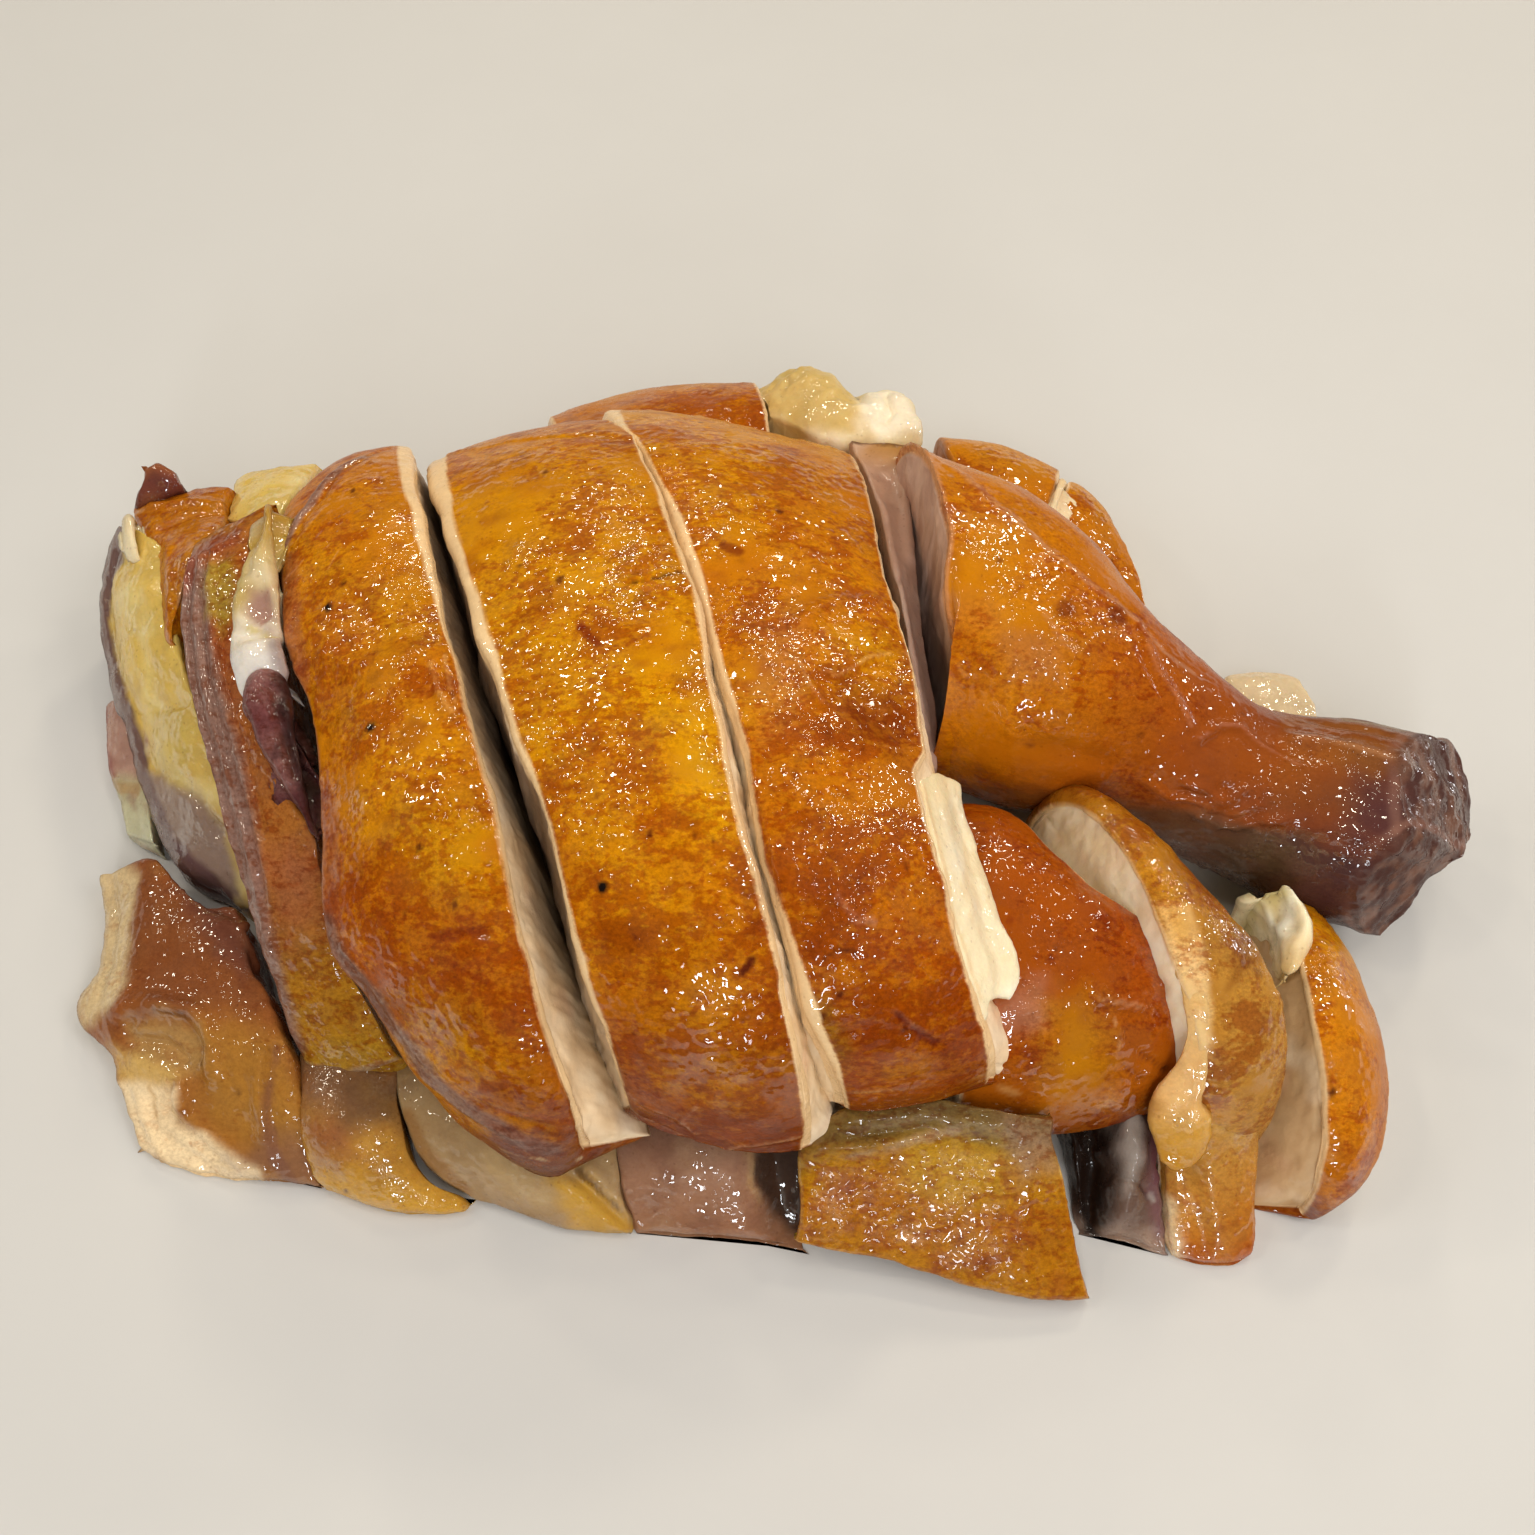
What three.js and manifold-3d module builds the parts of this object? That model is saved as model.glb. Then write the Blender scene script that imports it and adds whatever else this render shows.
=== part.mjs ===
// Soy sauce chicken: half a braised bird, chopped through and laid back in its
// own shape as a low heap of slices with the drumstick whole beside them.
// Millimetres, +Z up, +X along the heap from the shoulder to the ankle of the
// drumstick, -Y the side where the long breast slices come down.
import * as THREE from "three";
import Module from "manifold-3d";

// ---------------------------------------------------------------- sizes ----
const CENTRE_X = -4.4; // heap centre in the layout frame, moved to the origin
const CENTRE_Y = 20.1;
const GAP = 0.35; // air left between pieces that lie against each other
const TUBE_SIDES = 20; // sides of the drumstick's section
const TUBE_STEPS = 18; // steps along the drumstick

const AMBER = { color: 0xb96a10, roughness: 0.28 }; // lacquered breast skin
const RUSSET = { color: 0x8e3f12, roughness: 0.26 }; // darker leg skin
const HONEY = { color: 0xc07f22, roughness: 0.3 }; // thin pale skin
const FAT = { color: 0xd9b25a, roughness: 0.35 }; // yellow fat
const MEAT = { color: 0xd8b58c, roughness: 0.5 }; // cut white meat
const DARK_MEAT = { color: 0x8a5a48, roughness: 0.5 }; // cut dark meat
const BONE = { color: 0x4a3030, roughness: 0.55 }; // bone end with marrow

// Each slice is a block lofted between its two cut edges. An edge is an arch
// from its far foot to its near foot: it rises by `rise`, leans sideways by
// `bow` at the middle and swings by `sway` either way of it. `full` is how
// square the arch is towards the far and near end, `crown` how far the skin
// bulges between the two edges (upwards, at the near end, at the far end), and
// `foot` the underside: its height far / middle / near and how far it spreads
// past the left and right edge at the far and the near end.
const arc = (far, near, rise = 0, bow = 0, sway = 0) => ({
  far,
  near,
  rise,
  bow,
  sway,
});
const foot = (z, left = [0, 0], right = [0, 0]) => ({ z, left, right });

const SLICES = [
  {
    name: "breast_slice_2",
    look: AMBER,
    left: arc([-56.4, 72, 8], [-19.5, -38.1, 21.7], 37, -2.3, -0.5),
    right: arc([-33.1, 78, 8], [3.7, -42, 19.2], 43, 3, 1.1),
    full: [2.5, 2.2],
    crown: [2, 2.5, 1],
    foot: foot([0, 0, 15], [0, 0], [1, 4]),
    grid: [6, 16],
  },
  {
    name: "breast_slice_3",
    look: AMBER,
    left: arc([-25.5, 81, 13], [8.4, -38, 22.4], 37, -2.0, 1.4),
    right: arc([10.5, 72, 13.5], [27.4, -34, 22.7], 32, -2, 1.6),
    full: [2.5, 2.2],
    crown: [2, 1.5, 1.5],
    foot: foot([0, 0, 18], [0, 0], [0, 14]),
    grid: [6, 16],
  },
  {
    name: "breast_slice_1",
    look: AMBER,
    left: arc([-70.3, 66, 18], [-36.6, -38.5, 8.3], 28, -13.9, 3.0),
    right: arc([-59.9, 76, 8], [-25.2, -41.8, 18.5], 37.6, -1.5, -0.2),
    full: [2.5, 2.2],
    crown: [3, 4, 2],
    foot: foot([0, 0, 13], [2, 0], [2, 7]),
    grid: [6, 16],
  },
  { name: "drumstick", look: RUSSET, limb: true },
  {
    name: "thigh_slice_2",
    look: HONEY,
    left: arc([37.5, 7.5, 16.2], [54.4, -38.7, 7.1], 21.7, 4.1, 0.2),
    right: arc([42.1, 12, 10.9], [66, -38.1, 3.4], 22.9, 6.2, -2.2),
    full: [2.2, 2.4],
    crown: [2, 2, 2],
    foot: foot([0, 0, 0], [-5, 0], [0, 0]),
    grid: [4, 12],
    // the thin end of the slice, turned down on to the surface
    tail: {
      left: arc([54.7, -34.3, 8], [54, -51.8, 3], 3),
      right: arc([66.8, -34.3, 8], [65.7, -52.2, 2], 4),
      full: [2.4, 3],
      crown: [1, 1, 1],
      foot: foot([0, 0, 0]),
      grid: [3, 6],
    },
  },
  {
    name: "thigh_slice_1",
    look: RUSSET,
    left: arc([22.5, 4.6, 21.3], [26.6, -37, 9], 18.5, 4.8, 0.6),
    right: arc([30.9, 3.3, 24.8], [53.6, -33.4, 13.9], 10.5, 4.9, -1.6),
    full: [2.2, 2.4],
    crown: [2, 2, 2],
    foot: foot([0, 0, 9]),
    grid: [5, 12],
  },
  {
    name: "thigh_slice_3",
    look: AMBER,
    left: arc([71.8, -2.3, 7.4], [66.6, -44.6, 2], 16.2, 3, -0.2),
    right: arc([77.7, -3.1, 5.6], [75.5, -43.5, 2], 9, 7.7, -0.6),
    full: [2.2, 2.4],
    crown: [3, 2, 2],
    foot: foot([0, 0, 0], [-3, 0], [1.5, 1]),
    grid: [4, 12],
  },
  {
    name: "wing_slice",
    look: RUSSET,
    left: arc([-88.5, 55.9, 19.9], [-62.8, -29.7, 5.6], 19.5, -5.5, -1),
    right: arc([-79.3, 54.2, 27.4], [-53, -26.9, 12.5], 15.2, 0, 0.3),
    full: [2.5, 2.2],
    crown: [1.5, 1.5, 1.5],
    foot: foot([0, 0, 5], [1, 1], [2, 2]),
    grid: [4, 14],
  },
  {
    name: "skin_flap",
    look: HONEY,
    left: arc([3.2, -38.6, 17], [2.7, -50.8, 8], 1.5),
    right: arc([35.1, -36.9, 18], [42.4, -57.8, 5], 2),
    full: [2.4, 3],
    crown: [1, 1, 1],
    foot: foot([8, 3, 0]),
    grid: [6, 6],
  },
  {
    name: "shoulder_top",
    look: AMBER,
    left: arc([-105.2, 64.8, 22], [-94.9, 42.4, 26], 4),
    right: arc([-88.9, 65.2, 24], [-86.5, 44.5, 32], 3),
    full: [2.4, 2.4],
    crown: [1, 1, 1],
    foot: foot([8, 8, 8]),
    grid: [3, 6],
  },
  {
    name: "neck_fat",
    look: FAT,
    left: arc([-90.8, 69.3, 20], [-88.3, 58.9, 24], 4),
    right: arc([-76.7, 71.4, 22], [-78.9, 56.6, 28], 4),
    full: [2.4, 2.4],
    crown: [1, 2, 2],
    foot: foot([0, 0, 0]),
    grid: [4, 6],
  },
  {
    name: "shoulder_cut",
    look: FAT,
    left: arc([-108.4, 66, 12], [-94, 6.2, 3.7], 10.5, -1.4, -1.3),
    right: arc([-89, 52.6, 18.5], [-77.4, -2.5, 7.8], 14, -4.1, -0.5),
    full: [2.4, 2.4],
    crown: [1, 1, 1],
    foot: foot([0, 0, 0]),
    grid: [4, 12],
  },
  {
    name: "shoulder_low",
    look: RUSSET,
    left: arc([-98, 3.3, 6], [-89, -36, 2], 4.5, -4.5, 1.8),
    right: arc([-78.7, -4.6, 12], [-65.6, -41.9, 2], 9.5, 4.1, -0.7),
    full: [2.3, 2.5],
    crown: [2, 2, 2],
    foot: foot([0, 0, 0]),
    grid: [5, 10],
  },
  {
    name: "fat_fold",
    look: FAT,
    left: arc([-67.1, -28.7, 6], [-62.2, -43.5, 2], 3.3, -1.2),
    right: arc([-53.4, -27.7, 6], [-42.4, -46.2, 2], 4.2, -3.6),
    full: [2.2, 2.4],
    crown: [2, 2, 2],
    foot: foot([0, 0, 0]),
    grid: [4, 8],
  },
  {
    name: "under_slice_1",
    look: MEAT,
    left: arc([-54.6, -24.7, 6], [-48.2, -41.9, 3], 8),
    right: arc([-24.8, -28.4, 8], [-19.8, -48.3, 2], 10),
    full: [2.2, 2.4],
    crown: [1, 2, 2],
    foot: foot([0, 0, 0]),
    grid: [5, 8],
  },
  {
    name: "under_slice_2",
    look: DARK_MEAT,
    left: arc([-20.2, -29.9, 8], [-19.3, -48.7, 2], 9),
    right: arc([-4.3, -29.2, 6], [2.8, -50.1, 2], 8),
    full: [2.2, 2.4],
    crown: [1, 1, 1],
    foot: foot([0, 0, 0]),
    grid: [4, 8],
  },
  {
    name: "rib_bone",
    look: BONE,
    left: arc([41.1, -34.3, 6], [43.3, -49, 2], 4),
    right: arc([53, -32.8, 8], [53.4, -51.3, 2], 8),
    full: [2.4, 2.4],
    crown: [1, 1, 1],
    foot: foot([0, 0, 0]),
    grid: [3, 6],
  },
  {
    name: "back_slice",
    look: AMBER,
    left: arc([-41, 92, 6], [-33, 66, 22], 12),
    right: arc([-4, 97, 8], [0, 70, 22], 14),
    full: [2.2, 2.4],
    crown: [1, 3, 3],
    foot: foot([0, 0, 0]),
    grid: [5, 8],
  },
  {
    name: "back_chunk",
    look: FAT,
    left: arc([-2, 98, 8], [2, 76, 20], 13),
    right: arc([24, 90, 6], [22, 68, 18], 14),
    full: [2.2, 2.4],
    crown: [1, 2, 2],
    foot: foot([0, 0, 0]),
    grid: [5, 8],
  },
  {
    name: "thigh_back_1",
    look: RUSSET,
    left: arc([28.4, 89.9, 8], [32.3, 65.6, 12], 8),
    right: arc([51, 83.7, 6], [45, 65.5, 10], 7),
    full: [2.2, 2.4],
    crown: [1, 2, 2],
    foot: foot([0, 0, 0]),
    grid: [4, 8],
  },
  {
    name: "thigh_back_2",
    look: RUSSET,
    left: arc([52.6, 80.9, 6], [46.3, 65.5, 10], 7),
    right: arc([57.4, 76.6, 4], [63.4, 50.6, 4], 6),
    full: [2.2, 2.4],
    crown: [1, 2, 2],
    foot: foot([0, 0, 0]),
    grid: [4, 8],
  },
  {
    name: "rib_scrap",
    look: MEAT,
    left: arc([74.4, 42.4, 4], [76, 25, 4], 3),
    right: arc([87, 42.4, 4], [89.9, 24, 3], 3),
    full: [2.4, 2.4],
    crown: [1, 1, 1],
    foot: foot([0, 0, 0]),
    grid: [3, 6],
  },
  {
    name: "side_scrap",
    look: DARK_MEAT,
    left: arc([-110.4, 37.5, 3], [-103, 11.9, 2], 3),
    right: arc([-101, 37.8, 5], [-94, 11, 3], 3),
    full: [2.4, 2.4],
    crown: [1, 1, 1],
    foot: foot([0, 0, 0]),
    grid: [3, 6],
  },
];

// The drumstick: centre, half width and half height at stations from the cut
// through the thigh, past the slim shank, to the knuckle at the ankle.
const LEG = {
  stations: [
    { at: [23.3, 42.2, 25], wide: 25, high: 23 },
    { at: [30.6, 36.5, 25], wide: 23, high: 22 },
    { at: [40.7, 27.4, 24], wide: 19, high: 20 },
    { at: [54.7, 20.4, 21], wide: 13.5, high: 16 },
    { at: [68, 14, 18], wide: 12, high: 13 },
    { at: [81.3, 10, 16], wide: 15, high: 14 },
    { at: [92.4, 7.6, 15], wide: 15, high: 14 },
    { at: [99.5, 6.5, 14], wide: 10, high: 9 },
  ],
  square: 2.2, // 2 is an ellipse, more is squarer
  cutRun: [-0.19, 1], // plan direction of the cut through the thigh
  cutLean: 0.05, // how far the top of that cut leans along the leg
};

// ------------------------------------------------------------ functions ----
const lerp = (a, b, t) => a + (b - a) * t;
const mix = (p, q, t) => p.map((v, i) => lerp(v, q[i], t));
const smooth = (x) => {
  const t = Math.min(1, Math.max(0, x));
  return t * t * (3 - 2 * t);
};
const unit = (v) => {
  const l = Math.hypot(...v);
  return v.map((c) => c / l);
};

// Point of an arched edge at s, 0 at the far foot and 1 at the near foot, with
// how far along its chord that point stands.
function archPoint(edge, s, full) {
  const n = s < 0.5 ? full[0] : full[1];
  const co = Math.cos(Math.PI * s),
    si = Math.max(0, Math.sin(Math.PI * s));
  const along = 0.5 - 0.5 * Math.sign(co) * Math.abs(co) ** (2 / n);
  const up = si ** (2 / n);
  const p = mix(edge.far, edge.near, along);
  const d = unit([edge.near[0] - edge.far[0], edge.near[1] - edge.far[1]]);
  let side = [-d[1], d[0]];
  if (side[0] < 0) side = side.map((c) => -c);
  const off = edge.bow * up + edge.sway * Math.sin(2 * Math.PI * along);
  return {
    p: [p[0] + side[0] * off, p[1] + side[1] * off, p[2] + edge.rise * up],
    along,
  };
}

// Closed block between two arched edges: a crowned top, ruled cut faces and an
// underside that follows `foot`.
function slab(spec) {
  const [nu, ns] = spec.grid;
  const inset = 0.03;
  const { left, right, full, crown } = spec;
  const d = unit([
    left.near[0] + right.near[0] - left.far[0] - right.far[0],
    left.near[1] + right.near[1] - left.far[1] - right.far[1],
  ]);
  const [zFar, zMid, zNear] = spec.foot.z;
  const footHeight = (c) =>
    c < 0.5
      ? lerp(zMid, zFar, smooth(1 - 2 * c))
      : lerp(zMid, zNear, smooth(2 * c - 1));
  const footPoint = (edge, along, spread) => {
    const c = inset + along * (1 - 2 * inset);
    const p = mix(edge.far, edge.near, c);
    return [p[0] + lerp(spread[0], spread[1], c), p[1], c];
  };
  const top = [],
    base = [];
  for (let i = 0; i <= nu; i++) {
    const u = i / nu,
      bulge = 1 - (2 * u - 1) ** 2;
    for (let j = 0; j <= ns; j++) {
      const s = j / ns;
      const l = archPoint(left, s, full),
        r = archPoint(right, s, full);
      const co = Math.cos(Math.PI * s),
        si = Math.sin(Math.PI * s);
      const reach = -co * (co > 0 ? crown[2] : crown[1]) * bulge;
      const t = mix(l.p, r.p, u);
      top.push([
        t[0] + d[0] * reach,
        t[1] + d[1] * reach,
        t[2] + si * crown[0] * bulge,
      ]);
      const fl = footPoint(left, l.along, spec.foot.left),
        fr = footPoint(right, r.along, spec.foot.right);
      const b = mix(fl, fr, u);
      base.push([
        b[0] + d[0] * reach * 0.85,
        b[1] + d[1] * reach * 0.85,
        footHeight(b[2]),
      ]);
    }
  }
  const points = [...top, ...base];
  const T = (i, j) => i * (ns + 1) + j;
  const B = (i, j) => top.length + T(i, j);
  const tris = [];
  const quad = (a, b, c, e) => tris.push([a, b, c], [a, c, e]);
  for (let i = 0; i < nu; i++)
    for (let j = 0; j < ns; j++) {
      quad(T(i, j), T(i, j + 1), T(i + 1, j + 1), T(i + 1, j));
      quad(B(i, j), B(i + 1, j), B(i + 1, j + 1), B(i, j + 1));
    }
  for (let j = 0; j < ns; j++) {
    quad(T(0, j), B(0, j), B(0, j + 1), T(0, j + 1));
    quad(T(nu, j), T(nu, j + 1), B(nu, j + 1), B(nu, j));
  }
  for (let i = 0; i < nu; i++) {
    quad(T(i, 0), T(i + 1, 0), B(i + 1, 0), B(i, 0));
    quad(T(i, ns), B(i, ns), B(i + 1, ns), T(i + 1, ns));
  }
  return { points, tris };
}

// Closed limb along the stations of LEG, flat-capped where it is cut and where
// it rests on the surface.
function limb(leg) {
  const st = leg.stations.map((s) => [...s.at, s.wide, s.high]);
  const m = st.length;
  const ends = [
    st[0].map((v, k) => 2 * v - st[1][k]),
    ...st,
    st[m - 1].map((v, k) => 2 * v - st[m - 2][k]),
  ];
  const at = (t) => {
    const i = Math.min(m - 2, Math.floor(t)),
      f = t - i;
    return st[0].map((_, k) => {
      const [a, b, c, e] = [0, 1, 2, 3].map((q) => ends[i + q][k]);
      return (
        0.5 *
        (2 * b +
          (c - a) * f +
          (2 * a - 5 * b + 4 * c - e) * f * f +
          (3 * b - a - 3 * c + e) * f ** 3)
      );
    });
  };
  const cut = unit([-leg.cutRun[0], -leg.cutRun[1], 0]);
  const points = [];
  for (let j = 0; j <= TUBE_STEPS; j++) {
    const t = (j / TUBE_STEPS) * (m - 1);
    const q = at(t);
    const a = at(Math.max(0, t - 0.2)),
      b = at(Math.min(m - 1, t + 0.2));
    const dir = unit([b[0] - a[0], b[1] - a[1], b[2] - a[2]]);
    const w = smooth(1 - t / 2);
    let side = unit([dir[1], -dir[0], 0]);
    side = unit(side.map((v, k) => lerp(v, cut[k], w)));
    let up = new THREE.Vector3(...side)
      .cross(new THREE.Vector3(...dir))
      .toArray();
    up = unit([up[0] + leg.cutLean * w, up[1], up[2]]);
    for (let k = 0; k < TUBE_SIDES; k++) {
      const g = (2 * Math.PI * k) / TUBE_SIDES;
      const ca = Math.sign(Math.cos(g)) * Math.abs(Math.cos(g)) ** (2 / leg.square);
      const sa = Math.sign(Math.sin(g)) * Math.abs(Math.sin(g)) ** (2 / leg.square);
      points.push([
        q[0] + side[0] * q[3] * ca + up[0] * q[4] * sa,
        q[1] + side[1] * q[3] * ca + up[1] * q[4] * sa,
        Math.max(0, q[2] + side[2] * q[3] * ca + up[2] * q[4] * sa),
      ]);
    }
  }
  const tris = [];
  const V = (j, k) => j * TUBE_SIDES + (k % TUBE_SIDES);
  for (let j = 0; j < TUBE_STEPS; j++)
    for (let k = 0; k < TUBE_SIDES; k++)
      tris.push(
        [V(j, k), V(j + 1, k + 1), V(j, k + 1)],
        [V(j, k), V(j + 1, k), V(j + 1, k + 1)],
      );
  for (const [j, flip] of [
    [0, 1],
    [TUBE_STEPS, 0],
  ]) {
    const c = points.length;
    points.push(
      [0, 1, 2].map((x) => {
        let sum = 0;
        for (let k = 0; k < TUBE_SIDES; k++) sum += points[V(j, k)][x];
        return sum / TUBE_SIDES;
      }),
    );
    for (let k = 0; k < TUBE_SIDES; k++)
      tris.push(flip ? [c, V(j, k), V(j, k + 1)] : [c, V(j, k + 1), V(j, k)]);
  }
  return { points, tris };
}

// The same closed form with every point moved outwards by `d`.
function grown({ points, tris }, d) {
  const normals = points.map(() => new THREE.Vector3());
  const v = points.map((p) => new THREE.Vector3(...p));
  for (const [a, b, c] of tris) {
    const n = new THREE.Vector3()
      .subVectors(v[b], v[a])
      .cross(new THREE.Vector3().subVectors(v[c], v[a]));
    for (const k of [a, b, c]) normals[k].add(n);
  }
  return {
    tris,
    points: points.map((p, k) => {
      const n = normals[k].lengthSq() > 0 ? normals[k].normalize() : normals[k];
      return [p[0] + n.x * d, p[1] + n.y * d, p[2] + n.z * d];
    }),
  };
}

const wasm = await Module();
wasm.setup();

function solid({ points, tris }) {
  const m = new wasm.Manifold(
    new wasm.Mesh({
      numProp: 3,
      vertProperties: new Float32Array(points.flat()),
      triVerts: new Uint32Array(tris.flat()),
    }),
  );
  return m;
}

const largest = (m) =>
  m.decompose().reduce((a, b) => (b.volume() > a.volume() ? b : a));

function meshOf(m, name, look) {
  const g = m.getMesh();
  const pos = new Float32Array((g.vertProperties.length / g.numProp) * 3);
  for (let i = 0; i < pos.length / 3; i++)
    for (let k = 0; k < 3; k++)
      pos[3 * i + k] = g.vertProperties[g.numProp * i + k];
  const geometry = new THREE.BufferGeometry();
  geometry.setAttribute("position", new THREE.BufferAttribute(pos, 3));
  geometry.setIndex(new THREE.BufferAttribute(new Uint32Array(g.triVerts), 1));
  geometry.computeVertexNormals();
  const mesh = new THREE.Mesh(
    geometry,
    new THREE.MeshStandardMaterial({ ...look, metalness: 0 }),
  );
  mesh.name = name;
  return mesh;
}

// -------------------------------------------------------------- the heap ----
// Pieces are listed from the ones that keep their whole form to the ones that
// are pressed in round them: each later piece is cut back by the earlier ones.
const heap = new THREE.Group();
heap.name = "soy_sauce_chicken";
const placed = [];
for (const spec of SLICES) {
  const forms = spec.limb
    ? [limb(LEG)]
    : [slab(spec), ...(spec.tail ? [slab(spec.tail)] : [])];
  let body = forms.map(solid).reduce((a, b) => a.add(b));
  for (const other of placed) body = body.subtract(other);
  body = largest(body);
  placed.push(
    forms
      .flatMap((f) => [solid(f), solid(grown(f, GAP))])
      .reduce((a, b) => a.add(b)),
  );
  const mesh = meshOf(body, spec.name, spec.look);
  mesh.position.set(-CENTRE_X, -CENTRE_Y, 0);
  heap.add(mesh);
}

export default heap;
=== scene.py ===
# Soy sauce chicken: the looks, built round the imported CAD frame.
# Lengths are worked out in millimetres in the layout frame of the heap and
# turned into metres in the part's frame at the end.
import math

import numpy as np

import bpy
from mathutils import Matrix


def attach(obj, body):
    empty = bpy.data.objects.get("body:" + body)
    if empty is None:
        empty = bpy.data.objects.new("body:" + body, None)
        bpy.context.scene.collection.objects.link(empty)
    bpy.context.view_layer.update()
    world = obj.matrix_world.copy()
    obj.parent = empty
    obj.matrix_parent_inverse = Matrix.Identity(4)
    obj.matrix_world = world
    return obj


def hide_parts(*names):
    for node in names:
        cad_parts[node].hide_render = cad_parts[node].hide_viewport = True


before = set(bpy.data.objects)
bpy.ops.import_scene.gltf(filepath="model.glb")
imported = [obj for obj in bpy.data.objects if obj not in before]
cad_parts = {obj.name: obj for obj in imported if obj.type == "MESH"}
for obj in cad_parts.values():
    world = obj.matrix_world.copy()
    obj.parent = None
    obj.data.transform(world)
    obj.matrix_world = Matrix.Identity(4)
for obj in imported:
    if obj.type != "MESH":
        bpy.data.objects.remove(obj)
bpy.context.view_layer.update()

SHIFT = np.array([4.4, -20.1, 0.0])  # layout frame to part frame, mm
FINE = 1.0

# ------------------------------------------------------------------ noise ----
_r = np.random.RandomState(11)
PERM = _r.permutation(256).astype(np.int32)
PERM = np.concatenate([PERM, PERM, PERM])
GRAD = _r.normal(size=(256, 3))
GRAD = (GRAD / np.linalg.norm(GRAD, axis=1)[:, None]).astype(np.float32)
JIT = _r.random_sample((256, 3)).astype(np.float32)
OFFS = np.array([17.31, 5.77, 41.13])


def _noise_chunk(q):
    i = np.floor(q).astype(np.int32)
    f = (q - i).astype(np.float32)
    i &= 255
    w = f * f * f * (f * (f * 6 - 15) + 10)
    out = 0
    for dx in (0, 1):
        wx = w[:, 0] if dx else 1 - w[:, 0]
        hx = PERM[i[:, 0] + dx]
        for dy in (0, 1):
            wy = w[:, 1] if dy else 1 - w[:, 1]
            hy = PERM[hx + i[:, 1] + dy]
            for dz in (0, 1):
                wz = w[:, 2] if dz else 1 - w[:, 2]
                g = GRAD[PERM[hy + i[:, 2] + dz]]
                d = (
                    g[:, 0] * (f[:, 0] - dx)
                    + g[:, 1] * (f[:, 1] - dy)
                    + g[:, 2] * (f[:, 2] - dz)
                )
                out = out + wx * wy * wz * d
    return out * 1.5


def noise(p, size, seed=0):
    """Gradient noise of wavelength size (a number or three, mm), about -1 to 1."""
    q = p / np.asarray(size, float) + seed * OFFS
    out = np.empty(len(q), np.float32)
    for a in range(0, len(q), 200000):
        out[a : a + 200000] = _noise_chunk(q[a : a + 200000])
    return out


def fbm(p, size, octaves=3, seed=0, gain=0.5):
    total, amp, norm = 0, 1.0, 0
    for k in range(octaves):
        total = total + amp * noise(p, np.asarray(size, float) / 2**k, seed + 7 * k)
        norm += amp
        amp *= gain
    return total / norm * 1.25


def cells(p, size, seed=0):
    """Distance to the nearest of scattered points about size mm apart (in units of size), and a number of that point."""
    q = p / np.asarray(size, float) + seed * OFFS
    dist = np.empty(len(q), np.float32)
    ident = np.empty(len(q), np.float32)
    for a in range(0, len(q), 200000):
        c = q[a : a + 200000]
        i = np.floor(c).astype(np.int32)
        f = (c - i).astype(np.float32)
        i &= 255
        best = np.full(len(c), 9.0, np.float32)
        who = np.zeros(len(c), np.int32)
        for dx in (-1, 0, 1):
            hx = PERM[(i[:, 0] + dx) & 255]
            for dy in (-1, 0, 1):
                hy = PERM[(hx + i[:, 1] + dy) & 255]
                for dz in (-1, 0, 1):
                    h = PERM[(hy + i[:, 2] + dz) & 255]
                    j = JIT[h]
                    d = (
                        (j[:, 0] + dx - f[:, 0]) ** 2
                        + (j[:, 1] + dy - f[:, 1]) ** 2
                        + (j[:, 2] + dz - f[:, 2]) ** 2
                    )
                    m = d < best
                    best[m] = d[m]
                    who[m] = h[m]
        dist[a : a + 200000] = np.sqrt(best)
        ident[a : a + 200000] = who / 255.0
    return dist, ident


def sstep(a, b, x):
    t = np.clip((np.asarray(x, float) - a) / (b - a), 0, 1)
    return t * t * (3 - 2 * t)


def lin(hexa):
    v = np.array([int(hexa[i : i + 2], 16) for i in (0, 2, 4)], float) / 255
    return np.where(v <= 0.04045, v / 12.92, ((v + 0.055) / 1.055) ** 2.4)


def ramp(x, stops):
    """Colour along x from [(x, linear rgb), ...]."""
    xs = [s[0] for s in stops]
    cs = np.array([s[1] for s in stops])
    return np.stack([np.interp(x, xs, cs[:, k]) for k in range(3)], 1)


def blend(a, b, t):
    t = np.asarray(t)[:, None]
    return a * (1 - t) + b * t


# -------------------------------------------------------- slices, as in CAD ----
def arc(far, near, rise=0, bow=0, sway=0, shift=None):
    return dict(far=np.array(far, float), near=np.array(near, float), rise=rise, bow=bow, sway=sway, shift=shift)


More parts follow.
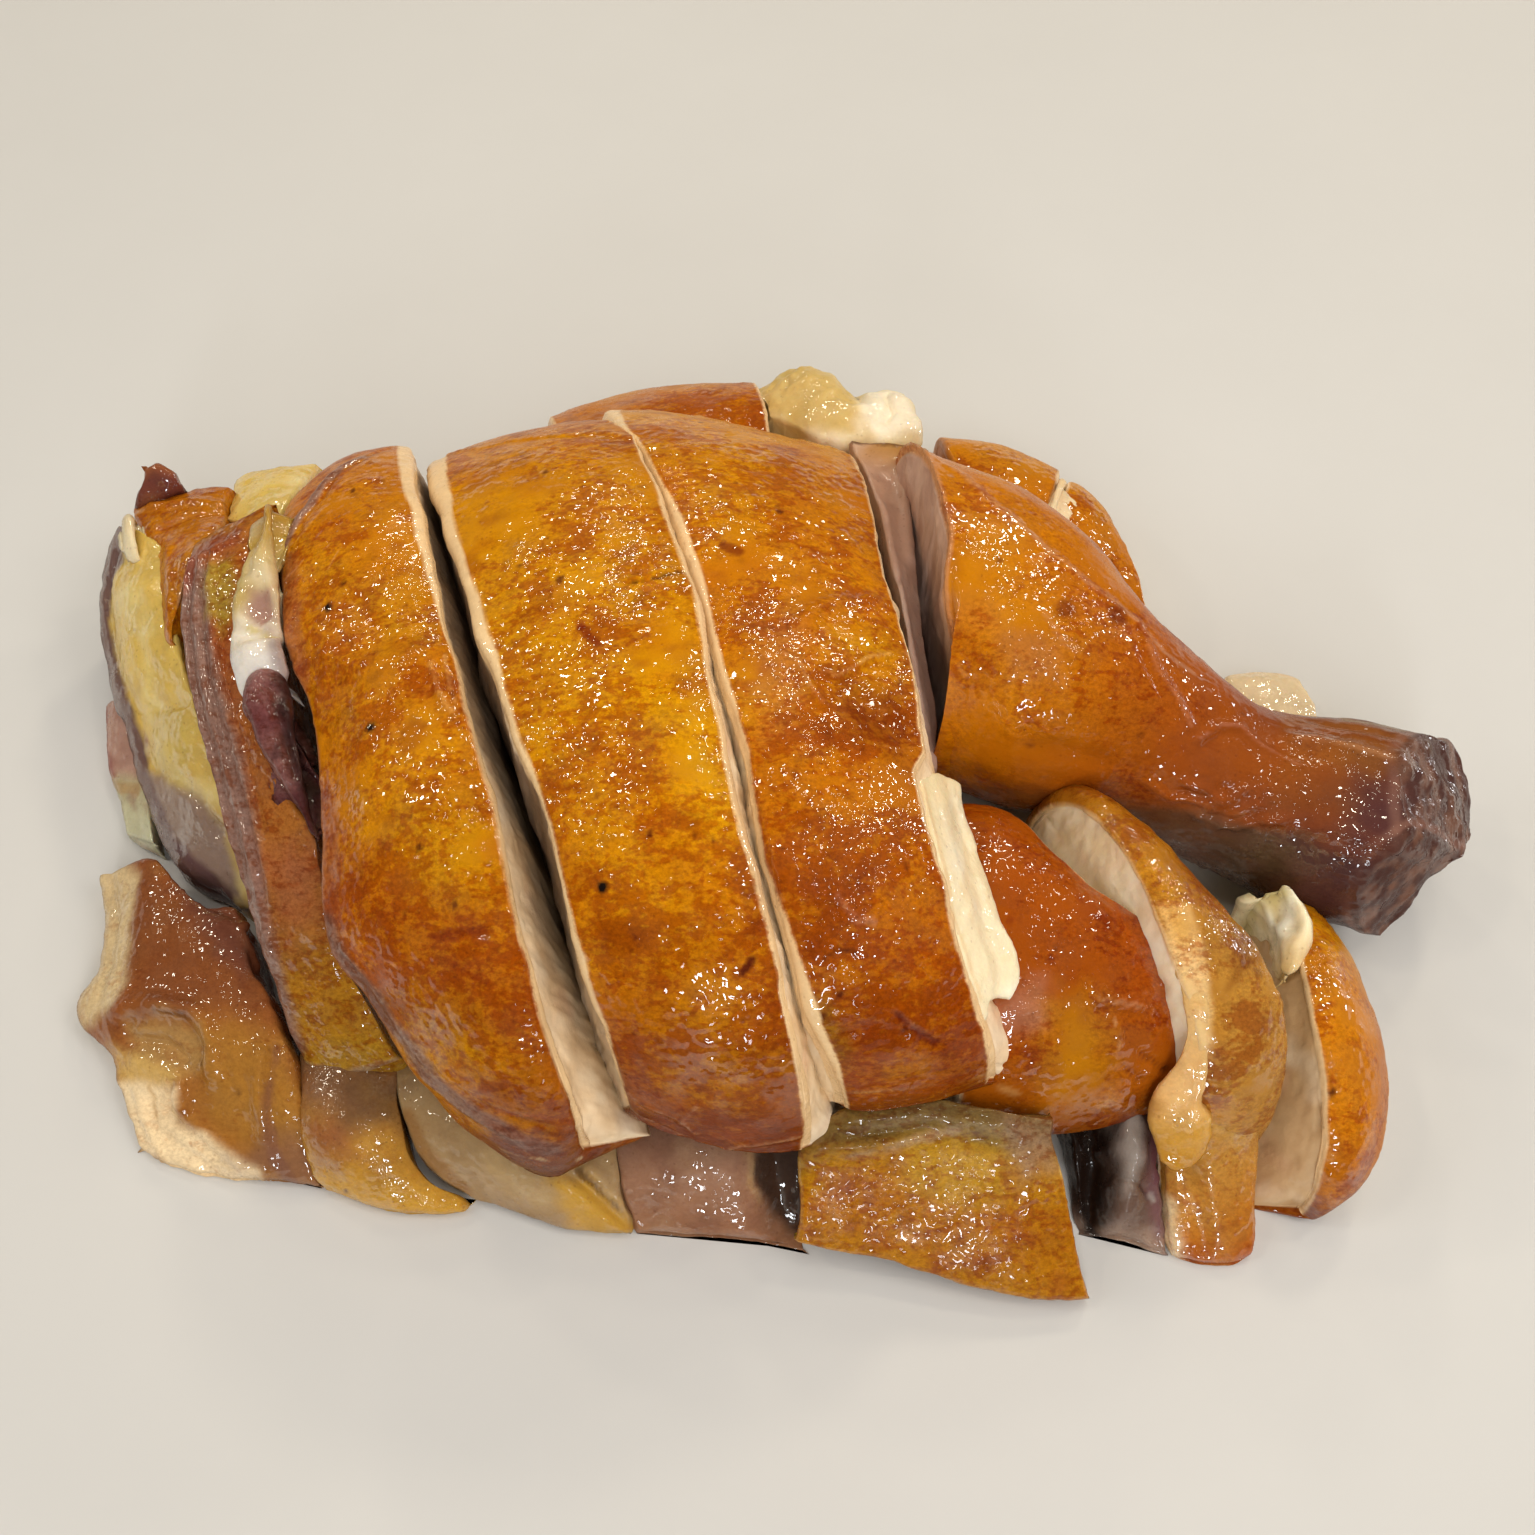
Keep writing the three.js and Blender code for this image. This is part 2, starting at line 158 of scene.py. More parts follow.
def arch(e, s, full):
    n = np.where(s < 0.5, full[0], full[1])
    co, si = np.cos(np.pi * s), np.clip(np.sin(np.pi * s), 0, 1)
    c = 0.5 - 0.5 * np.sign(co) * np.abs(co) ** (2 / n)
    up = si ** (2 / n)
    p = e["far"][None] * (1 - c[:, None]) + e["near"][None] * c[:, None]
    d = (e["near"] - e["far"])[:2]
    d = d / np.linalg.norm(d)
    side = np.array([-d[1], d[0]])
    if side[0] < 0:
        side = -side
    off = e["bow"] * up + e["sway"] * np.sin(2 * np.pi * c)
    p[:, :2] += side[None] * off[:, None]
    p[:, 2] += e["rise"] * up
    if e["shift"]:  # sideways offsets in 0.1 mm, evenly spaced along the edge
        s0 = np.linspace(0, 1, 601)
        q = arch(dict(e, shift=None), s0, full)[0]
        f = np.concatenate([[0], np.cumsum(np.linalg.norm(np.diff(q, axis=0), axis=1))])
        at = np.interp(s, s0, f / f[-1])
        p[:, :2] += side[None] * np.interp(at, np.linspace(0, 1, len(e["shift"])), np.array(e["shift"]) / 10)[:, None]
    return p, c


class Grid:
    """A patch of a piece: positions (a, b, 3) and values per point."""

    def __init__(self, pos, flip=False, **values):
        self.pos = pos
        self.flip = flip
        self.values = {k: np.broadcast_to(v, pos.shape[:2]) for k, v in values.items()}


TOP, LEFT, RIGHT, FAR, NEAR, BASE = range(6)


def edge_spacing(width, step, fine, band):
    """0..1 across a width (mm): step apart in the middle, fine near both edges."""
    n = 400
    x = np.linspace(0, width, n)
    e = np.minimum(x, width - x)
    dens = 1 / np.where(e < band, fine + (step - fine) * e / band, step)
    cum = np.concatenate([[0], np.cumsum((dens[1:] + dens[:-1]) / 2 * np.diff(x))])
    m = max(6, int(round(cum[-1])))
    return np.interp(np.linspace(0, cum[-1], m + 1), cum, x) / width


def slab(sp, step=0.45, fine=0.26, band=3.5, rim=(0.7, 0.7), wall=(0.35, 2.2)):
    """High-resolution grids of one slice. Walls are close-set near the skin and coarse below."""
    step, fine = step * FINE, fine * FINE
    full, crown, ft = sp["full"], sp["crown"], sp["foot"]
    L, R = sp["left"], sp["right"]
    s0 = np.linspace(0, 1, 1201)
    l0, _ = arch(L, s0, full)
    r0, _ = arch(R, s0, full)
    mid = (l0 + r0) / 2
    seg = np.linalg.norm(np.diff(mid, axis=0), axis=1)
    cum = np.concatenate([[0], np.cumsum(seg)])
    length = cum[-1]
    ns = max(10, int(round(length / step)))
    s = np.interp(np.linspace(0, length, ns + 1), cum, s0)
    l, cl = arch(L, s, full)
    r, cr = arch(R, s, full)
    width = np.linalg.norm((r0 - l0), axis=1).max()
    u = edge_spacing(width, step, fine, band)
    nu = len(u) - 1
    d = ((L["near"] + R["near"]) - (L["far"] + R["far"]))[:2]
    d /= np.linalg.norm(d)
    bulge = 1 - (2 * u - 1) ** 2
    co, si = np.cos(np.pi * s), np.sin(np.pi * s)
    reach = -co * np.where(co > 0, crown[2], crown[1])
    out = np.stack([d[0] * reach, d[1] * reach, si * crown[0]], 1)
    T = l[None] * (1 - u[:, None, None]) + r[None] * u[:, None, None] + out[None] * bulge[:, None, None]
    # round the rims over
    tu = np.gradient(T, axis=0)
    ts = np.gradient(T, axis=1)
    N = np.cross(ts, tu)
    N /= np.linalg.norm(N, axis=2)[:, :, None] + 1e-12
    w_s = np.linalg.norm(r - l, axis=1)[None]
    el = u[:, None] * w_s
    er = (1 - u)[:, None] * w_s
    e = np.minimum(el, er)

    def drop(x, q):
        x = np.clip(x, 0, q)
        return q - np.sqrt(np.maximum(q * q - (q - x) ** 2, 0))

    T = T - N * (drop(el, rim[0]) * 0.8 + drop(er, rim[1]))[:, :, None]
    inset = 0.03

    def foot_line(E, along, spread):
        c = inset + along * (1 - 2 * inset)
        p = E["far"][None] * (1 - c[:, None]) + E["near"][None] * c[:, None]
        p[:, 0] += spread[0] * (1 - c) + spread[1] * c
        return p, c

    fl, cfl = foot_line(L, cl, ft["left"])
    fr, cfr = foot_line(R, cr, ft["right"])
    Bp = fl[None] * (1 - u[:, None, None]) + fr[None] * u[:, None, None]
    c = cfl[None] * (1 - u[:, None]) + cfr[None] * u[:, None]
    Bp = Bp + np.stack([d[0] * reach, d[1] * reach, 0 * reach], 1)[None] * bulge[:, None, None] * 0.85
    zf, zm, zn = ft["z"]
    Bp[:, :, 2] = np.where(
        c < 0.5,
        zm + (zf - zm) * sstep(0, 1, 1 - 2 * c),
        zm + (zn - zm) * sstep(0, 1, 2 * c - 1),
    )
    side = np.array([-d[1], d[0], 0.0])
    if side[0] < 0:
        side = -side
    info = dict(length=length, width=width, side=side, along=np.array([d[0], d[1], 0.0]), cut=(LEFT, RIGHT))
    return block(T, Bp, u, np.linspace(0, 1, ns + 1), el, er, wall, sp.get("wall_band", 7.0), info)


def block(T, Bp, u, s, el, er, wall, band, info, belly=0.0, sheet=False):
    """Patches of a closed block from its top grid T and its underside Bp, both (nu+1, ns+1, 3)."""
    height = max(
        np.linalg.norm(T[0] - Bp[0], axis=1).max(),
        np.linalg.norm(T[-1] - Bp[-1], axis=1).max(),
        np.linalg.norm(T[:, 0] - Bp[:, 0], axis=1).max(),
        np.linalg.norm(T[:, -1] - Bp[:, -1], axis=1).max(),
    )
    rows = [0.0]
    h = wall[0] * FINE
    while rows[-1] < height:
        rows.append(rows[-1] + h)
        if rows[-1] > band:
            h = min(h * 1.25, wall[1])
    w = np.array(rows) / rows[-1]

    def outward(line, middle):
        t = np.gradient(line[:, :2], axis=0)
        n = np.stack([-t[:, 1], t[:, 0], 0 * t[:, 0]], 1)
        n /= np.linalg.norm(n, axis=1)[:, None] + 1e-9
        away = line - middle
        if (n * away).sum() < 0:
            n = -n
        return n

    middle = T.reshape(-1, 3).mean(0)

    def wall_grid(Te, Be, tag, flip, **vals):
        g = Te[None] * (1 - w[:, None, None]) + Be[None] * w[:, None, None]
        if belly:
            k = np.sin(np.pi * w)[:, None, None]
            ends = np.ones(len(Te))
            m = min(8, len(Te) // 3)
            ends[:m] = np.linspace(0, 1, m)
            ends[-m:] = np.linspace(1, 0, m)
            g = g + outward(Te, middle)[None] * k * belly * ends[None, :, None]
        if tag in info["cut"]:  # depth is the distance from the skin's edge
            hh = np.empty(g.shape[:2])
            for a in range(len(g)):
                hh[a] = np.sqrt(((g[a][:, None] - Te[None]) ** 2).sum(-1).min(-1))
        else:
            hh = np.linalg.norm(Te - Be, axis=1)[None] * w[:, None]
        return Grid(g, flip, tag=tag, dep=hh, **vals)

    S = s[None]
    wl = el[-1]
    grids = [
        Grid(T, True, tag=TOP, dep=0.0, u=u[:, None], s=S, el=el, er=er),
        wall_grid(T[0], Bp[0], LEFT, False, u=0.0, s=S, el=0.0, er=er[0][None]),
        wall_grid(T[-1], Bp[-1], RIGHT, True, u=1.0, s=S, el=wl[None], er=0.0),
        wall_grid(T[:, 0], Bp[:, 0], FAR, True, u=u[None], s=0.0, el=el[:, 0][None], er=er[:, 0][None]),
        wall_grid(T[:, -1], Bp[:, -1], NEAR, False, u=u[None], s=1.0, el=el[:, -1][None], er=er[:, -1][None]),
    ]
    if sheet:
        grids.append(Grid(Bp, False, tag=BASE, dep=60.0, u=u[:, None], s=S, el=el, er=er))
        Bp = None
    return grids, Bp, info


def spline(pts, n, wave=0.0, seed=0):
    """n + 1 evenly spaced points of a smooth curve through pts, with a wavy outline in plan."""
    pts = np.array(pts, float)
    m = len(pts)
    ends = np.vstack([2 * pts[0] - pts[1], pts, 2 * pts[-1] - pts[-2]])
    t = np.linspace(0, m - 1, 60 * m)
    i = np.minimum(m - 2, t.astype(int))
    f = (t - i)[:, None]
    a, b, c, e = (ends[i + k] for k in range(4))
    # uniform spline, softened so that uneven points do not overshoot
    q = 0.5 * (2 * b + (c - a) * f + (2 * a - 5 * b + 4 * c - e) * f**2 + (3 * b - a - 3 * c + e) * f**3)
    q = 0.65 * q + 0.35 * (b * (1 - f) + c * f)
    cum = np.concatenate([[0], np.cumsum(np.linalg.norm(np.diff(q, axis=0), axis=1))])
    at = np.linspace(0, cum[-1], n + 1)
    q = np.stack([np.interp(at, cum, q[:, k]) for k in range(3)], 1)
    if wave:
        d = np.gradient(q[:, :2], axis=0)
        nr = np.stack([-d[:, 1], d[:, 0]], 1)
        nr /= np.linalg.norm(nr, axis=1)[:, None] + 1e-9
        k = np.stack([at, np.full(n + 1, seed * 3.7), np.zeros(n + 1)], 1)
        w = 0.7 * noise(k, 9.0, seed) + 0.35 * noise(k, 3.5, seed + 1) + 0.15 * noise(k, 1.3, seed + 2)
        fade = np.clip(np.minimum(at, cum[-1] - at) / 2.0, 0, 1)
        q[:, :2] += nr * (wave * w * fade)[:, None]
    return q


def run_length(pts):
    pts = np.array(pts, float)
    return np.linalg.norm(np.diff(pts, axis=0), axis=1).sum()


def patch(sp, step=0.5, seed=1):
    """A block whose top is spanned by four drawn edges: far and near run left to right, left and right run far to near."""
    step = step * FINE
    fa, ne, le, ri = sp["far"], sp["near"], sp["left"], sp["right"]
    wide = max(run_length(fa), run_length(ne))
    long = max(run_length(le), run_length(ri))
    nu = max(8, int(round(wide / step)))
    ns = max(8, int(round(long / step)))
    wv = sp.get("wave", 0.8)
    F, N = spline(fa, nu, wv, seed), spline(ne, nu, wv, seed + 1)
    L, Rr = spline(le, ns, wv, seed + 2), spline(ri, ns, wv, seed + 3)
    # the corners are shared
    for a, b, k in ((F, L, (0, 0)), (F, Rr, (-1, 0)), (N, L, (0, -1)), (N, Rr, (-1, -1))):
        c = (a[k[0]] + b[k[1]]) / 2
        a[k[0]] = c
        b[k[1]] = c
    u, s = np.linspace(0, 1, nu + 1), np.linspace(0, 1, ns + 1)
    U, S_ = u[:, None, None], s[None, :, None]
    T = (
        (1 - S_) * F[:, None]
        + S_ * N[:, None]
        + (1 - U) * L[None]
        + U * Rr[None]
        - (1 - U) * (1 - S_) * F[0]
        - U * (1 - S_) * F[-1]
        - (1 - U) * S_ * N[0]
        - U * S_ * N[-1]
    )
    bulge = (4 * U * (1 - U)) ** sp.get("full", 0.6) * (4 * S_ * (1 - S_)) ** sp.get("full", 0.6)
    T[:, :, 2:] += sp.get("crown", 1.0) * bulge
    for x, y, z, r, h in sp.get("bumps", []):
        d2 = ((T[:, :, :2] - [x, y]) ** 2).sum(-1) / r**2
        T[:, :, 2] += h * np.exp(-d2)
    for pts, r, h in sp.get("ridges", []):
        T[:, :, 2] += h * np.exp(-((line_distance(T.reshape(-1, 3), pts, flat=True).reshape(nu + 1, ns + 1) / r) ** 2))
    tu, ts = np.gradient(T, axis=0), np.gradient(T, axis=1)
    Nn = np.cross(ts, tu)
    Nn /= np.linalg.norm(Nn, axis=2)[:, :, None] + 1e-12
    W = np.linalg.norm(T[-1] - T[0], axis=1)[None]
    H = np.linalg.norm(T[:, -1] - T[:, 0], axis=1)[:, None]
    el, er = u[:, None] * W, (1 - u[:, None]) * W
    ef, en = s[None] * H, (1 - s[None]) * H
    for e, r in zip((el, er, ef, en), sp.get("round", (0.8, 0.8, 0.8, 1.2))):
        if r > 0:
            x = np.clip(e, 0, r)
            T = T - Nn * (r - np.sqrt(np.maximum(r * r - (r - x) ** 2, 0)))[:, :, None] * 0.9
    T[:, :, 2] = np.maximum(T[:, :, 2], 0.25)
    if "thick" in sp:
        Bp = T - Nn * sp["thick"]
        Bp[:, :, 2] = np.maximum(Bp[:, :, 2], 0.0)
    else:
        Bp = T.copy()
        mid = T.reshape(-1, 3).mean(0)
        Bp[:, :, :2] = mid[:2] + (T[:, :, :2] - mid[:2]) * sp.get("foot", 1.0)
        Bp[:, :, 2] = np.minimum(sp.get("base", 0.0), T[:, :, 2] - 0.3)
        Bp[:, :, 2] = np.maximum(Bp[:, :, 2], 0)
    info = dict(length=long, width=wide, side=np.array([1.0, 0, 0]), along=np.array([0, -1.0, 0]), cut=sp.get("cut", ()))
    return block(T, Bp, u, s, el, er, (0.4, 2.0), 4.0, info, sp.get("belly", 0.5), "thick" in sp)


def line_distance(pos, pts, flat=False):
    pts = np.array(pts, float)
    if flat:
        pts = pts * [1, 1, 0]
        pos = pos * [1, 1, 0]
    best = np.full(len(pos), 1e9)
    for p, q in zip(pts[:-1], pts[1:]):
        pq = q - p
        t = np.clip(((pos - p) @ pq) / (pq @ pq + 1e-9), 0, 1)
        best = np.minimum(best, np.linalg.norm(pos - p - t[:, None] * pq, axis=1))
    return best


def inside(pos, poly, soft=1.0, ragged=0.6, seed=3):
    """1 inside an outline drawn in plan, 0 outside, soft over the border."""
    poly = np.array(poly, float)[:, :2]
    x, y = pos[:, 0], pos[:, 1]
    inn = np.zeros(len(pos), bool)
    best = np.full(len(pos), 1e9)
    for k in range(len(poly)):
        (x0, y0), (x1, y1) = poly[k - 1], poly[k]
        cross = (y0 > y) != (y1 > y)
        xi = x0 + (y - y0) * (x1 - x0) / (y1 - y0 + 1e-12)
        inn ^= cross & (x < xi)
        d = np.array([x1 - x0, y1 - y0])
        t = np.clip(((x - x0) * d[0] + (y - y0) * d[1]) / (d @ d + 1e-9), 0, 1)
        best = np.minimum(best, np.hypot(x - x0 - t * d[0], y - y0 - t * d[1]))
    sd = np.where(inn, best, -best) + ragged * noise(pos, 2.5, seed)
    return sstep(-soft, soft, sd)


def weld(grids, base=None):
    """One closed mesh from patches that share their borders. base is the (nu+1, ns+1, 3) underside, closed with long strips."""
    keys = ["tag", "dep", "u", "s", "el", "er"]
    pos, vals, faces, off = [], {k: [] for k in keys}, [], 0
    for g in grids:
        a, b = g.pos.shape[:2]
        pos.append(g.pos.reshape(-1, 3))
        for k in keys:
            default = 99.0 if k in ("el", "er") else 0.0
            vals[k].append(np.array(g.values.get(k, np.full((a, b), default)), float).reshape(-1))
        i = np.arange(a * b).reshape(a, b) + off
        q = np.stack([i[:-1, :-1], i[1:, :-1], i[1:, 1:], i[:-1, 1:]], -1).reshape(-1, 4)
        faces.append(q[:, ::-1] if g.flip else q)
        off += a * b
    pos = np.vstack(pos)
    vals = {k: np.concatenate(v) for k, v in vals.items()}
    polys = []
    if base is not None:
        nu, ns = base.shape[0] - 1, base.shape[1] - 1
        o = off
        pos = np.vstack([pos, base[:, 0], base[:, -1], base[0], base[-1]])
        extra = 2 * (nu + 1) + 2 * (ns + 1)
        for k in keys:
            fill = {"tag": BASE, "dep": 60.0, "el": 99.0, "er": 99.0}.get(k, 0.5)
            vals[k] = np.concatenate([vals[k], np.full(extra, fill)])
        far = o + np.arange(nu + 1)
        near = o + nu + 1 + np.arange(nu + 1)
        lo = o + 2 * (nu + 1) + np.arange(ns + 1)
        ro = lo + ns + 1
        strips = np.stack([lo[1:-2], ro[1:-2], ro[2:-1], lo[2:-1]], -1)
        faces.append(strips)
        polys.append(list(far) + [ro[1], lo[1]])
        polys.append(list(near[::-1]) + [lo[-2], ro[-2]])
    quads = np.vstack(faces)
    key = np.round(pos * 2000).astype(np.int64)
    _, first, inv = np.unique(key, axis=0, return_index=True, return_inverse=True)
    inv = inv.reshape(-1)
    order = np.argsort(first, kind="stable")
    rank = np.empty(len(order), np.int64)
    rank[order] = np.arange(len(order))
    new = rank[inv]
    first = first[order]
    pos = pos[first]
    vals = {k: v[first] for k, v in vals.items()}
    quads = new[quads]
    polys = [[int(new[i]) for i in p] for p in polys]
    # drop repeated corners
    tri = []
    bad = (
        (quads[:, 0] == quads[:, 1])
        | (quads[:, 1] == quads[:, 2])
        | (quads[:, 2] == quads[:, 3])
        | (quads[:, 3] == quads[:, 0])
    )
    for q in quads[bad]:
        p = [int(q[k]) for k in range(4) if q[k] != q[k - 1]]
        if len(set(p)) >= 3:
            tri.append(p)
    polys = [[p[k] for k in range(len(p)) if p[k] != p[k - 1]] for p in polys]
    return pos, quads[~bad], tri + [p for p in polys if len(set(p)) >= 3], vals


def normals(pos, quads, polys):
    n = np.zeros_like(pos)
    c = np.cross(pos[quads[:, 2]] - pos[quads[:, 0]], pos[quads[:, 3]] - pos[quads[:, 1]])
    for k in range(4):
        for x in range(3):
            n[:, x] += np.bincount(quads[:, k], c[:, x], len(pos))
    for p in polys:
        if len(p) <= 4:
            a = np.cross(pos[p[1]] - pos[p[0]], pos[p[2]] - pos[p[0]])
            n[p] += a
    return n / (np.linalg.norm(n, axis=1)[:, None] + 1e-12)


def build(name, pos, quads, polys, colour, skin, mott, rough, wet, grain, material):
    """A Blender mesh object from arrays in layout millimetres."""
    me = bpy.data.meshes.new(name)
    co = ((pos + SHIFT) / 1000).astype(np.float32)
    nq = len(quads)
    loops = np.concatenate([quads.reshape(-1)] + [np.array(p) for p in polys]).astype(np.int32)
    counts = np.concatenate([np.full(nq, 4), [len(p) for p in polys]]).astype(np.int32)
    starts = np.concatenate([[0], np.cumsum(counts)[:-1]]).astype(np.int32)
    me.vertices.add(len(co))
    me.vertices.foreach_set("co", co.reshape(-1))
    me.loops.add(len(loops))
    me.loops.foreach_set("vertex_index", loops)
    me.polygons.add(len(counts))
    me.polygons.foreach_set("loop_start", starts)
    me.polygons.foreach_set("loop_total", counts)
    me.polygons.foreach_set("use_smooth", np.ones(len(counts), bool))
    me.update(calc_edges=True)
    me.validate()
    col = me.attributes.new("Col", "FLOAT_COLOR", "POINT")
    rgba = np.ones((len(co), 4), np.float32)
    rgba[:, :3] = np.clip(colour, 0, 1)
    col.data.foreach_set("color", rgba.reshape(-1))
    for key, arr in (("Skin", skin), ("Mott", mott), ("Rough", rough), ("Wet", wet), ("Grain", grain)):
        at = me.attributes.new(key, "FLOAT", "POINT")
        at.data.foreach_set("value", np.broadcast_to(arr, (len(co),)).astype(np.float32))
    me.materials.append(material)
    ob = bpy.data.objects.new(name, me)
    bpy.context.scene.collection.objects.link(ob)
    return ob


def relief(pos, v, info, seed, o):
    """Shape of one slice beyond its plain form. Returns new positions and the share of meat."""
    side = info["side"]
    x = v["s"] * info["length"]
    dep = v["dep"]
    lr = np.isin(v["tag"], info["cut"])
    skin_t = o["skin_t"] * (1 + 0.3 * noise(np.stack([x, dep * 0, x * 0 + seed * 9.1], 1), 7.0, seed))
    meat = np.where(lr, sstep(skin_t - 0.22, skin_t + 0.22, dep), 0.0)
    fade = 0.3 + 0.7 * np.exp(-dep / 12)
    move = np.zeros(len(pos))
    for k, e in ((0, v["el"]), (1, v["er"])):
        cut = o["knife"][k] if "knife" in o else seed * 37 + 50 * k
        q = np.stack([pos[:, 1], pos[:, 2] * 0.6 + dep * 0.3, np.full(len(x), cut * 1.0)], 1)
        w = 0.8 * noise(q, 15.0, 3) + 0.45 * noise(q, 5.0, 4) + 0.22 * noise(q, 1.8, 5)
        move += o["wave"] * w * fade * np.exp(-((np.minimum(e, 60) / 4.5) ** 2))
        if k in o.get("tear", {}):
            q2 = q * [1, 1, 1]
            move += o["tear"][k] * (np.abs(noise(q2, 3.4, seed + 8)) - 0.3) * np.exp(-((np.minimum(e, 60) / 1.8) ** 2))
    # meat stands back a little under the skin
    out = np.where(v["tag"] == LEFT, -1.0, np.where(v["tag"] == RIGHT, 1.0, 0.0))
    move -= out * o["recess"] * meat * (1 - 0.6 * sstep(3, 12, dep))
    bl, br = o["belly"] if isinstance(o["belly"], tuple) else (o["belly"],) * 2
    move += out * np.where(v["tag"] == LEFT, bl, br) * np.sin(np.pi * np.clip(dep / 26, 0, 1)) ** 0.8 * lr
    if o["patch"]:
        return pos, meat
    pos = pos + side[None] * move[:, None]
    return pos, meat


def skin_height(pos, n, seed, o):
    """Undulation of skin along its normal, mm."""
    q = pos
    h = o["lump"] * (0.50 * noise(q, 24.0, seed) + 0.26 * noise(q, 9.5, seed + 2) + 0.14 * noise(q, 4.2, seed + 4))
    # orange-peel grain
    pg = 0.45 + 1.1 * sstep(0.0, 0.5, fbm(q, 9.0, 2, seed + 19))
    for poly in o["wets"]:
        lo, hi = np.min(poly, axis=0) - 4, np.max(poly, axis=0) + 4
        k = ((q[:, :2] > lo[:2]) & (q[:, :2] < hi[:2])).all(1)
        pg[k] = np.maximum(pg[k], 2.2 * inside(q[k], poly, 1.8, 1.2))
    h = h + o["peel"] * pg * (0.080 * noise(q, 2.3, seed + 15) + 0.020 * noise(q, 1.3, seed + 16))
    # raised follicles in some places
    d, idn = cells(q, 2.1, seed + 1)
    field = sstep(0.0, 0.5, fbm(q, 14.0, 2, seed + 9) + o["bumps"])
    h = h + field * 0.20 * np.exp(-((d / 0.30) ** 2)) * (0.4 + idn)
    # small pits
    d2, id2 = cells(q, 1.7, seed + 6)
    h = h - 0.05 * np.exp(-((d2 / 0.26) ** 2)) * (id2 > 0.45)
    # fine creases across the piece
    cr = np.abs(noise(q * [0.45, 1.0, 1.0], 2.6, seed + 12))
    h = h - o["crease"] * 0.18 * np.exp(-((cr / 0.10) ** 2)) * sstep(-0.2, 0.5, noise(q, 11.0, seed + 13))
    return h


def folds(pos, ls):
    """Height of drawn ridges (+) and furrows (-): (points, radius mm, height mm)."""
    h = np.zeros(len(pos))
    for k, (pts, r, up) in enumerate(ls):
        lo, hi = np.min(pts, axis=0) - 3 * r - 2, np.max(pts, axis=0) + 3 * r + 2
        m = ((pos > lo) & (pos < hi)).all(1)
        if m.any():
            d = line_distance(pos[m], pts) / r + 0.25 * noise(pos[m], r * 2.5, 80 + k)
            h[m] += up * np.exp(-np.maximum(d, 0) ** 2)
    return h


def meat_height(pos, seed, o):
    g = o["fibre"]
    h = 0.22 * noise(pos * g, 1.6, seed + 20) + 0.10 * noise(pos * g, 0.8, seed + 21)
    h = h + 0.45 * noise(pos, 7.0, seed + 22)
    t = fbm(pos, 3.0, 3, seed + 23)
    h = h - o["rag"] * sstep(0.25, 0.75, t)
    return h


DEFAULT = dict(
    skin_t=1.1,
    wave=1.0,
    recess=0.45,
    belly=0.8,
    lump=1.0,
    bumps=0.0,
    crease=0.5,
    peel=1.0,
    folds=(),
    fibre=np.array([1.0, 1.0, 0.35]),
    rag=0.35,
    mottle=1.0,
    rough=0.30,
    patch=False,
    strip={},
    rimw=0.55,
    wall=None,
    wets=(),
)


def add_spots(colour, pos, spots):
    """Soft patches: (x, y, z, radius mm, hex or linear colour, strength)."""
    for x, y, z, r, c, a in spots:
        c = lin(c) if isinstance(c, str) else c
        d = np.linalg.norm(pos - [x, y, z], axis=1) / r
        d = d + 0.35 * noise(pos, r * 0.9, 71)
        t = a * (1 - sstep(0.55, 1.15, d))
        colour = blend(colour, c, t)
    return colour


def add_line(colour, pos, pts, r, c, a, seed=5):
    """A painted stroke along 3-D points."""
    c = lin(c) if isinstance(c, str) else c
    pts = np.array(pts, float)
    best = np.full(len(pos), 1e9)
    for p, q in zip(pts[:-1], pts[1:]):
        pq = q - p
        t = np.clip(((pos - p) @ pq) / (pq @ pq), 0, 1)
        best = np.minimum(best, np.linalg.norm(pos - p - t[:, None] * pq, axis=1))
    d = best / r + 0.4 * noise(pos, r * 1.5, seed)
    return blend(colour, c, a * (1 - sstep(0.5, 1.2, d)))


# ------------------------------------------------------------- materials ----
def node(tree, kind, x, y, **sets):
    n = tree.nodes.new(kind)
    n.location = (x, y)
    for k, val in sets.items():
        setattr(n, k, val)
    return n


def math_node(tree, op, a, b=None, clamp=False):
    n = tree.nodes.new("ShaderNodeMath")
    n.operation = op
    n.use_clamp = clamp
    for k, v in ((0, a), (1, b)):
        if v is None:
            continue
        if isinstance(v, (int, float)):
            n.inputs[k].default_value = v
        else:
            tree.links.new(v, n.inputs[k])
    return n.outputs[0]


def mix_rgb(tree, mode, fac, a, b):
    n = tree.nodes.new("ShaderNodeMix")
    n.data_type = "RGBA"
    n.blend_type = mode
    for sock, v in ((n.inputs[0], fac), (n.inputs[6], a), (n.inputs[7], b)):
        if isinstance(v, (int, float)):
            sock.default_value = v
        elif isinstance(v, (tuple, list)):
            sock.default_value = (*v, 1) if len(v) == 3 else v
        else:
            tree.links.new(v, sock)
    return n.outputs[2]


def map_range(tree, v, a, b, c=0.0, d=1.0, smooth=True):
    n = tree.nodes.new("ShaderNodeMapRange")
    n.interpolation_type = "SMOOTHSTEP" if smooth else "LINEAR"
    tree.links.new(v, n.inputs[0])
    for k, x in zip((1, 2, 3, 4), (a, b, c, d)):
        n.inputs[k].default_value = x
    return n.outputs[0]


def attribute(tree, name):
    n = tree.nodes.new("ShaderNodeAttribute")
    n.attribute_type = "GEOMETRY"
    n.attribute_name = name
    return n


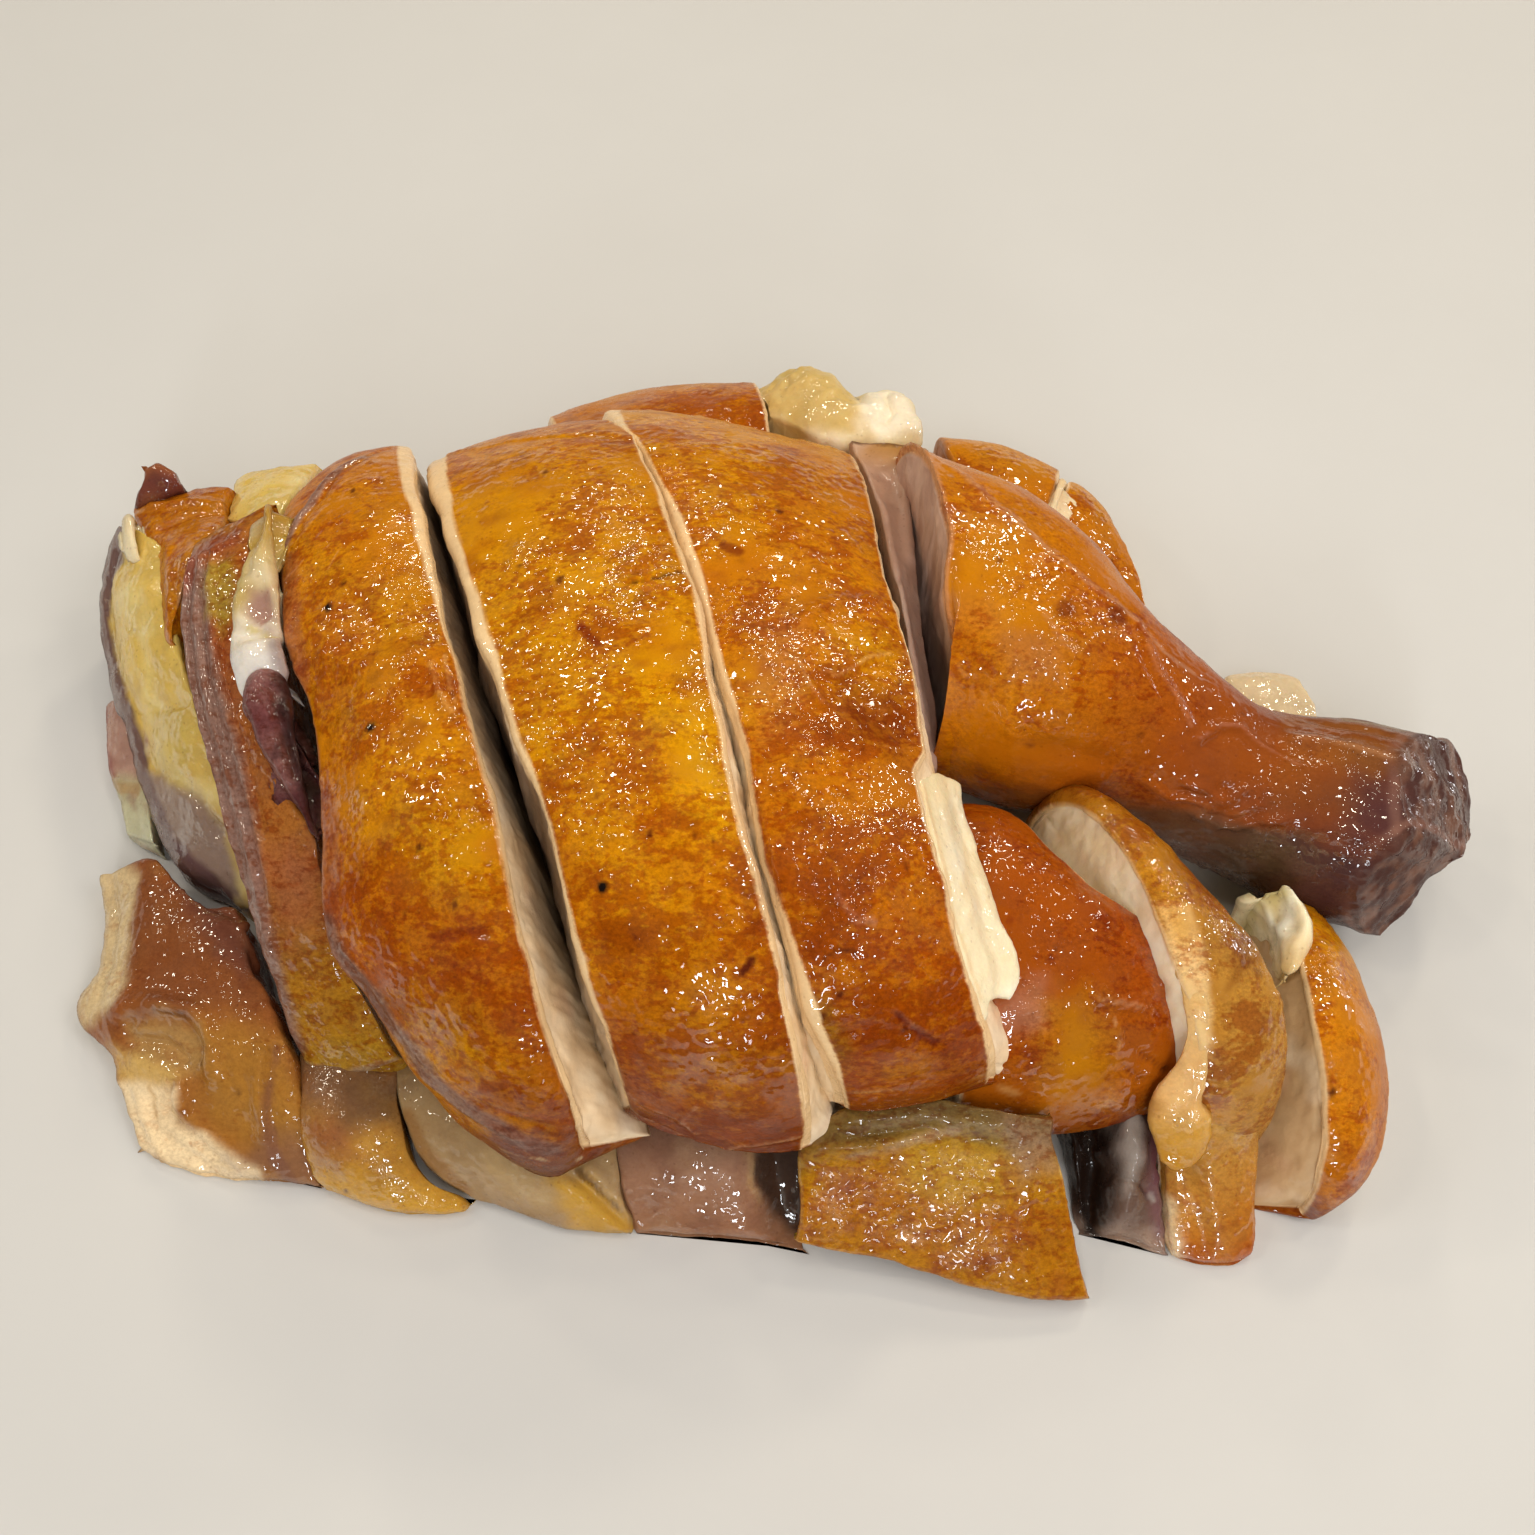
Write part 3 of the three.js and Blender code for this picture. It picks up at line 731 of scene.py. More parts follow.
def noise_tex(tree, coords, size_mm, detail=3.0, rough=0.55, stretch=None, distort=0.0):
    vec = coords
    if stretch is not None:
        m = tree.nodes.new("ShaderNodeMapping")
        m.inputs["Scale"].default_value = stretch
        tree.links.new(coords, m.inputs[0])
        vec = m.outputs[0]
    n = tree.nodes.new("ShaderNodeTexNoise")
    n.inputs["Scale"].default_value = 1000.0 / size_mm
    n.inputs["Detail"].default_value = detail
    n.inputs["Roughness"].default_value = rough
    n.inputs["Distortion"].default_value = distort
    tree.links.new(vec, n.inputs["Vector"])
    return n.outputs["Fac"]


def cell_tex(tree, coords, size_mm, feature="F1", random=1.0):
    n = tree.nodes.new("ShaderNodeTexVoronoi")
    n.feature = feature
    n.inputs["Scale"].default_value = 1000.0 / size_mm
    n.inputs["Randomness"].default_value = random
    tree.links.new(coords, n.inputs["Vector"])
    return n


def food_material(
    name,
    coat=0.6,
    coat_rough=0.07,
    sss=0.12,
    sss_radius=(1.0, 0.42, 0.16),
    sss_scale=0.0025,
    grain=1.0,
    ior=1.42,
    spec=0.13,
    tint=(1.0, 0.62, 0.30),
):
    """Glazed skin and cut meat in one: attributes say which is which, nodes give the fine speckle, gloss and grain."""
    mat = bpy.data.materials.new(name)
    mat.use_nodes = True
    t = mat.node_tree
    t.nodes.clear()
    out = node(t, "ShaderNodeOutputMaterial", 900, 0)
    bsdf = node(t, "ShaderNodeBsdfPrincipled", 500, 0)
    t.links.new(bsdf.outputs[0], out.inputs["Surface"])
    tc = node(t, "ShaderNodeTexCoord", -1400, 0)
    co = tc.outputs["Object"]
    col = attribute(t, "Col").outputs["Color"]
    skin = attribute(t, "Skin").outputs["Fac"]
    mott = attribute(t, "Mott").outputs["Fac"]
    rough = attribute(t, "Rough").outputs["Fac"]
    wet = attribute(t, "Wet").outputs["Fac"]
    gr = attribute(t, "Grain").outputs["Fac"]
    # reticulated darker mottle of the braise on the skin: fine grains inside broader stains
    m1 = noise_tex(t, co, 2.6, 5.0, 0.68, (0.65, 1.0, 1.0), 0.7)
    m2 = noise_tex(t, co, 0.85, 2.0, 0.6, (0.7, 1.0, 1.0))
    m = math_node(t, "ADD", math_node(t, "MULTIPLY", m1, 0.58), math_node(t, "MULTIPLY", m2, 0.42))
    cover = math_node(t, "SUBTRACT", 0.59, math_node(t, "MULTIPLY", mott, 0.17))
    d = math_node(t, "SUBTRACT", m, cover)
    patch = map_range(t, d, -0.05, 0.08)
    patch = math_node(t, "MULTIPLY", patch, skin)
    patch = math_node(t, "MULTIPLY", patch, map_range(t, mott, 0.0, 0.35, 0.0, 1.0))
    dark = mix_rgb(t, "MULTIPLY", 1.0, col, (0.66, 0.40, 0.26))
    c = mix_rgb(t, "MIX", math_node(t, "MULTIPLY", patch, 0.85), col, dark)
    # fine grain of the colour itself
    fine = noise_tex(t, co, 0.50, 3.0, 0.7, (0.8, 1.0, 1.0))
    fm = mix_rgb(t, "MIX", map_range(t, fine, 0.30, 0.70), (0.66, 0.60, 0.56), (1.24, 1.26, 1.20))
    c = mix_rgb(t, "MULTIPLY", math_node(t, "MULTIPLY", skin, map_range(t, mott, 0.02, 0.3, 0.10, 0.62)), c, fm)
    # tiny dark pores
    pores = cell_tex(t, co, 1.15)
    pd = map_range(t, pores.outputs["Distance"], 0.10, 0.24, 1.0, 0.0)
    pick = math_node(t, "GREATER_THAN", noise_tex(t, co, 1.9, 1.0), 0.53)
    pf = math_node(t, "MULTIPLY", math_node(t, "MULTIPLY", pd, pick), skin)
    c = mix_rgb(t, "MIX", math_node(t, "MULTIPLY", pf, 0.30), c, mix_rgb(t, "MULTIPLY", 1.0, c, (0.45, 0.30, 0.25)))
    # slow drift of tone
    tone = noise_tex(t, co, 6.0, 3.0, 0.6)
    c = mix_rgb(t, "MULTIPLY", 0.6, c, mix_rgb(t, "MIX", tone, (0.78, 0.70, 0.62), (1.20, 1.26, 1.30)))
    # meat fibre tone
    fib = noise_tex(t, co, 1.3, 4.0, 0.6, (1.0, 1.0, 0.3))
    mc = mix_rgb(t, "MIX", fib, (0.86, 0.80, 0.74), (1.10, 1.10, 1.10))
    inv = math_node(t, "SUBTRACT", 1.0, skin, True)
    c = mix_rgb(t, "MULTIPLY", math_node(t, "MULTIPLY", inv, 0.8), c, mc)
    t.links.new(c, bsdf.inputs["Base Color"])
    # gloss: drier speckle inside a wet film
    rn = noise_tex(t, co, 1.1, 4.0, 0.65)
    rr = math_node(t, "ADD", rough, math_node(t, "MULTIPLY", math_node(t, "SUBTRACT", rn, 0.5), 0.34))
    rr = math_node(t, "ADD", rr, math_node(t, "MULTIPLY", patch, 0.05))
    rr = math_node(t, "MAXIMUM", rr, 0.08)
    t.links.new(rr, bsdf.inputs["Roughness"])
    film = noise_tex(t, co, 4.5, 3.0, 0.6)
    film = map_range(t, film, 0.40, 0.58, 0.22, 1.0)
    lw = node(t, "ShaderNodeLayerWeight", -200, -900)
    lw.inputs["Blend"].default_value = 0.5
    steep = map_range(t, lw.outputs["Facing"], 0.50, 0.88, 1.0, 0.12)
    film = math_node(t, "MULTIPLY", film, steep)
    t.links.new(math_node(t, "MULTIPLY", math_node(t, "MULTIPLY", film, wet), coat), bsdf.inputs["Coat Weight"])
    bsdf.inputs["Coat Roughness"].default_value = coat_rough
    bsdf.inputs["Coat IOR"].default_value = 2.1
    bsdf.inputs["Specular IOR Level"].default_value = spec
    bsdf.inputs["Specular Tint"].default_value = (*tint, 1)
    bsdf.inputs["IOR"].default_value = ior
    bsdf.inputs["Subsurface Weight"].default_value = sss
    bsdf.inputs["Subsurface Radius"].default_value = sss_radius
    bsdf.inputs["Subsurface Scale"].default_value = sss_scale
    # grain
    b1 = noise_tex(t, co, 0.55, 3.0, 0.6)
    b2 = noise_tex(t, co, 1.8, 3.0, 0.55)
    bh = math_node(t, "ADD", math_node(t, "MULTIPLY", b1, 0.30), math_node(t, "MULTIPLY", b2, 0.85))
    bh = math_node(t, "SUBTRACT", bh, math_node(t, "MULTIPLY", pf, 0.25))
    bump = node(t, "ShaderNodeBump", 200, -400)
    bump.inputs["Distance"].default_value = 0.00035 * grain
    t.links.new(math_node(t, "MULTIPLY", gr, 0.8), bump.inputs["Strength"])
    t.links.new(bh, bump.inputs["Height"])
    t.links.new(bump.outputs[0], bsdf.inputs["Normal"])
    # the film lies smoother than the skin under it: soft beads, with fine ones where it is rough
    bump2 = node(t, "ShaderNodeBump", 200, -700)
    bump2.inputs["Distance"].default_value = 0.00030 * grain
    bump2.inputs["Strength"].default_value = 1.0
    b3 = noise_tex(t, co, 1.2, 0.0, 0.5)
    b5 = noise_tex(t, co, 0.62, 0.0, 0.5)
    rough_share = map_range(t, gr, 0.38, 0.95, 0.05, 0.55)
    t.links.new(math_node(t, "ADD", b3, math_node(t, "MULTIPLY", b5, rough_share)), bump2.inputs["Height"])
    t.links.new(bump2.outputs[0], bsdf.inputs["Coat Normal"])
    return mat


SKIN = food_material("lacquered_skin", coat=1.0, coat_rough=0.06, sss=0.0, sss_radius=(1.0, 0.35, 0.08))
LEGSKIN = food_material("leg_skin", coat=1.0, coat_rough=0.06, sss=0.0, sss_radius=(1.0, 0.35, 0.10))
FATTY = food_material("soft_fat", coat=0.9, coat_rough=0.05, sss=0.22, sss_radius=(1.0, 0.65, 0.3), sss_scale=0.003, spec=0.3, tint=(1.0, 0.9, 0.75))
MEATM = food_material("cut_meat", coat=0.4, coat_rough=0.12, sss=0.2, sss_radius=(1.0, 0.6, 0.4), sss_scale=0.003, spec=0.3, tint=(1.0, 0.9, 0.8))


def make(name, grids, Bp, info, seed, paint, material, **over):
    o = dict(DEFAULT)
    o.update(over)
    o["cut"] = info["cut"]
    pos, quads, polys, v = weld(grids, Bp)
    pos, meat = relief(pos, v, info, seed, o)
    if "reshape" in o:
        pos = o["reshape"](pos, v, info)
    n = normals(pos, quads, polys)
    under = v["tag"] == BASE
    hs = skin_height(pos, n, seed, o)
    hm = meat_height(pos, seed, o)
    h = np.where(under, 0, hs * (1 - meat) + hm * meat)
    h = h + folds(pos, o["folds"])
    low = sstep(0.0, 2.5, pos[:, 2])
    pos = pos + n * (h * low)[:, None]
    pos[:, 2] = np.maximum(pos[:, 2], 0.0)
    n = normals(pos, quads, polys)
    col, mott, rough, wet, grain = paint(pos, n, v, meat, info, seed, o)
    skin = 1 - meat
    ob = build(name, pos, quads, polys, col, skin, mott, rough, wet, grain, material)
    return ob


# --------------------------------------------------------------- colours ----
GOLD = lin("d48f06")
AMBER = lin("c87a08")
ORANGE = lin("b9650a")
RUST = lin("9a4a0b")
BROWN = lin("74380f")
UMBER = lin("4a2410")
CREAM = lin("ffeccc")
IVORY = lin("fff0d6")
PINKISH = lin("e0b08c")
SKINEDGE = lin("f4d2a0")
YELLOW = lin("dcb45c")
DARKMEAT = lin("8c5a44")
PURPLE = lin("6a4346")


def cut_meat(pos, v, seed, white=CREAM, warm=lin("f0cb98"), pink=lin("e6b08c"), shade=0.0):
    f = fbm(pos * [1, 1, 0.4], 5.0, 3, seed + 40)
    c = blend(np.tile(white, (len(pos), 1)), warm, np.clip(0.45 + 0.7 * f, 0, 1))
    c = blend(c, IVORY, 0.5 * sstep(0.1, 0.6, fbm(pos, 9.0, 2, seed + 41)))
    c = blend(c, pink, 0.35 * sstep(0.2, 0.7, fbm(pos, 6.0, 2, seed + 42)))
    c = blend(c, warm, 0.35 * sstep(10, 26, v["dep"]) + shade)
    return c


def skin_rim(c, pos, v, seed, o, edge_left, edge_right, strength=0.9):
    """The pale cut edge of the skin and the flesh under it, seen along the sides of a slice."""
    lr = np.isin(v["tag"], o["cut"])
    wob = 0.22 * noise(pos, 5.0, seed + 50) + 0.08 * noise(pos, 1.2, seed + 51)
    pale = np.zeros(len(pos))
    for k, (e, col, t) in enumerate(((v["el"], edge_left, LEFT), (v["er"], edge_right, RIGHT))):
        if col is None:
            continue
        w = o["rimw"]
        if k in o["strip"]:
            w = np.interp(v["s"], *zip(*o["strip"][k]))
        a = strength * (1 - sstep(-0.25, 0.25, e + wob - w)) * (v["tag"] == TOP)
        a = np.where(lr & (v["tag"] == t), strength, a)
        c = blend(c, col, a)
        pale = np.maximum(pale, a)
    return c, pale


def breast(run, left=SKINEDGE, right=SKINEDGE, meat_white=CREAM, shade=0.0, extra=None, gold=0.6, edge_dark=0.35):
    def f(pos, n, v, meat, info, seed, o):
        s, el, er = v["s"], v["el"], v["er"]
        e = np.minimum(el, er)
        c = ramp(s + 0.05 * fbm(pos, 12.0, 2, seed + 29), run)
        c = blend(c, GOLD, gold * sstep(-0.05, 0.45, fbm(pos, 22.0, 2, seed + 30)))
        q = pos * [0.65, 1, 1]
        c = blend(c, ORANGE, 0.55 * sstep(0.0, 0.5, fbm(q, 8.0, 3, seed + 31)))
        c = blend(c, RUST, 0.55 * sstep(0.15, 0.55, fbm(q, 4.5, 3, seed + 32)))
        c = blend(c, BROWN, 0.30 * sstep(0.28, 0.6, fbm(q, 2.4, 2, seed + 38)))
        c = blend(c, RUST, edge_dark * np.exp(-((er / 2.5) ** 2)))
        mott = np.clip(0.42 + 0.95 * fbm(pos, 11.0, 2, seed + 35) + 0.30 * sstep(0.45, 0.8, s), 0, 1) * o["mottle"]
        if extra is not None:
            c, mott = extra(c, mott, pos, n, v)
        # scattered specks
        d, i = cells(pos, 9.0, seed + 33)
        c = blend(c, UMBER, 0.85 * (i > 0.5) * (1 - sstep(0.02, 0.06, d)))
        d, i = cells(pos, 4.0, seed + 34)
        c = blend(c, lin("6a260a"), 0.65 * (i > 0.5) * (1 - sstep(0.05, 0.13, d)))
        c, pale = skin_rim(c, pos, v, seed, o, left, right)
        mott = mott * (1 - pale)
        mc = cut_meat(pos, v, seed, meat_white, shade=shade)
        if o["wall"] is not None:
            mc = o["wall"](mc, pos, v)
        c = blend(c, mc, meat)
        under = v["tag"] == BASE
        c = np.where(under[:, None], mc, c)
        rough = o["rough"] + 0.10 * fbm(pos, 7.0, 2, seed + 36)
        rough = rough * (1 - meat) + 0.42 * meat
        wet = np.clip(0.52 + 0.8 * fbm(pos, 11.0, 2, seed + 37), 0.2, 1) * (1 - 0.55 * sstep(0.82, 0.95, s)) * (1 - meat) + 0.3 * meat
        sp = wet_field(pos, getattr(extra, "wets", ())) * (1 - meat)
        wet = np.maximum(wet, sp)
        rough = rough - 0.06 * sp
        gl = sstep(0.05, 0.5, fbm(pos, 8.0, 2, seed + 71))
        grain = 0.34 + 0.40 * gl + 0.50 * sp
        return c, mott, rough, wet, grain

    return f


def lean(run, meat_tone=None, shade=0.0, left=SKINEDGE, right=SKINEDGE, extra=None, fleck=RUST, glow=AMBER, wet_min=0.5):
    """Thinner or darker skins, and pieces that are all meat or fat when skin is not asked for."""

    def f(pos, n, v, meat, info, seed, o):
        s = v["s"]
        c = ramp(s + 0.06 * fbm(pos, 9.0, 2, seed + 29), run)
        c = blend(c, glow, 0.5 * sstep(0.0, 0.6, fbm(pos, 12.0, 3, seed + 30)))
        c = blend(c, fleck, 0.5 * sstep(0.1, 0.6, fbm(pos, 6.0, 3, seed + 31)))
        d, i = cells(pos, 7.0, seed + 33)
        c = blend(c, UMBER, 0.6 * (i > 0.6) * (1 - sstep(0.03, 0.08, d)))
        mott = np.clip(0.25 + 0.8 * fbm(pos, 9.0, 2, seed + 35), 0, 1) * o["mottle"]
        if extra is not None:
            c, mott = extra(c, mott, pos, n, v)
        c, pale = skin_rim(c, pos, v, seed, o, left, right)
        mott = mott * (1 - pale)
        mc = cut_meat(pos, v, seed, *(meat_tone or ()), shade=shade)
        c = blend(c, mc, meat)
        c = np.where((v["tag"] == BASE)[:, None], mc, c)
        rough = o["rough"] + 0.10 * fbm(pos, 6.0, 2, seed + 36)
        rough = rough * (1 - meat) + 0.42 * meat
        wet = np.clip(0.65 + 0.6 * fbm(pos, 9.0, 2, seed + 37), wet_min * 0.4, 1) * (1 - meat) + 0.4 * meat
        sp = wet_field(pos, getattr(extra, "wets", ())) * (1 - meat)
        gl = sstep(0.05, 0.5, fbm(pos, 7.0, 2, seed + 71))
        return c, mott, rough - 0.06 * sp, np.maximum(wet, sp), 0.32 + 0.40 * gl + 0.5 * sp

    return f


# ---------------------------------------------------------------- pieces ----
def foot(z, left=(0, 0), right=(0, 0)):
    return dict(z=z, left=left, right=right)


def spec(left, right, full, crown, ft, **more):
    return dict(left=left, right=right, full=full, crown=crown, foot=ft, **more)


S = {
    "breast_slice_2": spec(
        arc([-56.4, 72, 8], [-19.5, -38.1, 21.7], 37, -2.3, -0.5, [0, 0, 0, 0, 0, 0, 0, 1, 1, 1, 1, 2, 3, 3, 3, 3, 3, 4, 6, 7, 7, 6, 6, 7, 8, 8, 7, 6, 5, 3, 0, -2, 1, 4, 5, 6, 5, 4, 4, 6, 9, 11, 12, 11, 10, 8, 6, 5, 3, 2, 0, 1, 2, 5, 6, 7, 7, 5, 4, 3, 3]),
        arc([-33.1, 78, 8], [3.7, -42, 19.2], 43, 3, 1.1, [0, 0, 0, 0, 0, 0, 0, 0, 0, 0, 0, 0, 4, 7, 10, 13, 17, 20, 17, 15, 13, 13, 14, 14, 14, 14, 15, 16, 17, 16, 17, 17, 15, 12, 9, 8, 7, 6, 4, 0, -3, -5, -7, -7, -6, -7, -7, -6, -6, -6, -8, -8, -8, -8, -7, -6, -5, -4, -2, -2, -2]),
        (2.5, 2.2), (2, 2.5, 1), foot([0, 0, 15], (-1, -1), (1, 6)),
    ),
    "breast_slice_3": spec(
        arc([-25.5, 81, 13], [8.4, -38, 22.4], 37, -2.0, 1.4, [0, 0, 0, 0, 0, -5, -11, -17, -23, -29, -35, -37, -38, -38, -36, -33, -28, -21, -18, -16, -15, -13, -11, -9, -7, -5, -4, -3, -1, 0, 1, 1, 1, 1, 1, 1, 5, 8, 10, 11, 11, 8, 4, 0, -3, -4, -4, -5, -6, -9, -12, -17, -20, -20, -15, -11, -7, -3, 1, 1, 1]),
        arc([10.5, 72, 13.5], [27.4, -34, 22.7], 32, -2, 1.6, [0, 0, 0, 0, 1, 2, 3, 5, 6, 7, 7, 4, 3, 1, -1, -2, -3, -3, -4, -5, -5, -5, -5, -6, -6, -6, -5, -3, -2, 1, 4, 6, 8, 10, 10, 10, 10, 10, 10, 7, -11, -11, -11, -11, -10, -9, -6, -7, -9, -11, -10, -8, -5, -2, 1, 5, 7, 7, 7, 7, 7]),
        (2.5, 2.2), (2, 1.5, 1.5), foot([0, 0, 18], (-1, -1), (0, 9)),
    ),
    "breast_slice_1": spec(
        arc([-70.3, 66, 18], [-36.6, -38.5, 8.3], 28, -13.9, 3.0, [0, 1, 2, 3, 5, 6, 8, 13, 19, 21, 17, 10, 7, 3, 2, 2, 2, 1, 0, -1, -2, -3, -3, -3, -1, 5, 11, 19, 26, 32, 37, 39, 41, 41, 41, 39, 35, 31, 26, 21, 15, 11, 7, 5, 7, 13, 16, 16, 15, 12, 9, 6, 6, 5, 2, -1, -3, -3, -6, -8, -8]),
        arc([-59.9, 76, 8], [-25.2, -41.8, 18.5], 37.6, -1.5, -0.2, [0, 0, 0, 0, 0, 1, 3, 4, 5, 6, 8, 9, 10, 10, 11, 11, 11, 10, 10, 10, 11, 12, 12, 12, 12, 12, 12, 12, 11, 9, 8, 8, 10, 8, 6, 6, 7, 9, 9, 9, 10, 8, 6, 6, 4, 2, 2, 1, 2, 0, -2, -3, -2, -1, 0, 1, 2, 3, 4, 4, 4]),
        (2.5, 2.2), (3, 4, 2), foot([0, 0, 13], (2, 0), (2, 9)),
    ),
    "thigh_slice_2": spec(
        arc([37.5, 7.5, 16.2], [54.4, -38.7, 7.1], 21.7, 4.1, 0.2),
        arc([42.1, 12, 10.9], [66, -38.1, 3.4], 22.9, 6.2, -2.2),
        (2.2, 2.4), (2, 2, 2), foot([0, 0, 0], (-5, 0), (0, 0)),
    ),
    "thigh_slice_2_tail": spec(
        arc([54.7, -34.3, 8], [54, -51.8, 3], 3),
        arc([66.8, -34.3, 8], [65.7, -52.2, 2], 4),
        (2.4, 3), (1, 1, 1), foot([0, 0, 0]),
    ),
    "thigh_slice_1": spec(
        arc([19.0, 4.6, 20.3], [22.0, -37, 9.5], 18.0, 4.8, 0.6),
        arc([31.5, 3.6, 24.4], [56.2, -33.0, 12.6], 10.5, 6.6, -1.2, [0, -20, -34, -32, -8, 14, 22, 12, 0]),
        (2.2, 2.4), (2, 2, 2), foot([0, 0, 9]),
    ),
    "thigh_slice_3": spec(
        arc([71.4, -2.3, 7.4], [72.6, -45.0, 2], 17.0, 0.6, -0.2),
        arc([77.7, -3.1, 5.6], [77.0, -44.0, 2], 9, 7.9, -0.6),
        (2.2, 2.4), (3, 2, 2), foot([0, 0, 0], (-4, -7.5), (1.5, 1)),
    ),
    "wing_slice": spec(
        arc([-88.5, 55.9, 19.9], [-62.8, -29.7, 5.6], 19.5, -5.5, -1),
        arc([-79.3, 54.2, 27.4], [-53, -26.9, 12.5], 15.2, 0, 0.3),
        (2.5, 2.2), (1.5, 1.5, 1.5), foot([0, 0, 5], (1, 1), (2, 2)),
    ),
    "skin_flap": spec(
        arc([3.2, -38.6, 17], [2.7, -50.8, 8], 1.5),
        arc([35.1, -36.9, 18], [42.4, -57.8, 5], 2),
        (2.4, 3), (1, 1, 1), foot([8, 3, 0]),
    ),
    "shoulder_top": spec(
        arc([-105.2, 64.8, 22], [-94.9, 42.4, 26], 4),
        arc([-88.9, 65.2, 24], [-86.5, 44.5, 32], 3),
        (2.4, 2.4), (1, 1, 1), foot([8, 8, 8]),
    ),
    "neck_fat": spec(
        arc([-90.8, 69.3, 20], [-88.3, 58.9, 24], 4),
        arc([-76.7, 71.4, 22], [-78.9, 56.6, 28], 4),
        (2.4, 2.4), (1, 2, 2), foot([0, 0, 0]),
    ),
    "shoulder_cut": spec(
        arc([-108.4, 66, 12], [-94, 6.2, 3.7], 10.5, -1.4, -1.3),
        arc([-89, 52.6, 18.5], [-77.4, -2.5, 7.8], 14, -4.1, -0.5),
        (2.4, 2.4), (1, 1, 1), foot([0, 0, 0]),
    ),
    "shoulder_low": spec(
        arc([-98, 3.3, 6], [-89, -36, 2], 4.5, -4.5, 1.8),
        arc([-78.7, -4.6, 12], [-65.6, -41.9, 2], 9.5, 4.1, -0.7),
        (2.3, 2.5), (2, 2, 2), foot([0, 0, 0]),
    ),
    "fat_fold": spec(
        arc([-67.1, -28.7, 6], [-62.2, -43.5, 2], 3.3, -1.2),
        arc([-53.4, -27.7, 6], [-42.4, -46.2, 2], 4.2, -3.6),
        (2.2, 2.4), (2, 2, 2), foot([0, 0, 0]),
    ),
    "under_slice_1": spec(
        arc([-54.6, -24.7, 6], [-48.2, -41.9, 3], 8),
        arc([-24.8, -28.4, 8], [-19.8, -48.3, 2], 10),
        (2.2, 2.4), (1, 2, 2), foot([0, 0, 0]),
    ),
    "under_slice_2": spec(
        arc([-20.2, -29.9, 8], [-19.3, -48.7, 2], 9),
        arc([-4.3, -29.2, 6], [2.8, -50.1, 2], 8),
        (2.2, 2.4), (1, 1, 1), foot([0, 0, 0]),
    ),
    "rib_bone": spec(
        arc([41.1, -34.3, 6], [43.3, -49, 2], 4),
        arc([53, -32.8, 8], [53.4, -51.3, 2], 8),
        (2.4, 2.4), (1, 1, 1), foot([0, 0, 0]),
    ),
    "back_slice": spec(
        arc([-41, 92, 6], [-33, 66, 22], 12),
        arc([-4, 97, 8], [0, 70, 22], 14),
        (2.2, 2.4), (1, 3, 3), foot([0, 0, 0]),
    ),
    "back_chunk": spec(
        arc([-2, 98, 8], [2, 76, 20], 13),
        arc([24, 90, 6], [22, 68, 18], 14),
        (2.2, 2.4), (1, 2, 2), foot([0, 0, 0]),
    ),
    "thigh_back_1": spec(
        arc([28.4, 89.9, 8], [32.3, 65.6, 12], 8),
        arc([51, 83.7, 6], [45, 65.5, 10], 7),
        (2.2, 2.4), (1, 2, 2), foot([0, 0, 0]),
    ),
    "thigh_back_2": spec(
        arc([52.6, 80.9, 6], [46.3, 65.5, 10], 7),
        arc([57.4, 76.6, 4], [63.4, 50.6, 4], 6),
        (2.2, 2.4), (1, 2, 2), foot([0, 0, 0]),
    ),
    "rib_scrap": spec(
        arc([74.4, 42.4, 4], [76, 25, 4], 3),
        arc([87, 42.4, 4], [89.9, 24, 3], 3),
        (2.4, 2.4), (1, 1, 1), foot([0, 0, 0]),
    ),
    "side_scrap": spec(
        arc([-110.4, 37.5, 3], [-103, 11.9, 2], 3),
        arc([-101, 37.8, 5], [-94, 11, 3], 3),
        (2.4, 2.4), (1, 1, 1), foot([0, 0, 0]),
    ),
}

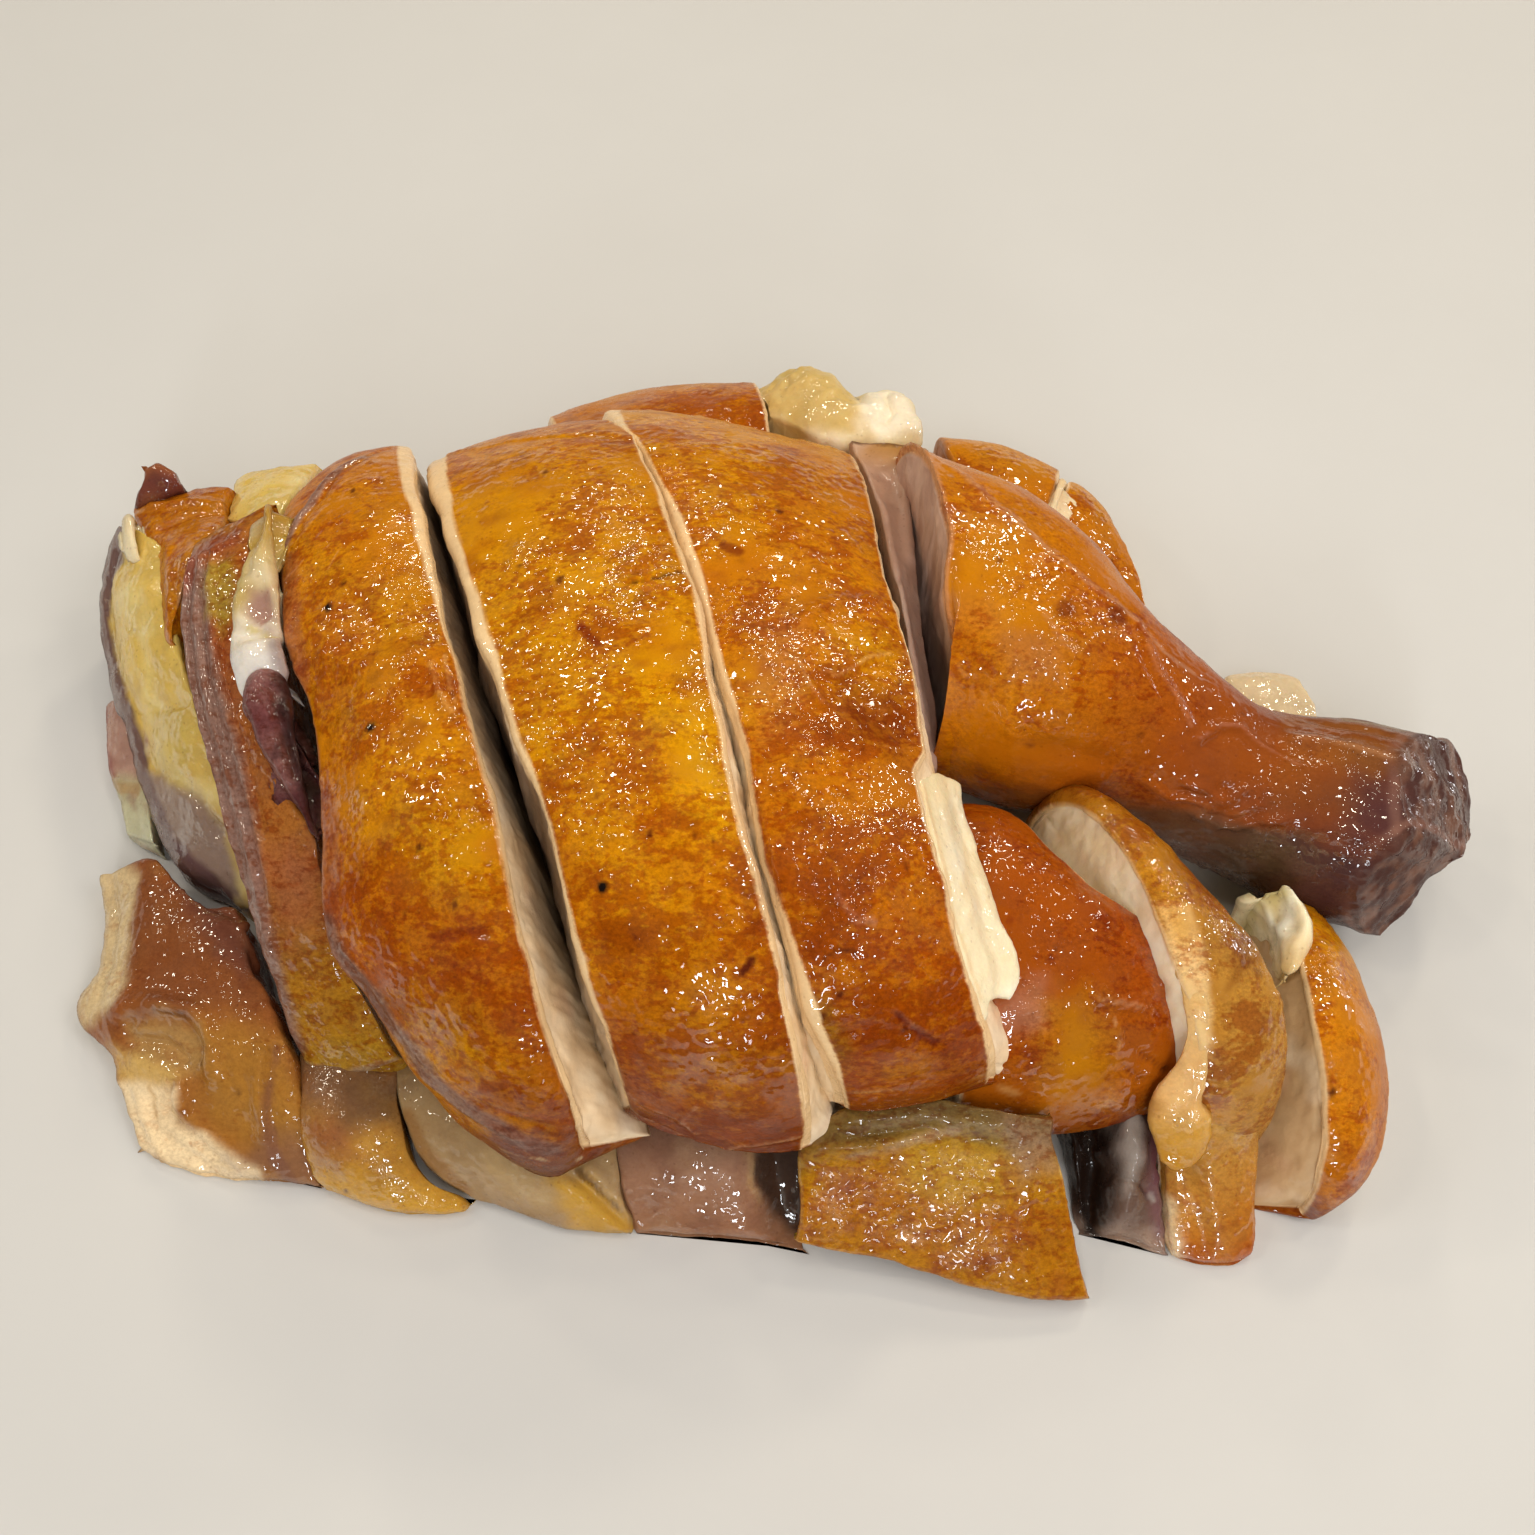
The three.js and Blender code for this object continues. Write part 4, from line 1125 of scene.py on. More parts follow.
PATCH = {
    "shoulder_low": dict(
        far=[(-103.8, 5.4, 6), (-98.6, 5.7, 9), (-94, 5.4, 11), (-88.7, 1.1, 12), (-83.7, -3, 13), (-78.9, -3.5, 13)],
        left=[(-103.8, 5.4, 6), (-102.7, 0.4, 5), (-101, -5.2, 4.5), (-101.2, -10.6, 4), (-103.2, -15, 3), (-101.6, -18.9, 3), (-97.9, -22.4, 3), (-94.4, -28.2, 2.5), (-90.7, -36.5, 1.5)],
        near=[(-90.7, -36.5, 1.5), (-87.9, -38.5, 1), (-82.7, -40.2, 1), (-76.6, -41, 1), (-71.8, -41.6, 1), (-64.1, -42.5, 1.5)],
        right=[(-78.9, -3.5, 13), (-75.4, -11.1, 14), (-71.8, -17.3, 14), (-68.8, -22.9, 13), (-66.3, -28.8, 11), (-64.7, -35.4, 7), (-64.1, -42.5, 1.5)],
        crown=3.2, round=(1.0, 0.5, 1.0, 1.6), wave=1.0, cut=(LEFT, NEAR), full=0.5,
        ridges=[
            ([(-94.4, -18.2, 8), (-88.2, -18.6, 12), (-81.6, -20.6, 14), (-78.8, -24.4, 13), (-78.1, -28.8, 11)], 1.6, 1.3),
            ([(-91.8, -21.8, 8), (-86.6, -23.2, 10), (-82.4, -24.8, 11)], 2.2, -1.5),
            ([(-91.5, -25.1, 7), (-85.3, -28.1, 9), (-82.8, -31.4, 8)], 1.5, 0.8),
            ([(-84.8, -28.8, 9), (-83.1, -33.6, 7), (-78.8, -37.2, 4), (-72, -40.1, 3)], 1.3, 0.7),
            ([(-72.3, -27.3, 13), (-71.1, -33.5, 10), (-70.4, -37.9, 6)], 2.0, 0.8),
        ],
    ),
    "fat_fold": dict(
        far=[(-68.1, -24.3, 9), (-61.6, -24.1, 10), (-57.3, -24.4, 10), (-53, -25, 10)],
        left=[(-68.1, -24.3, 9), (-66.5, -33, 8.5), (-66, -37.7, 5.5), (-64.5, -42.2, 1.5)],
        near=[(-64.5, -42.2, 1.5), (-61.7, -44, 1), (-57.2, -45.7, 1), (-51.5, -46.7, 1), (-46.7, -46.7, 1), (-42.9, -45.8, 1), (-41.7, -44.4, 1.5)],
        right=[(-53, -25, 10), (-51.8, -33.3, 8.5), (-50.4, -38, 6.5), (-47.4, -41.5, 4), (-44, -43, 2.5), (-41.7, -44.4, 1.5)],
        crown=3.6, round=(1.0, 1.0, 1.0, 2.4), wave=0.5,
    ),
    "under_slice_1": dict(
        far=[(-55.2, -24.5, 9.5), (-48.6, -26.8, 10), (-41.2, -30.3, 10), (-34.8, -32.9, 10), (-29.1, -34.6, 10), (-21.8, -35.2, 10)],
        left=[(-55.2, -24.5, 9.5), (-52.7, -33.4, 9), (-50.6, -38.2, 6), (-46.8, -41.6, 3.5), (-41.6, -44.3, 2)],
        near=[(-41.6, -44.3, 2), (-38.4, -45.4, 1.5), (-32.8, -46.9, 1), (-27.8, -48.3, 1), (-23.6, -48.9, 1), (-19.6, -48.9, 1.5)],
        right=[(-21.8, -35.2, 10), (-21.4, -42.1, 7), (-20.2, -46.1, 3.5), (-19.6, -48.9, 1.5)],
        crown=2.6, round=(1.0, 0.8, 1.0, 1.8), wave=0.5,
        ridges=[
            ([(-29.6, -43.5, 6), (-25.5, -45.5, 4.5), (-21.2, -48.3, 2.5)], 1.2, 0.9),
            ([(-27.5, -42, 8), (-24.1, -44.6, 6), (-20.3, -47.5, 3.5)], 0.9, -1.0),
            ([(-25.4, -41.6, 8), (-22.5, -44.3, 6), (-19.8, -47.2, 3.5)], 1.0, 0.8),
        ],
    ),
    "under_slice_2": dict(
        far=[(-23.2, -34.6, 10), (-18.7, -34.1, 11), (-10.4, -33.6, 11), (-2.2, -33.6, 11), (4.2, -33.8, 10)],
        left=[(-23.2, -34.6, 10), (-21.8, -42.9, 6.5), (-20.3, -46.5, 3), (-19.3, -48.9, 1.5)],
        near=[(-19.3, -48.9, 1.5), (-13.2, -49.4, 1), (-4.9, -49.8, 1), (3.5, -50.2, 1.5)],
        right=[(4.2, -33.8, 10), (3.9, -39.6, 7), (3.6, -45, 4), (3.5, -50.2, 1.5)],
        ridges=[([(-0.5, -35.7, 8), (0, -42.1, 6), (2, -47.6, 3)], 3.2, -3.4)],
        crown=2.4, round=(0.6, 1.0, 1.0, 1.8), wave=0.5,
    ),
    "skin_flap": dict(
        far=[(2.8, -41, 16), (6.1, -38.2, 19), (11, -36.4, 21), (20.2, -36, 22), (29.3, -37.1, 22), (36.8, -38.3, 20)],
        left=[(2.8, -41, 16), (2.7, -44.3, 13.5), (2.9, -48.2, 10.5), (2.4, -51.3, 8)],
        near=[(2.4, -51.3, 8), (11.3, -52.8, 6.5), (20.7, -55.4, 5), (28.1, -57, 4), (35.5, -57.8, 3.2), (42.7, -58, 3)],
        right=[(36.8, -38.3, 20), (37.2, -41, 18), (38.4, -44.6, 14.5), (39.8, -48.3, 11), (41.1, -52.5, 7), (42.7, -58, 3)],
        crown=1.2, round=(0.7, 0.7, 0.7, 0.7), wave=0.7, thick=2.2, full=0.5, belly=0.0,
        ridges=[
            ([(3.2, -41.3, 16), (9.8, -41.4, 17), (16.9, -40.7, 19), (24.1, -39.6, 20)], 1.0, 0.9),
            ([(9.7, -38.3, 20), (20.1, -38.2, 21.5), (29.2, -39.7, 21)], 0.9, 0.6),
            ([(11.1, -40, 18.5), (18.9, -39.6, 20), (30.7, -41.5, 19)], 0.8, -0.6),
            ([(30.6, -38.6, 21), (33.4, -41.7, 18), (34.9, -44.8, 15)], 1.6, 0.7),
        ],
    ),
    "thigh_slice_2_tail": dict(
        far=[(53.4, -33.6, 13.4), (57.4, -35.1, 19.8), (64.6, -34.8, 18.6)],
        left=[(53.4, -33.6, 13.4), (52.6, -38.4, 10), (53.2, -45.3, 5), (53.6, -49.4, 2.5), (54.6, -51.7, 1.5)],
        near=[(54.6, -51.7, 1.5), (58.2, -52.7, 1), (62.2, -53.1, 1), (65.9, -51.7, 1.5)],
        right=[(64.6, -34.8, 18.6), (66.5, -39, 9.5), (66, -46, 5), (65.9, -51.7, 1.5)],
        crown=1.2, round=(0.8, 0.8, 0.5, 1.6), wave=0.5, cut=(LEFT,),
        ridges=[([(55.8, -41.6, 9), (57.9, -46.2, 6), (58.8, -50.2, 3)], 1.4, -0.7)],
    ),
    "rib_bone": dict(
        far=[(39.8, -31.1, 9), (46.6, -30.6, 10), (53.4, -30.3, 10)],
        left=[(39.8, -31.1, 9), (41.5, -41.5, 4), (42.8, -48.2, 1.5)],
        near=[(42.8, -48.2, 1.5), (46.3, -48.9, 1), (50.3, -50.2, 1), (53.8, -51.6, 1.5)],
        right=[(53.4, -30.3, 10), (53.1, -39.6, 7), (53.2, -45.8, 4.5), (53.8, -51.6, 1.5)],
        crown=1.0, round=(0.6, 0.6, 0.6, 1.0), wave=0.8,
        bumps=[(*(49.8, -35.3, 9), 2.6, 1.6), (*(48.2, -43.2, 5), 2.4, 1.5), (*(50.7, -47.1, 4), 2.2, 1.4), (*(46.5, -46.1, 3), 2.0, 1.2), (*(51.3, -40.3, 7), 2.2, 1.2), (*(47.4, -38.2, 7), 2.0, 1.4)],
        ridges=[
            ([(48, -34.6, 9), (48.8, -40, 6), (47.5, -46.8, 3)], 1.8, 2.2),
            ([(48.9, -32.8, 10), (50.3, -36.7, 9), (49.8, -39.6, 7)], 0.8, 1.0),
            ([(46.1, -39.3, 6), (47.9, -42.5, 5), (51.6, -44, 5)], 0.8, -0.9),
            ([(44.8, -35.7, 8), (44.6, -41.8, 5), (44.2, -47.2, 2)], 2.6, -2.0),
            ([(52, -35.7, 8), (51.6, -41.8, 5)], 1.5, -0.8),
        ],
    ),
    "shoulder_cut": dict(
        far=[(-105.7, 59.5, 24), (-100.3, 55.4, 27), (-94.7, 50.2, 29)],
        left=[(-105.7, 59.5, 24), (-108.9, 57.4, 20), (-109.8, 52.2, 17), (-108.8, 43.4, 14), (-106.5, 36, 12), (-104, 29.7, 10), (-100.4, 22.3, 8.5), (-98.3, 16.8, 7), (-95.2, 9.7, 5.5), (-90, 4.4, 5), (-82.3, 0.6, 4)],
        right=[(-94.2, 50.2, 29), (-92.4, 40.9, 28), (-89.9, 34.1, 27), (-86.6, 25.7, 26), (-84.1, 18.8, 23), (-81.8, 12.5, 19), (-79.4, 6.3, 15), (-77.8, 1.7, 11), (-77.6, -1, 8)],
        near=[(-82.3, 0.6, 4), (-79.9, -0.5, 6), (-77.6, -1, 8)],
        crown=1.6, round=(0.8, 0.4, 0.8, 0.5), wave=0.6, full=0.4,
        bumps=[(*(-99.3, 43.9, 24), 6.0, 1.4), (*(-96.1, 33.9, 22), 6.0, 1.5), (*(-89.7, 19.2, 18), 5.5, 1.9), (*(-88.1, 9.1, 13), 6.5, 1.5)],
        ridges=[
            ([(-104.9, 54.2, 21), (-106.4, 48.4, 18), (-104.7, 40, 16), (-101.5, 33.7, 14), (-98.3, 28.7, 13), (-97.5, 22.6, 11), (-93.5, 18.1, 11), (-87.2, 13.3, 11), (-83, 7.8, 9)], 0.8, -1.1),
            ([(-94.5, 28.5, 19), (-96.5, 27.7, 16), (-88.2, 24.4, 22)], 0.9, -1.2),
            ([(-98.9, 38.4, 21), (-96.2, 32.7, 21), (-90.3, 27, 24)], 0.7, -0.4),
        ],
    ),
    "shoulder_top": dict(
        far=[(-104.3, 62.4, 24), (-99.4, 63.9, 25), (-92.8, 64.7, 26), (-87.3, 64.3, 27)],
        left=[(-104.3, 62.4, 24), (-101.6, 57.1, 25), (-98.2, 51.2, 26), (-94.8, 43.6, 27), (-91.9, 33.2, 27)],
        near=[(-91.9, 33.2, 27), (-91.2, 32.7, 27.5), (-90.5, 32.5, 28)],
        right=[(-87.3, 64.3, 27), (-86.7, 58.8, 29), (-85.5, 53.7, 31), (-86, 46.7, 34), (-87.9, 42.9, 34), (-89.4, 37.7, 31), (-90.5, 32.5, 28)],
        crown=1.6, round=(0.5, 0.5, 0.5, 0.3), wave=0.6, full=0.5, base=8,
        ridges=[
            ([(-100.2, 61.4, 26), (-94.1, 60.5, 27), (-87.2, 58.2, 29)], 0.8, 0.7),
            ([(-96.6, 54.6, 28), (-91, 55.8, 29), (-86, 55.8, 30)], 0.8, -0.6),
            ([(-93.6, 48.8, 29), (-92, 42, 29), (-91.3, 35.3, 28)], 0.9, 0.6),
        ],
    ),
    "neck_fat": dict(
        far=[(-89.4, 70.1, 22), (-87.1, 72.1, 22), (-81.8, 72.1, 23), (-75, 72, 24)],
        left=[(-89.4, 70.1, 22), (-88.4, 63.7, 25), (-87.4, 56.6, 28)],
        near=[(-87.4, 56.6, 28), (-83.4, 54.1, 30), (-80.3, 53.9, 31), (-76.9, 53.7, 32)],
        right=[(-75, 72, 24), (-75.1, 64, 28), (-75.7, 58.1, 31), (-76.9, 53.7, 32)],
        crown=1.6, round=(0.6, 0.6, 0.8, 0.6), wave=0.4,
    ),
    "side_scrap": dict(
        far=[(-109.5, 36.3, 6), (-107.3, 36, 8), (-104.9, 34.8, 9)],
        left=[(-109.5, 36.3, 6), (-108.2, 30, 5), (-106.6, 24, 4), (-104.5, 19.7, 3.5), (-102.6, 13.7, 2)],
        near=[(-102.6, 13.7, 2), (-99.6, 12.2, 3), (-96.6, 10.4, 5)],
        right=[(-104.9, 34.8, 9), (-101.5, 27.2, 8), (-98.7, 19.5, 7), (-96.6, 10.4, 5)],
        crown=0.8, round=(0.6, 0.4, 0.6, 0.8), wave=0.8,
    ),
    "wing_slice": dict(
        far=[(-87.8, 45.9, 35), (-83.8, 46.2, 38), (-78.7, 46.5, 41), (-74, 47.9, 43)],
        left=[(-87.8, 45.9, 35), (-87.7, 36.7, 36), (-86.5, 28.4, 35), (-83.4, 18.6, 34), (-80.3, 9.9, 32), (-77.1, 0.3, 29), (-74.4, -7, 25), (-72, -13.6, 21), (-70, -18.6, 17), (-68.3, -22.9, 13), (-66.6, -26.6, 9.5)],
        near=[(-66.6, -26.6, 9.5), (-64.3, -27.9, 9.5), (-60.2, -28.8, 10.5), (-56.1, -28.9, 12), (-51.9, -28, 14)],
        right=[(-74, 47.9, 43), (-73.2, 37.5, 42), (-70.7, 27.6, 41), (-69, 18.7, 39), (-66.2, 10.1, 37), (-63.8, 3.2, 35), (-62.3, -1.9, 33), (-61.3, -7.3, 30), (-60.4, -13.6, 26), (-58.1, -17.8, 22), (-54.9, -22.7, 18), (-51.9, -28, 14)],
        crown=1.8, round=(1.4, 0.6, 0.6, 1.2), wave=0.5, full=0.35, cut=(LEFT,), base=2,
        ridges=[
            ([(-87, 41.5, 37), (-85.7, 30.5, 37), (-82.8, 19, 36), (-79.3, 8.6, 34), (-76.3, -0.8, 31), (-73.5, -9.1, 26), (-71.4, -15.4, 20)], 0.55, 0.6),
            ([(-86.3, 41.5, 37), (-84.8, 30.5, 37), (-81.8, 19, 36), (-78.3, 8.6, 34), (-75.2, -0.8, 31), (-72.7, -9.1, 26)], 0.45, -0.6),
            ([(-84.5, 40.7, 38), (-83.4, 29.8, 38), (-80.3, 18.3, 37), (-76.7, 8, 35), (-73.4, -1.4, 32), (-71.4, -8.8, 27), (-69.7, -15.8, 21)], 0.6, 0.7),
            ([(-83.2, 39.9, 39), (-82.3, 29.8, 38), (-79.3, 18.3, 37), (-75.7, 8, 35), (-72.5, -1.4, 32), (-70.6, -8.8, 27)], 0.45, -0.6),
            ([(-82.3, 39.9, 39), (-80.8, 29, 39), (-77.8, 17.7, 38), (-74.1, 7.4, 36), (-70.8, -2.9, 32), (-69.3, -9.8, 26)], 0.6, 0.6),
            ([(-78.6, 25.5, 39), (-76.6, 17.7, 38), (-73, 7.4, 36), (-70.3, -2.1, 32)], 0.5, -0.6),
            ([(-84.3, 39.9, 39), (-81.9, 41.3, 40), (-78.3, 42, 42)], 0.6, 0.6),
            ([(-82.3, 32.6, 39), (-81.3, 36.4, 40), (-77.8, 37.9, 42)], 0.5, 0.6),
            ([(-67, 17.3, 36), (-66.7, 9.7, 35), (-63.6, 2.2, 34)], 2.2, -3.0),
            ([(-74.5, 13.3, 37), (-70.5, 7.5, 37), (-65.9, 1.1, 36), (-62.7, -3.5, 33)], 1.2, 0.8),
            ([(-66.7, -24.8, 14), (-63.6, -27, 12), (-56.8, -27.7, 14)], 1.3, -0.5),
        ],
    ),
    "wing_cartilage": dict(
        far=[(-74.9, 45.9, 44), (-73.9, 46.1, 44.5), (-72.8, 45.9, 44)],
        left=[(-74.9, 45.9, 44), (-74.8, 38.7, 44), (-76, 33.8, 44), (-76.5, 28.3, 43.5), (-76.3, 23, 42.5), (-76.1, 19.5, 41.5), (-74.7, 15.7, 41), (-73.4, 14, 40)],
        near=[(-73.4, 14, 40), (-70.5, 14, 41), (-67.4, 15, 42)],
        right=[(-72.8, 45.9, 44), (-71.1, 38.7, 44), (-69.5, 31, 43.5), (-69, 26.1, 43), (-67.6, 21, 43), (-66.8, 17.6, 42.5), (-67.4, 15, 42)],
        crown=1.8, round=(0.9, 0.9, 0.5, 0.9), wave=0.8, thick=4.0, belly=0.0,
        bumps=[(*(-72.9, 19.3, 42.5), 2.8, 1.6), (*(-69.4, 19.3, 43), 2.2, 1.0), (*(-71.8, 27.1, 44), 2.6, -1.9), (*(-73, 35.6, 44.5), 3.0, 0.9), (*(-74.8, 25.2, 43), 2.0, 0.8), (*(-69.7, 28.8, 44), 1.8, 0.8)],
        ridges=[([(-76.2, 24.8, 42), (-73, 22.7, 43), (-69.1, 23.7, 42.5)], 0.9, -1.0), ([(-74.2, 42.9, 44.5), (-73.9, 37.4, 44.5), (-74.4, 32.4, 44)], 0.8, -0.7), ([(-71.7, 33.3, 44), (-70, 27.5, 43.5), (-70.7, 24, 43)], 0.7, 0.7)],
    ),
    "wing_ball": dict(
        far=[(-72.7, 16.6, 42.5), (-70.4, 17.6, 43.5), (-67.7, 18, 42.5)],
        left=[(-72.7, 16.6, 42.5), (-72.6, 12.9, 41.5), (-71.4, 8.8, 39.5), (-69.3, 4.9, 37), (-66.2, 0.4, 35.5), (-63.3, -3.4, 34)],
        near=[(-63.3, -3.4, 34), (-62.1, -4, 34), (-61.3, -3.4, 33.5)],
        right=[(-67.7, 18, 42.5), (-65.7, 13.5, 40.5), (-64.5, 8.3, 38.5), (-63.2, 2.6, 36), (-61.3, -3.4, 33.5)],
        crown=1.8, round=(0.9, 0.9, 0.9, 0.5), wave=0.5, thick=5.0, belly=0.0,
        bumps=[(*(-69.9, 13.5, 43), 3.6, 1.4), (*(-67.9, 9.8, 40), 2.6, 0.8), (*(-65.7, 4.6, 38), 2.4, 0.7), (*(-67.2, 14, 41), 1.6, -1.0)],
        ridges=[([(-68.9, 14.3, 43), (-67.3, 9.8, 40), (-65, 3.6, 37)], 0.8, -0.9), ([(-71.4, 11.6, 41), (-69.4, 7.2, 39), (-66.3, 2.4, 36.5)], 0.7, 0.7), ([(-66.5, 13.2, 41), (-65.1, 8, 39), (-63.6, 2.4, 36.5)], 0.8, 0.6)],
    ),
    "breast_ledge": dict(
        far=[(18.3, -1.1, 47), (21.8, 1.8, 42), (25.4, 3.2, 37)],
        left=[(18.3, -1.1, 47), (18.8, -3.2, 46.5), (19.8, -7.9, 45.5), (21, -14.3, 44.5), (21.7, -19.5, 43.2), (23.5, -24.7, 39.8), (25.1, -28.2, 36.6), (26.5, -30.7, 33.8)],
        near=[(26.5, -30.7, 33.8), (27.4, -27.6, 34), (29.1, -26.2, 32), (30.6, -26.3, 31.4), (31.9, -23.7, 31.4)],
        right=[(25.4, 3.2, 37), (25.6, 1.3, 36.4), (26.2, -2.3, 35.4), (27.2, -5.8, 35), (28.5, -10.2, 34.8), (29.5, -15, 33.8), (31.7, -19.6, 32.4), (31.9, -23.7, 31.4)],
        crown=0.5, round=(0.3, 0.6, 0.3, 0.5), wave=0.45, thick=4.0, belly=0.0,
        ridges=[([(22.2, -2.4, 42), (23.6, -10.2, 40), (25.2, -17.8, 38), (27.5, -23.8, 34)], 1.2, 0.5), ([(23.8, -1.2, 40), (25.8, -9.6, 37.5), (27.2, -17.6, 36)], 0.9, -0.5)],
    ),
    "thigh_fat": dict(
        far=[(52.2, -20.5, 30.8), (54, -19.7, 31.6), (55.7, -20.8, 31.4)],
        left=[(52.2, -20.5, 30.8), (53.1, -25, 28.8), (53.8, -28.2, 26.2), (53.1, -31, 23.4), (51.5, -32.9, 21), (50, -35.1, 18.8), (49.6, -38.1, 16.2), (50.5, -40, 14.4), (51.4, -42.2, 12.8)],
        near=[(51.4, -42.2, 12.8), (53.4, -43.1, 12.2), (55.9, -42.4, 12.4), (57.8, -40.8, 13.2)],
        right=[(55.7, -20.8, 31.4), (56.7, -25.4, 29.6), (57, -29.3, 27), (57.4, -32.5, 24.4), (56.9, -34.8, 22.4), (56.4, -36.4, 20.8), (58.3, -37.8, 18.6), (58.4, -39.4, 16), (57.8, -40.8, 13.2)],
        crown=0.6, round=(0.4, 0.8, 0.6, 0.6), wave=0.9, thick=3.0, belly=0.2,
        bumps=[(*(55.8, -40.1, 16.5), 2.2, 0.9), (*(51.8, -39.5, 17), 2.6, 0.3), (*(53.2, -37, 19.5), 2.0, -0.5), (*(52.7, -41.8, 14), 2.0, 0.5), (*(55.4, -36, 22), 2.0, -0.4), (*(54.5, -31.5, 24), 2.6, 0.4), (*(54.8, -26.5, 29), 2.4, 0.3)],
    ),
    "purple_spike": dict(
        far=[(-100.3, 65.2, 30), (-98.6, 66.5, 30), (-96, 65.9, 29)],
        left=[(-100.3, 65.2, 30), (-101.9, 63.6, 27), (-103.3, 61.6, 25)],
        near=[(-103.3, 61.6, 25), (-98.8, 62.4, 26), (-94.6, 63.7, 26)],
        right=[(-96, 65.9, 29), (-95.1, 64, 28), (-94.6, 63.7, 26)],
        crown=1.2, round=(0.6, 0.6, 0.8, 0.3), wave=0.7, base=14,
    ),
    "cream_bit": dict(
        far=[(-103.7, 57.4, 27), (-102.3, 57.8, 28), (-101.2, 57, 28)],
        left=[(-103.7, 57.4, 27), (-102.6, 52.8, 26.5), (-101.9, 50.2, 26)],
        near=[(-101.9, 50.2, 26), (-100.4, 49, 26), (-99, 49.2, 27)],
        right=[(-101.2, 57, 28), (-99.7, 52.6, 28), (-99, 49.2, 27)],
        crown=1.4, round=(0.6, 0.6, 0.6, 0.6), wave=0.3, thick=3.0, belly=0.0,
    ),
    "back_chunk": dict(
        far=[(-3.8, 90.8, 22), (0.2, 92, 23), (4.4, 92.1, 24), (9.6, 91.2, 24), (12.2, 88.4, 24), (14.9, 87.9, 24), (18.7, 87.5, 24), (21.9, 86.6, 24)],
        left=[(-3.8, 90.8, 22), (-2.9, 85.6, 24), (-1, 81.1, 25)],
        near=[(-1, 81.1, 25), (4.2, 76.1, 26), (10.4, 71.7, 27), (17.2, 71.7, 27), (24.4, 73.7, 26)],
        right=[(21.9, 86.6, 24), (23.1, 82.4, 25), (24.2, 77.9, 26), (24.4, 73.7, 26)],
        crown=2.6, round=(0.9, 0.9, 0.9, 0.5), wave=1.1, full=0.4, belly=1.0,
        bumps=[(*(21.8, 81.5, 26), 2.2, 1.3), (*(17.7, 83.3, 26), 3.2, 1.2), (*(23.3, 77, 26), 2.4, 1.0), (*(5.7, 88.8, 25), 4.5, 1.2)],
        ridges=[([(11.6, 89.8, 24), (14.2, 86.1, 25), (14.7, 81.9, 26)], 1.0, -1.5), ([(18.2, 76.5, 27), (19.5, 79.2, 27), (18.4, 83.3, 26)], 0.9, -0.9)],
    ),
    "drum_shoulder": dict(
        far=[(11.8, 71.1, 31), (16.9, 70.2, 31.5), (20.8, 69.3, 32), (24.5, 68, 32)],
        left=[(11.8, 71.1, 31), (14.3, 62.6, 33), (16.7, 53.2, 34.5), (18.6, 39.3, 35), (20.2, 26.3, 33), (21.2, 17.8, 30), (21.9, 13.5, 26)],
        near=[(21.9, 13.5, 26), (22.4, 12.7, 26), (22.9, 12.1, 26), (23.5, 12.1, 26)],
        right=[(24.5, 68, 32), (22.8, 64.3, 31), (21.8, 56.5, 30.5), (21.8, 43.2, 30), (22.7, 29, 29), (23.6, 19.8, 27), (23.5, 12.1, 26)],
        crown=-0.4, round=(0.6, 0.5, 0.5, 0.4), wave=0.5, base=9,
        ridges=[([(20.6, 63.4, 32), (20.7, 54.1, 31), (21, 46.2, 31)], 1.2, 1.2), ([(18.7, 37.9, 32), (20.6, 24.8, 30), (21.9, 17.4, 28)], 0.9, 0.9)],
    ),
    "back_strip": dict(
        far=[(48.4, 75.4, 16), (49.2, 75.8, 16), (50, 74.9, 16)],
        left=[(48.4, 75.4, 16), (46, 68.8, 16.5), (42.9, 61.5, 17)],
        near=[(42.9, 61.5, 17), (43.5, 60.9, 17), (44.4, 61.1, 17)],
        right=[(50, 74.9, 16), (47.6, 67.9, 16.5), (44.4, 61.1, 17)],
        crown=1.0, round=(0.5, 0.5, 0.5, 0.5), wave=0.3, thick=5.0, belly=0.0,
    ),
    "thigh_knob": dict(
        far=[(66.9, -4.9, 18.6), (69.4, -4.8, 19.6), (70.8, -5.3, 22.1), (71.8, -5.7, 22.6), (73.3, -6.7, 21.6)],
        left=[(66.9, -4.9, 18.6), (68.5, -7.4, 18.1), (69.6, -10.1, 18.6), (69.5, -13.7, 19.6), (69.6, -17.2, 19.1)],
        near=[(69.6, -17.2, 19.1), (70.8, -18.2, 19.6), (72.8, -16.4, 19.6)],
        right=[(73.3, -6.7, 21.6), (75, -8.7, 21.1), (75.5, -11.1, 20.6), (74.5, -13.9, 20.1), (72.8, -16.4, 19.6)],
        crown=2.4, round=(0.8, 0.9, 0.8, 0.9), wave=0.9, base=3,
        bumps=[(*(71.2, -6.3, 22.6), 1.3, 1.8), (*(72.3, -9.4, 21.6), 2.0, 0.9), (*(73.3, -11.9, 21.1), 2.0, 0.9), (*(71.2, -14.2, 20.1), 2.0, 0.9), (*(69.1, -6.4, 19.6), 2.0, 0.3), (*(70.4, -9.2, 20.6), 1.2, -1.1), (*(71.7, -11.7, 20.6), 1.1, -0.8)],
    ),
}

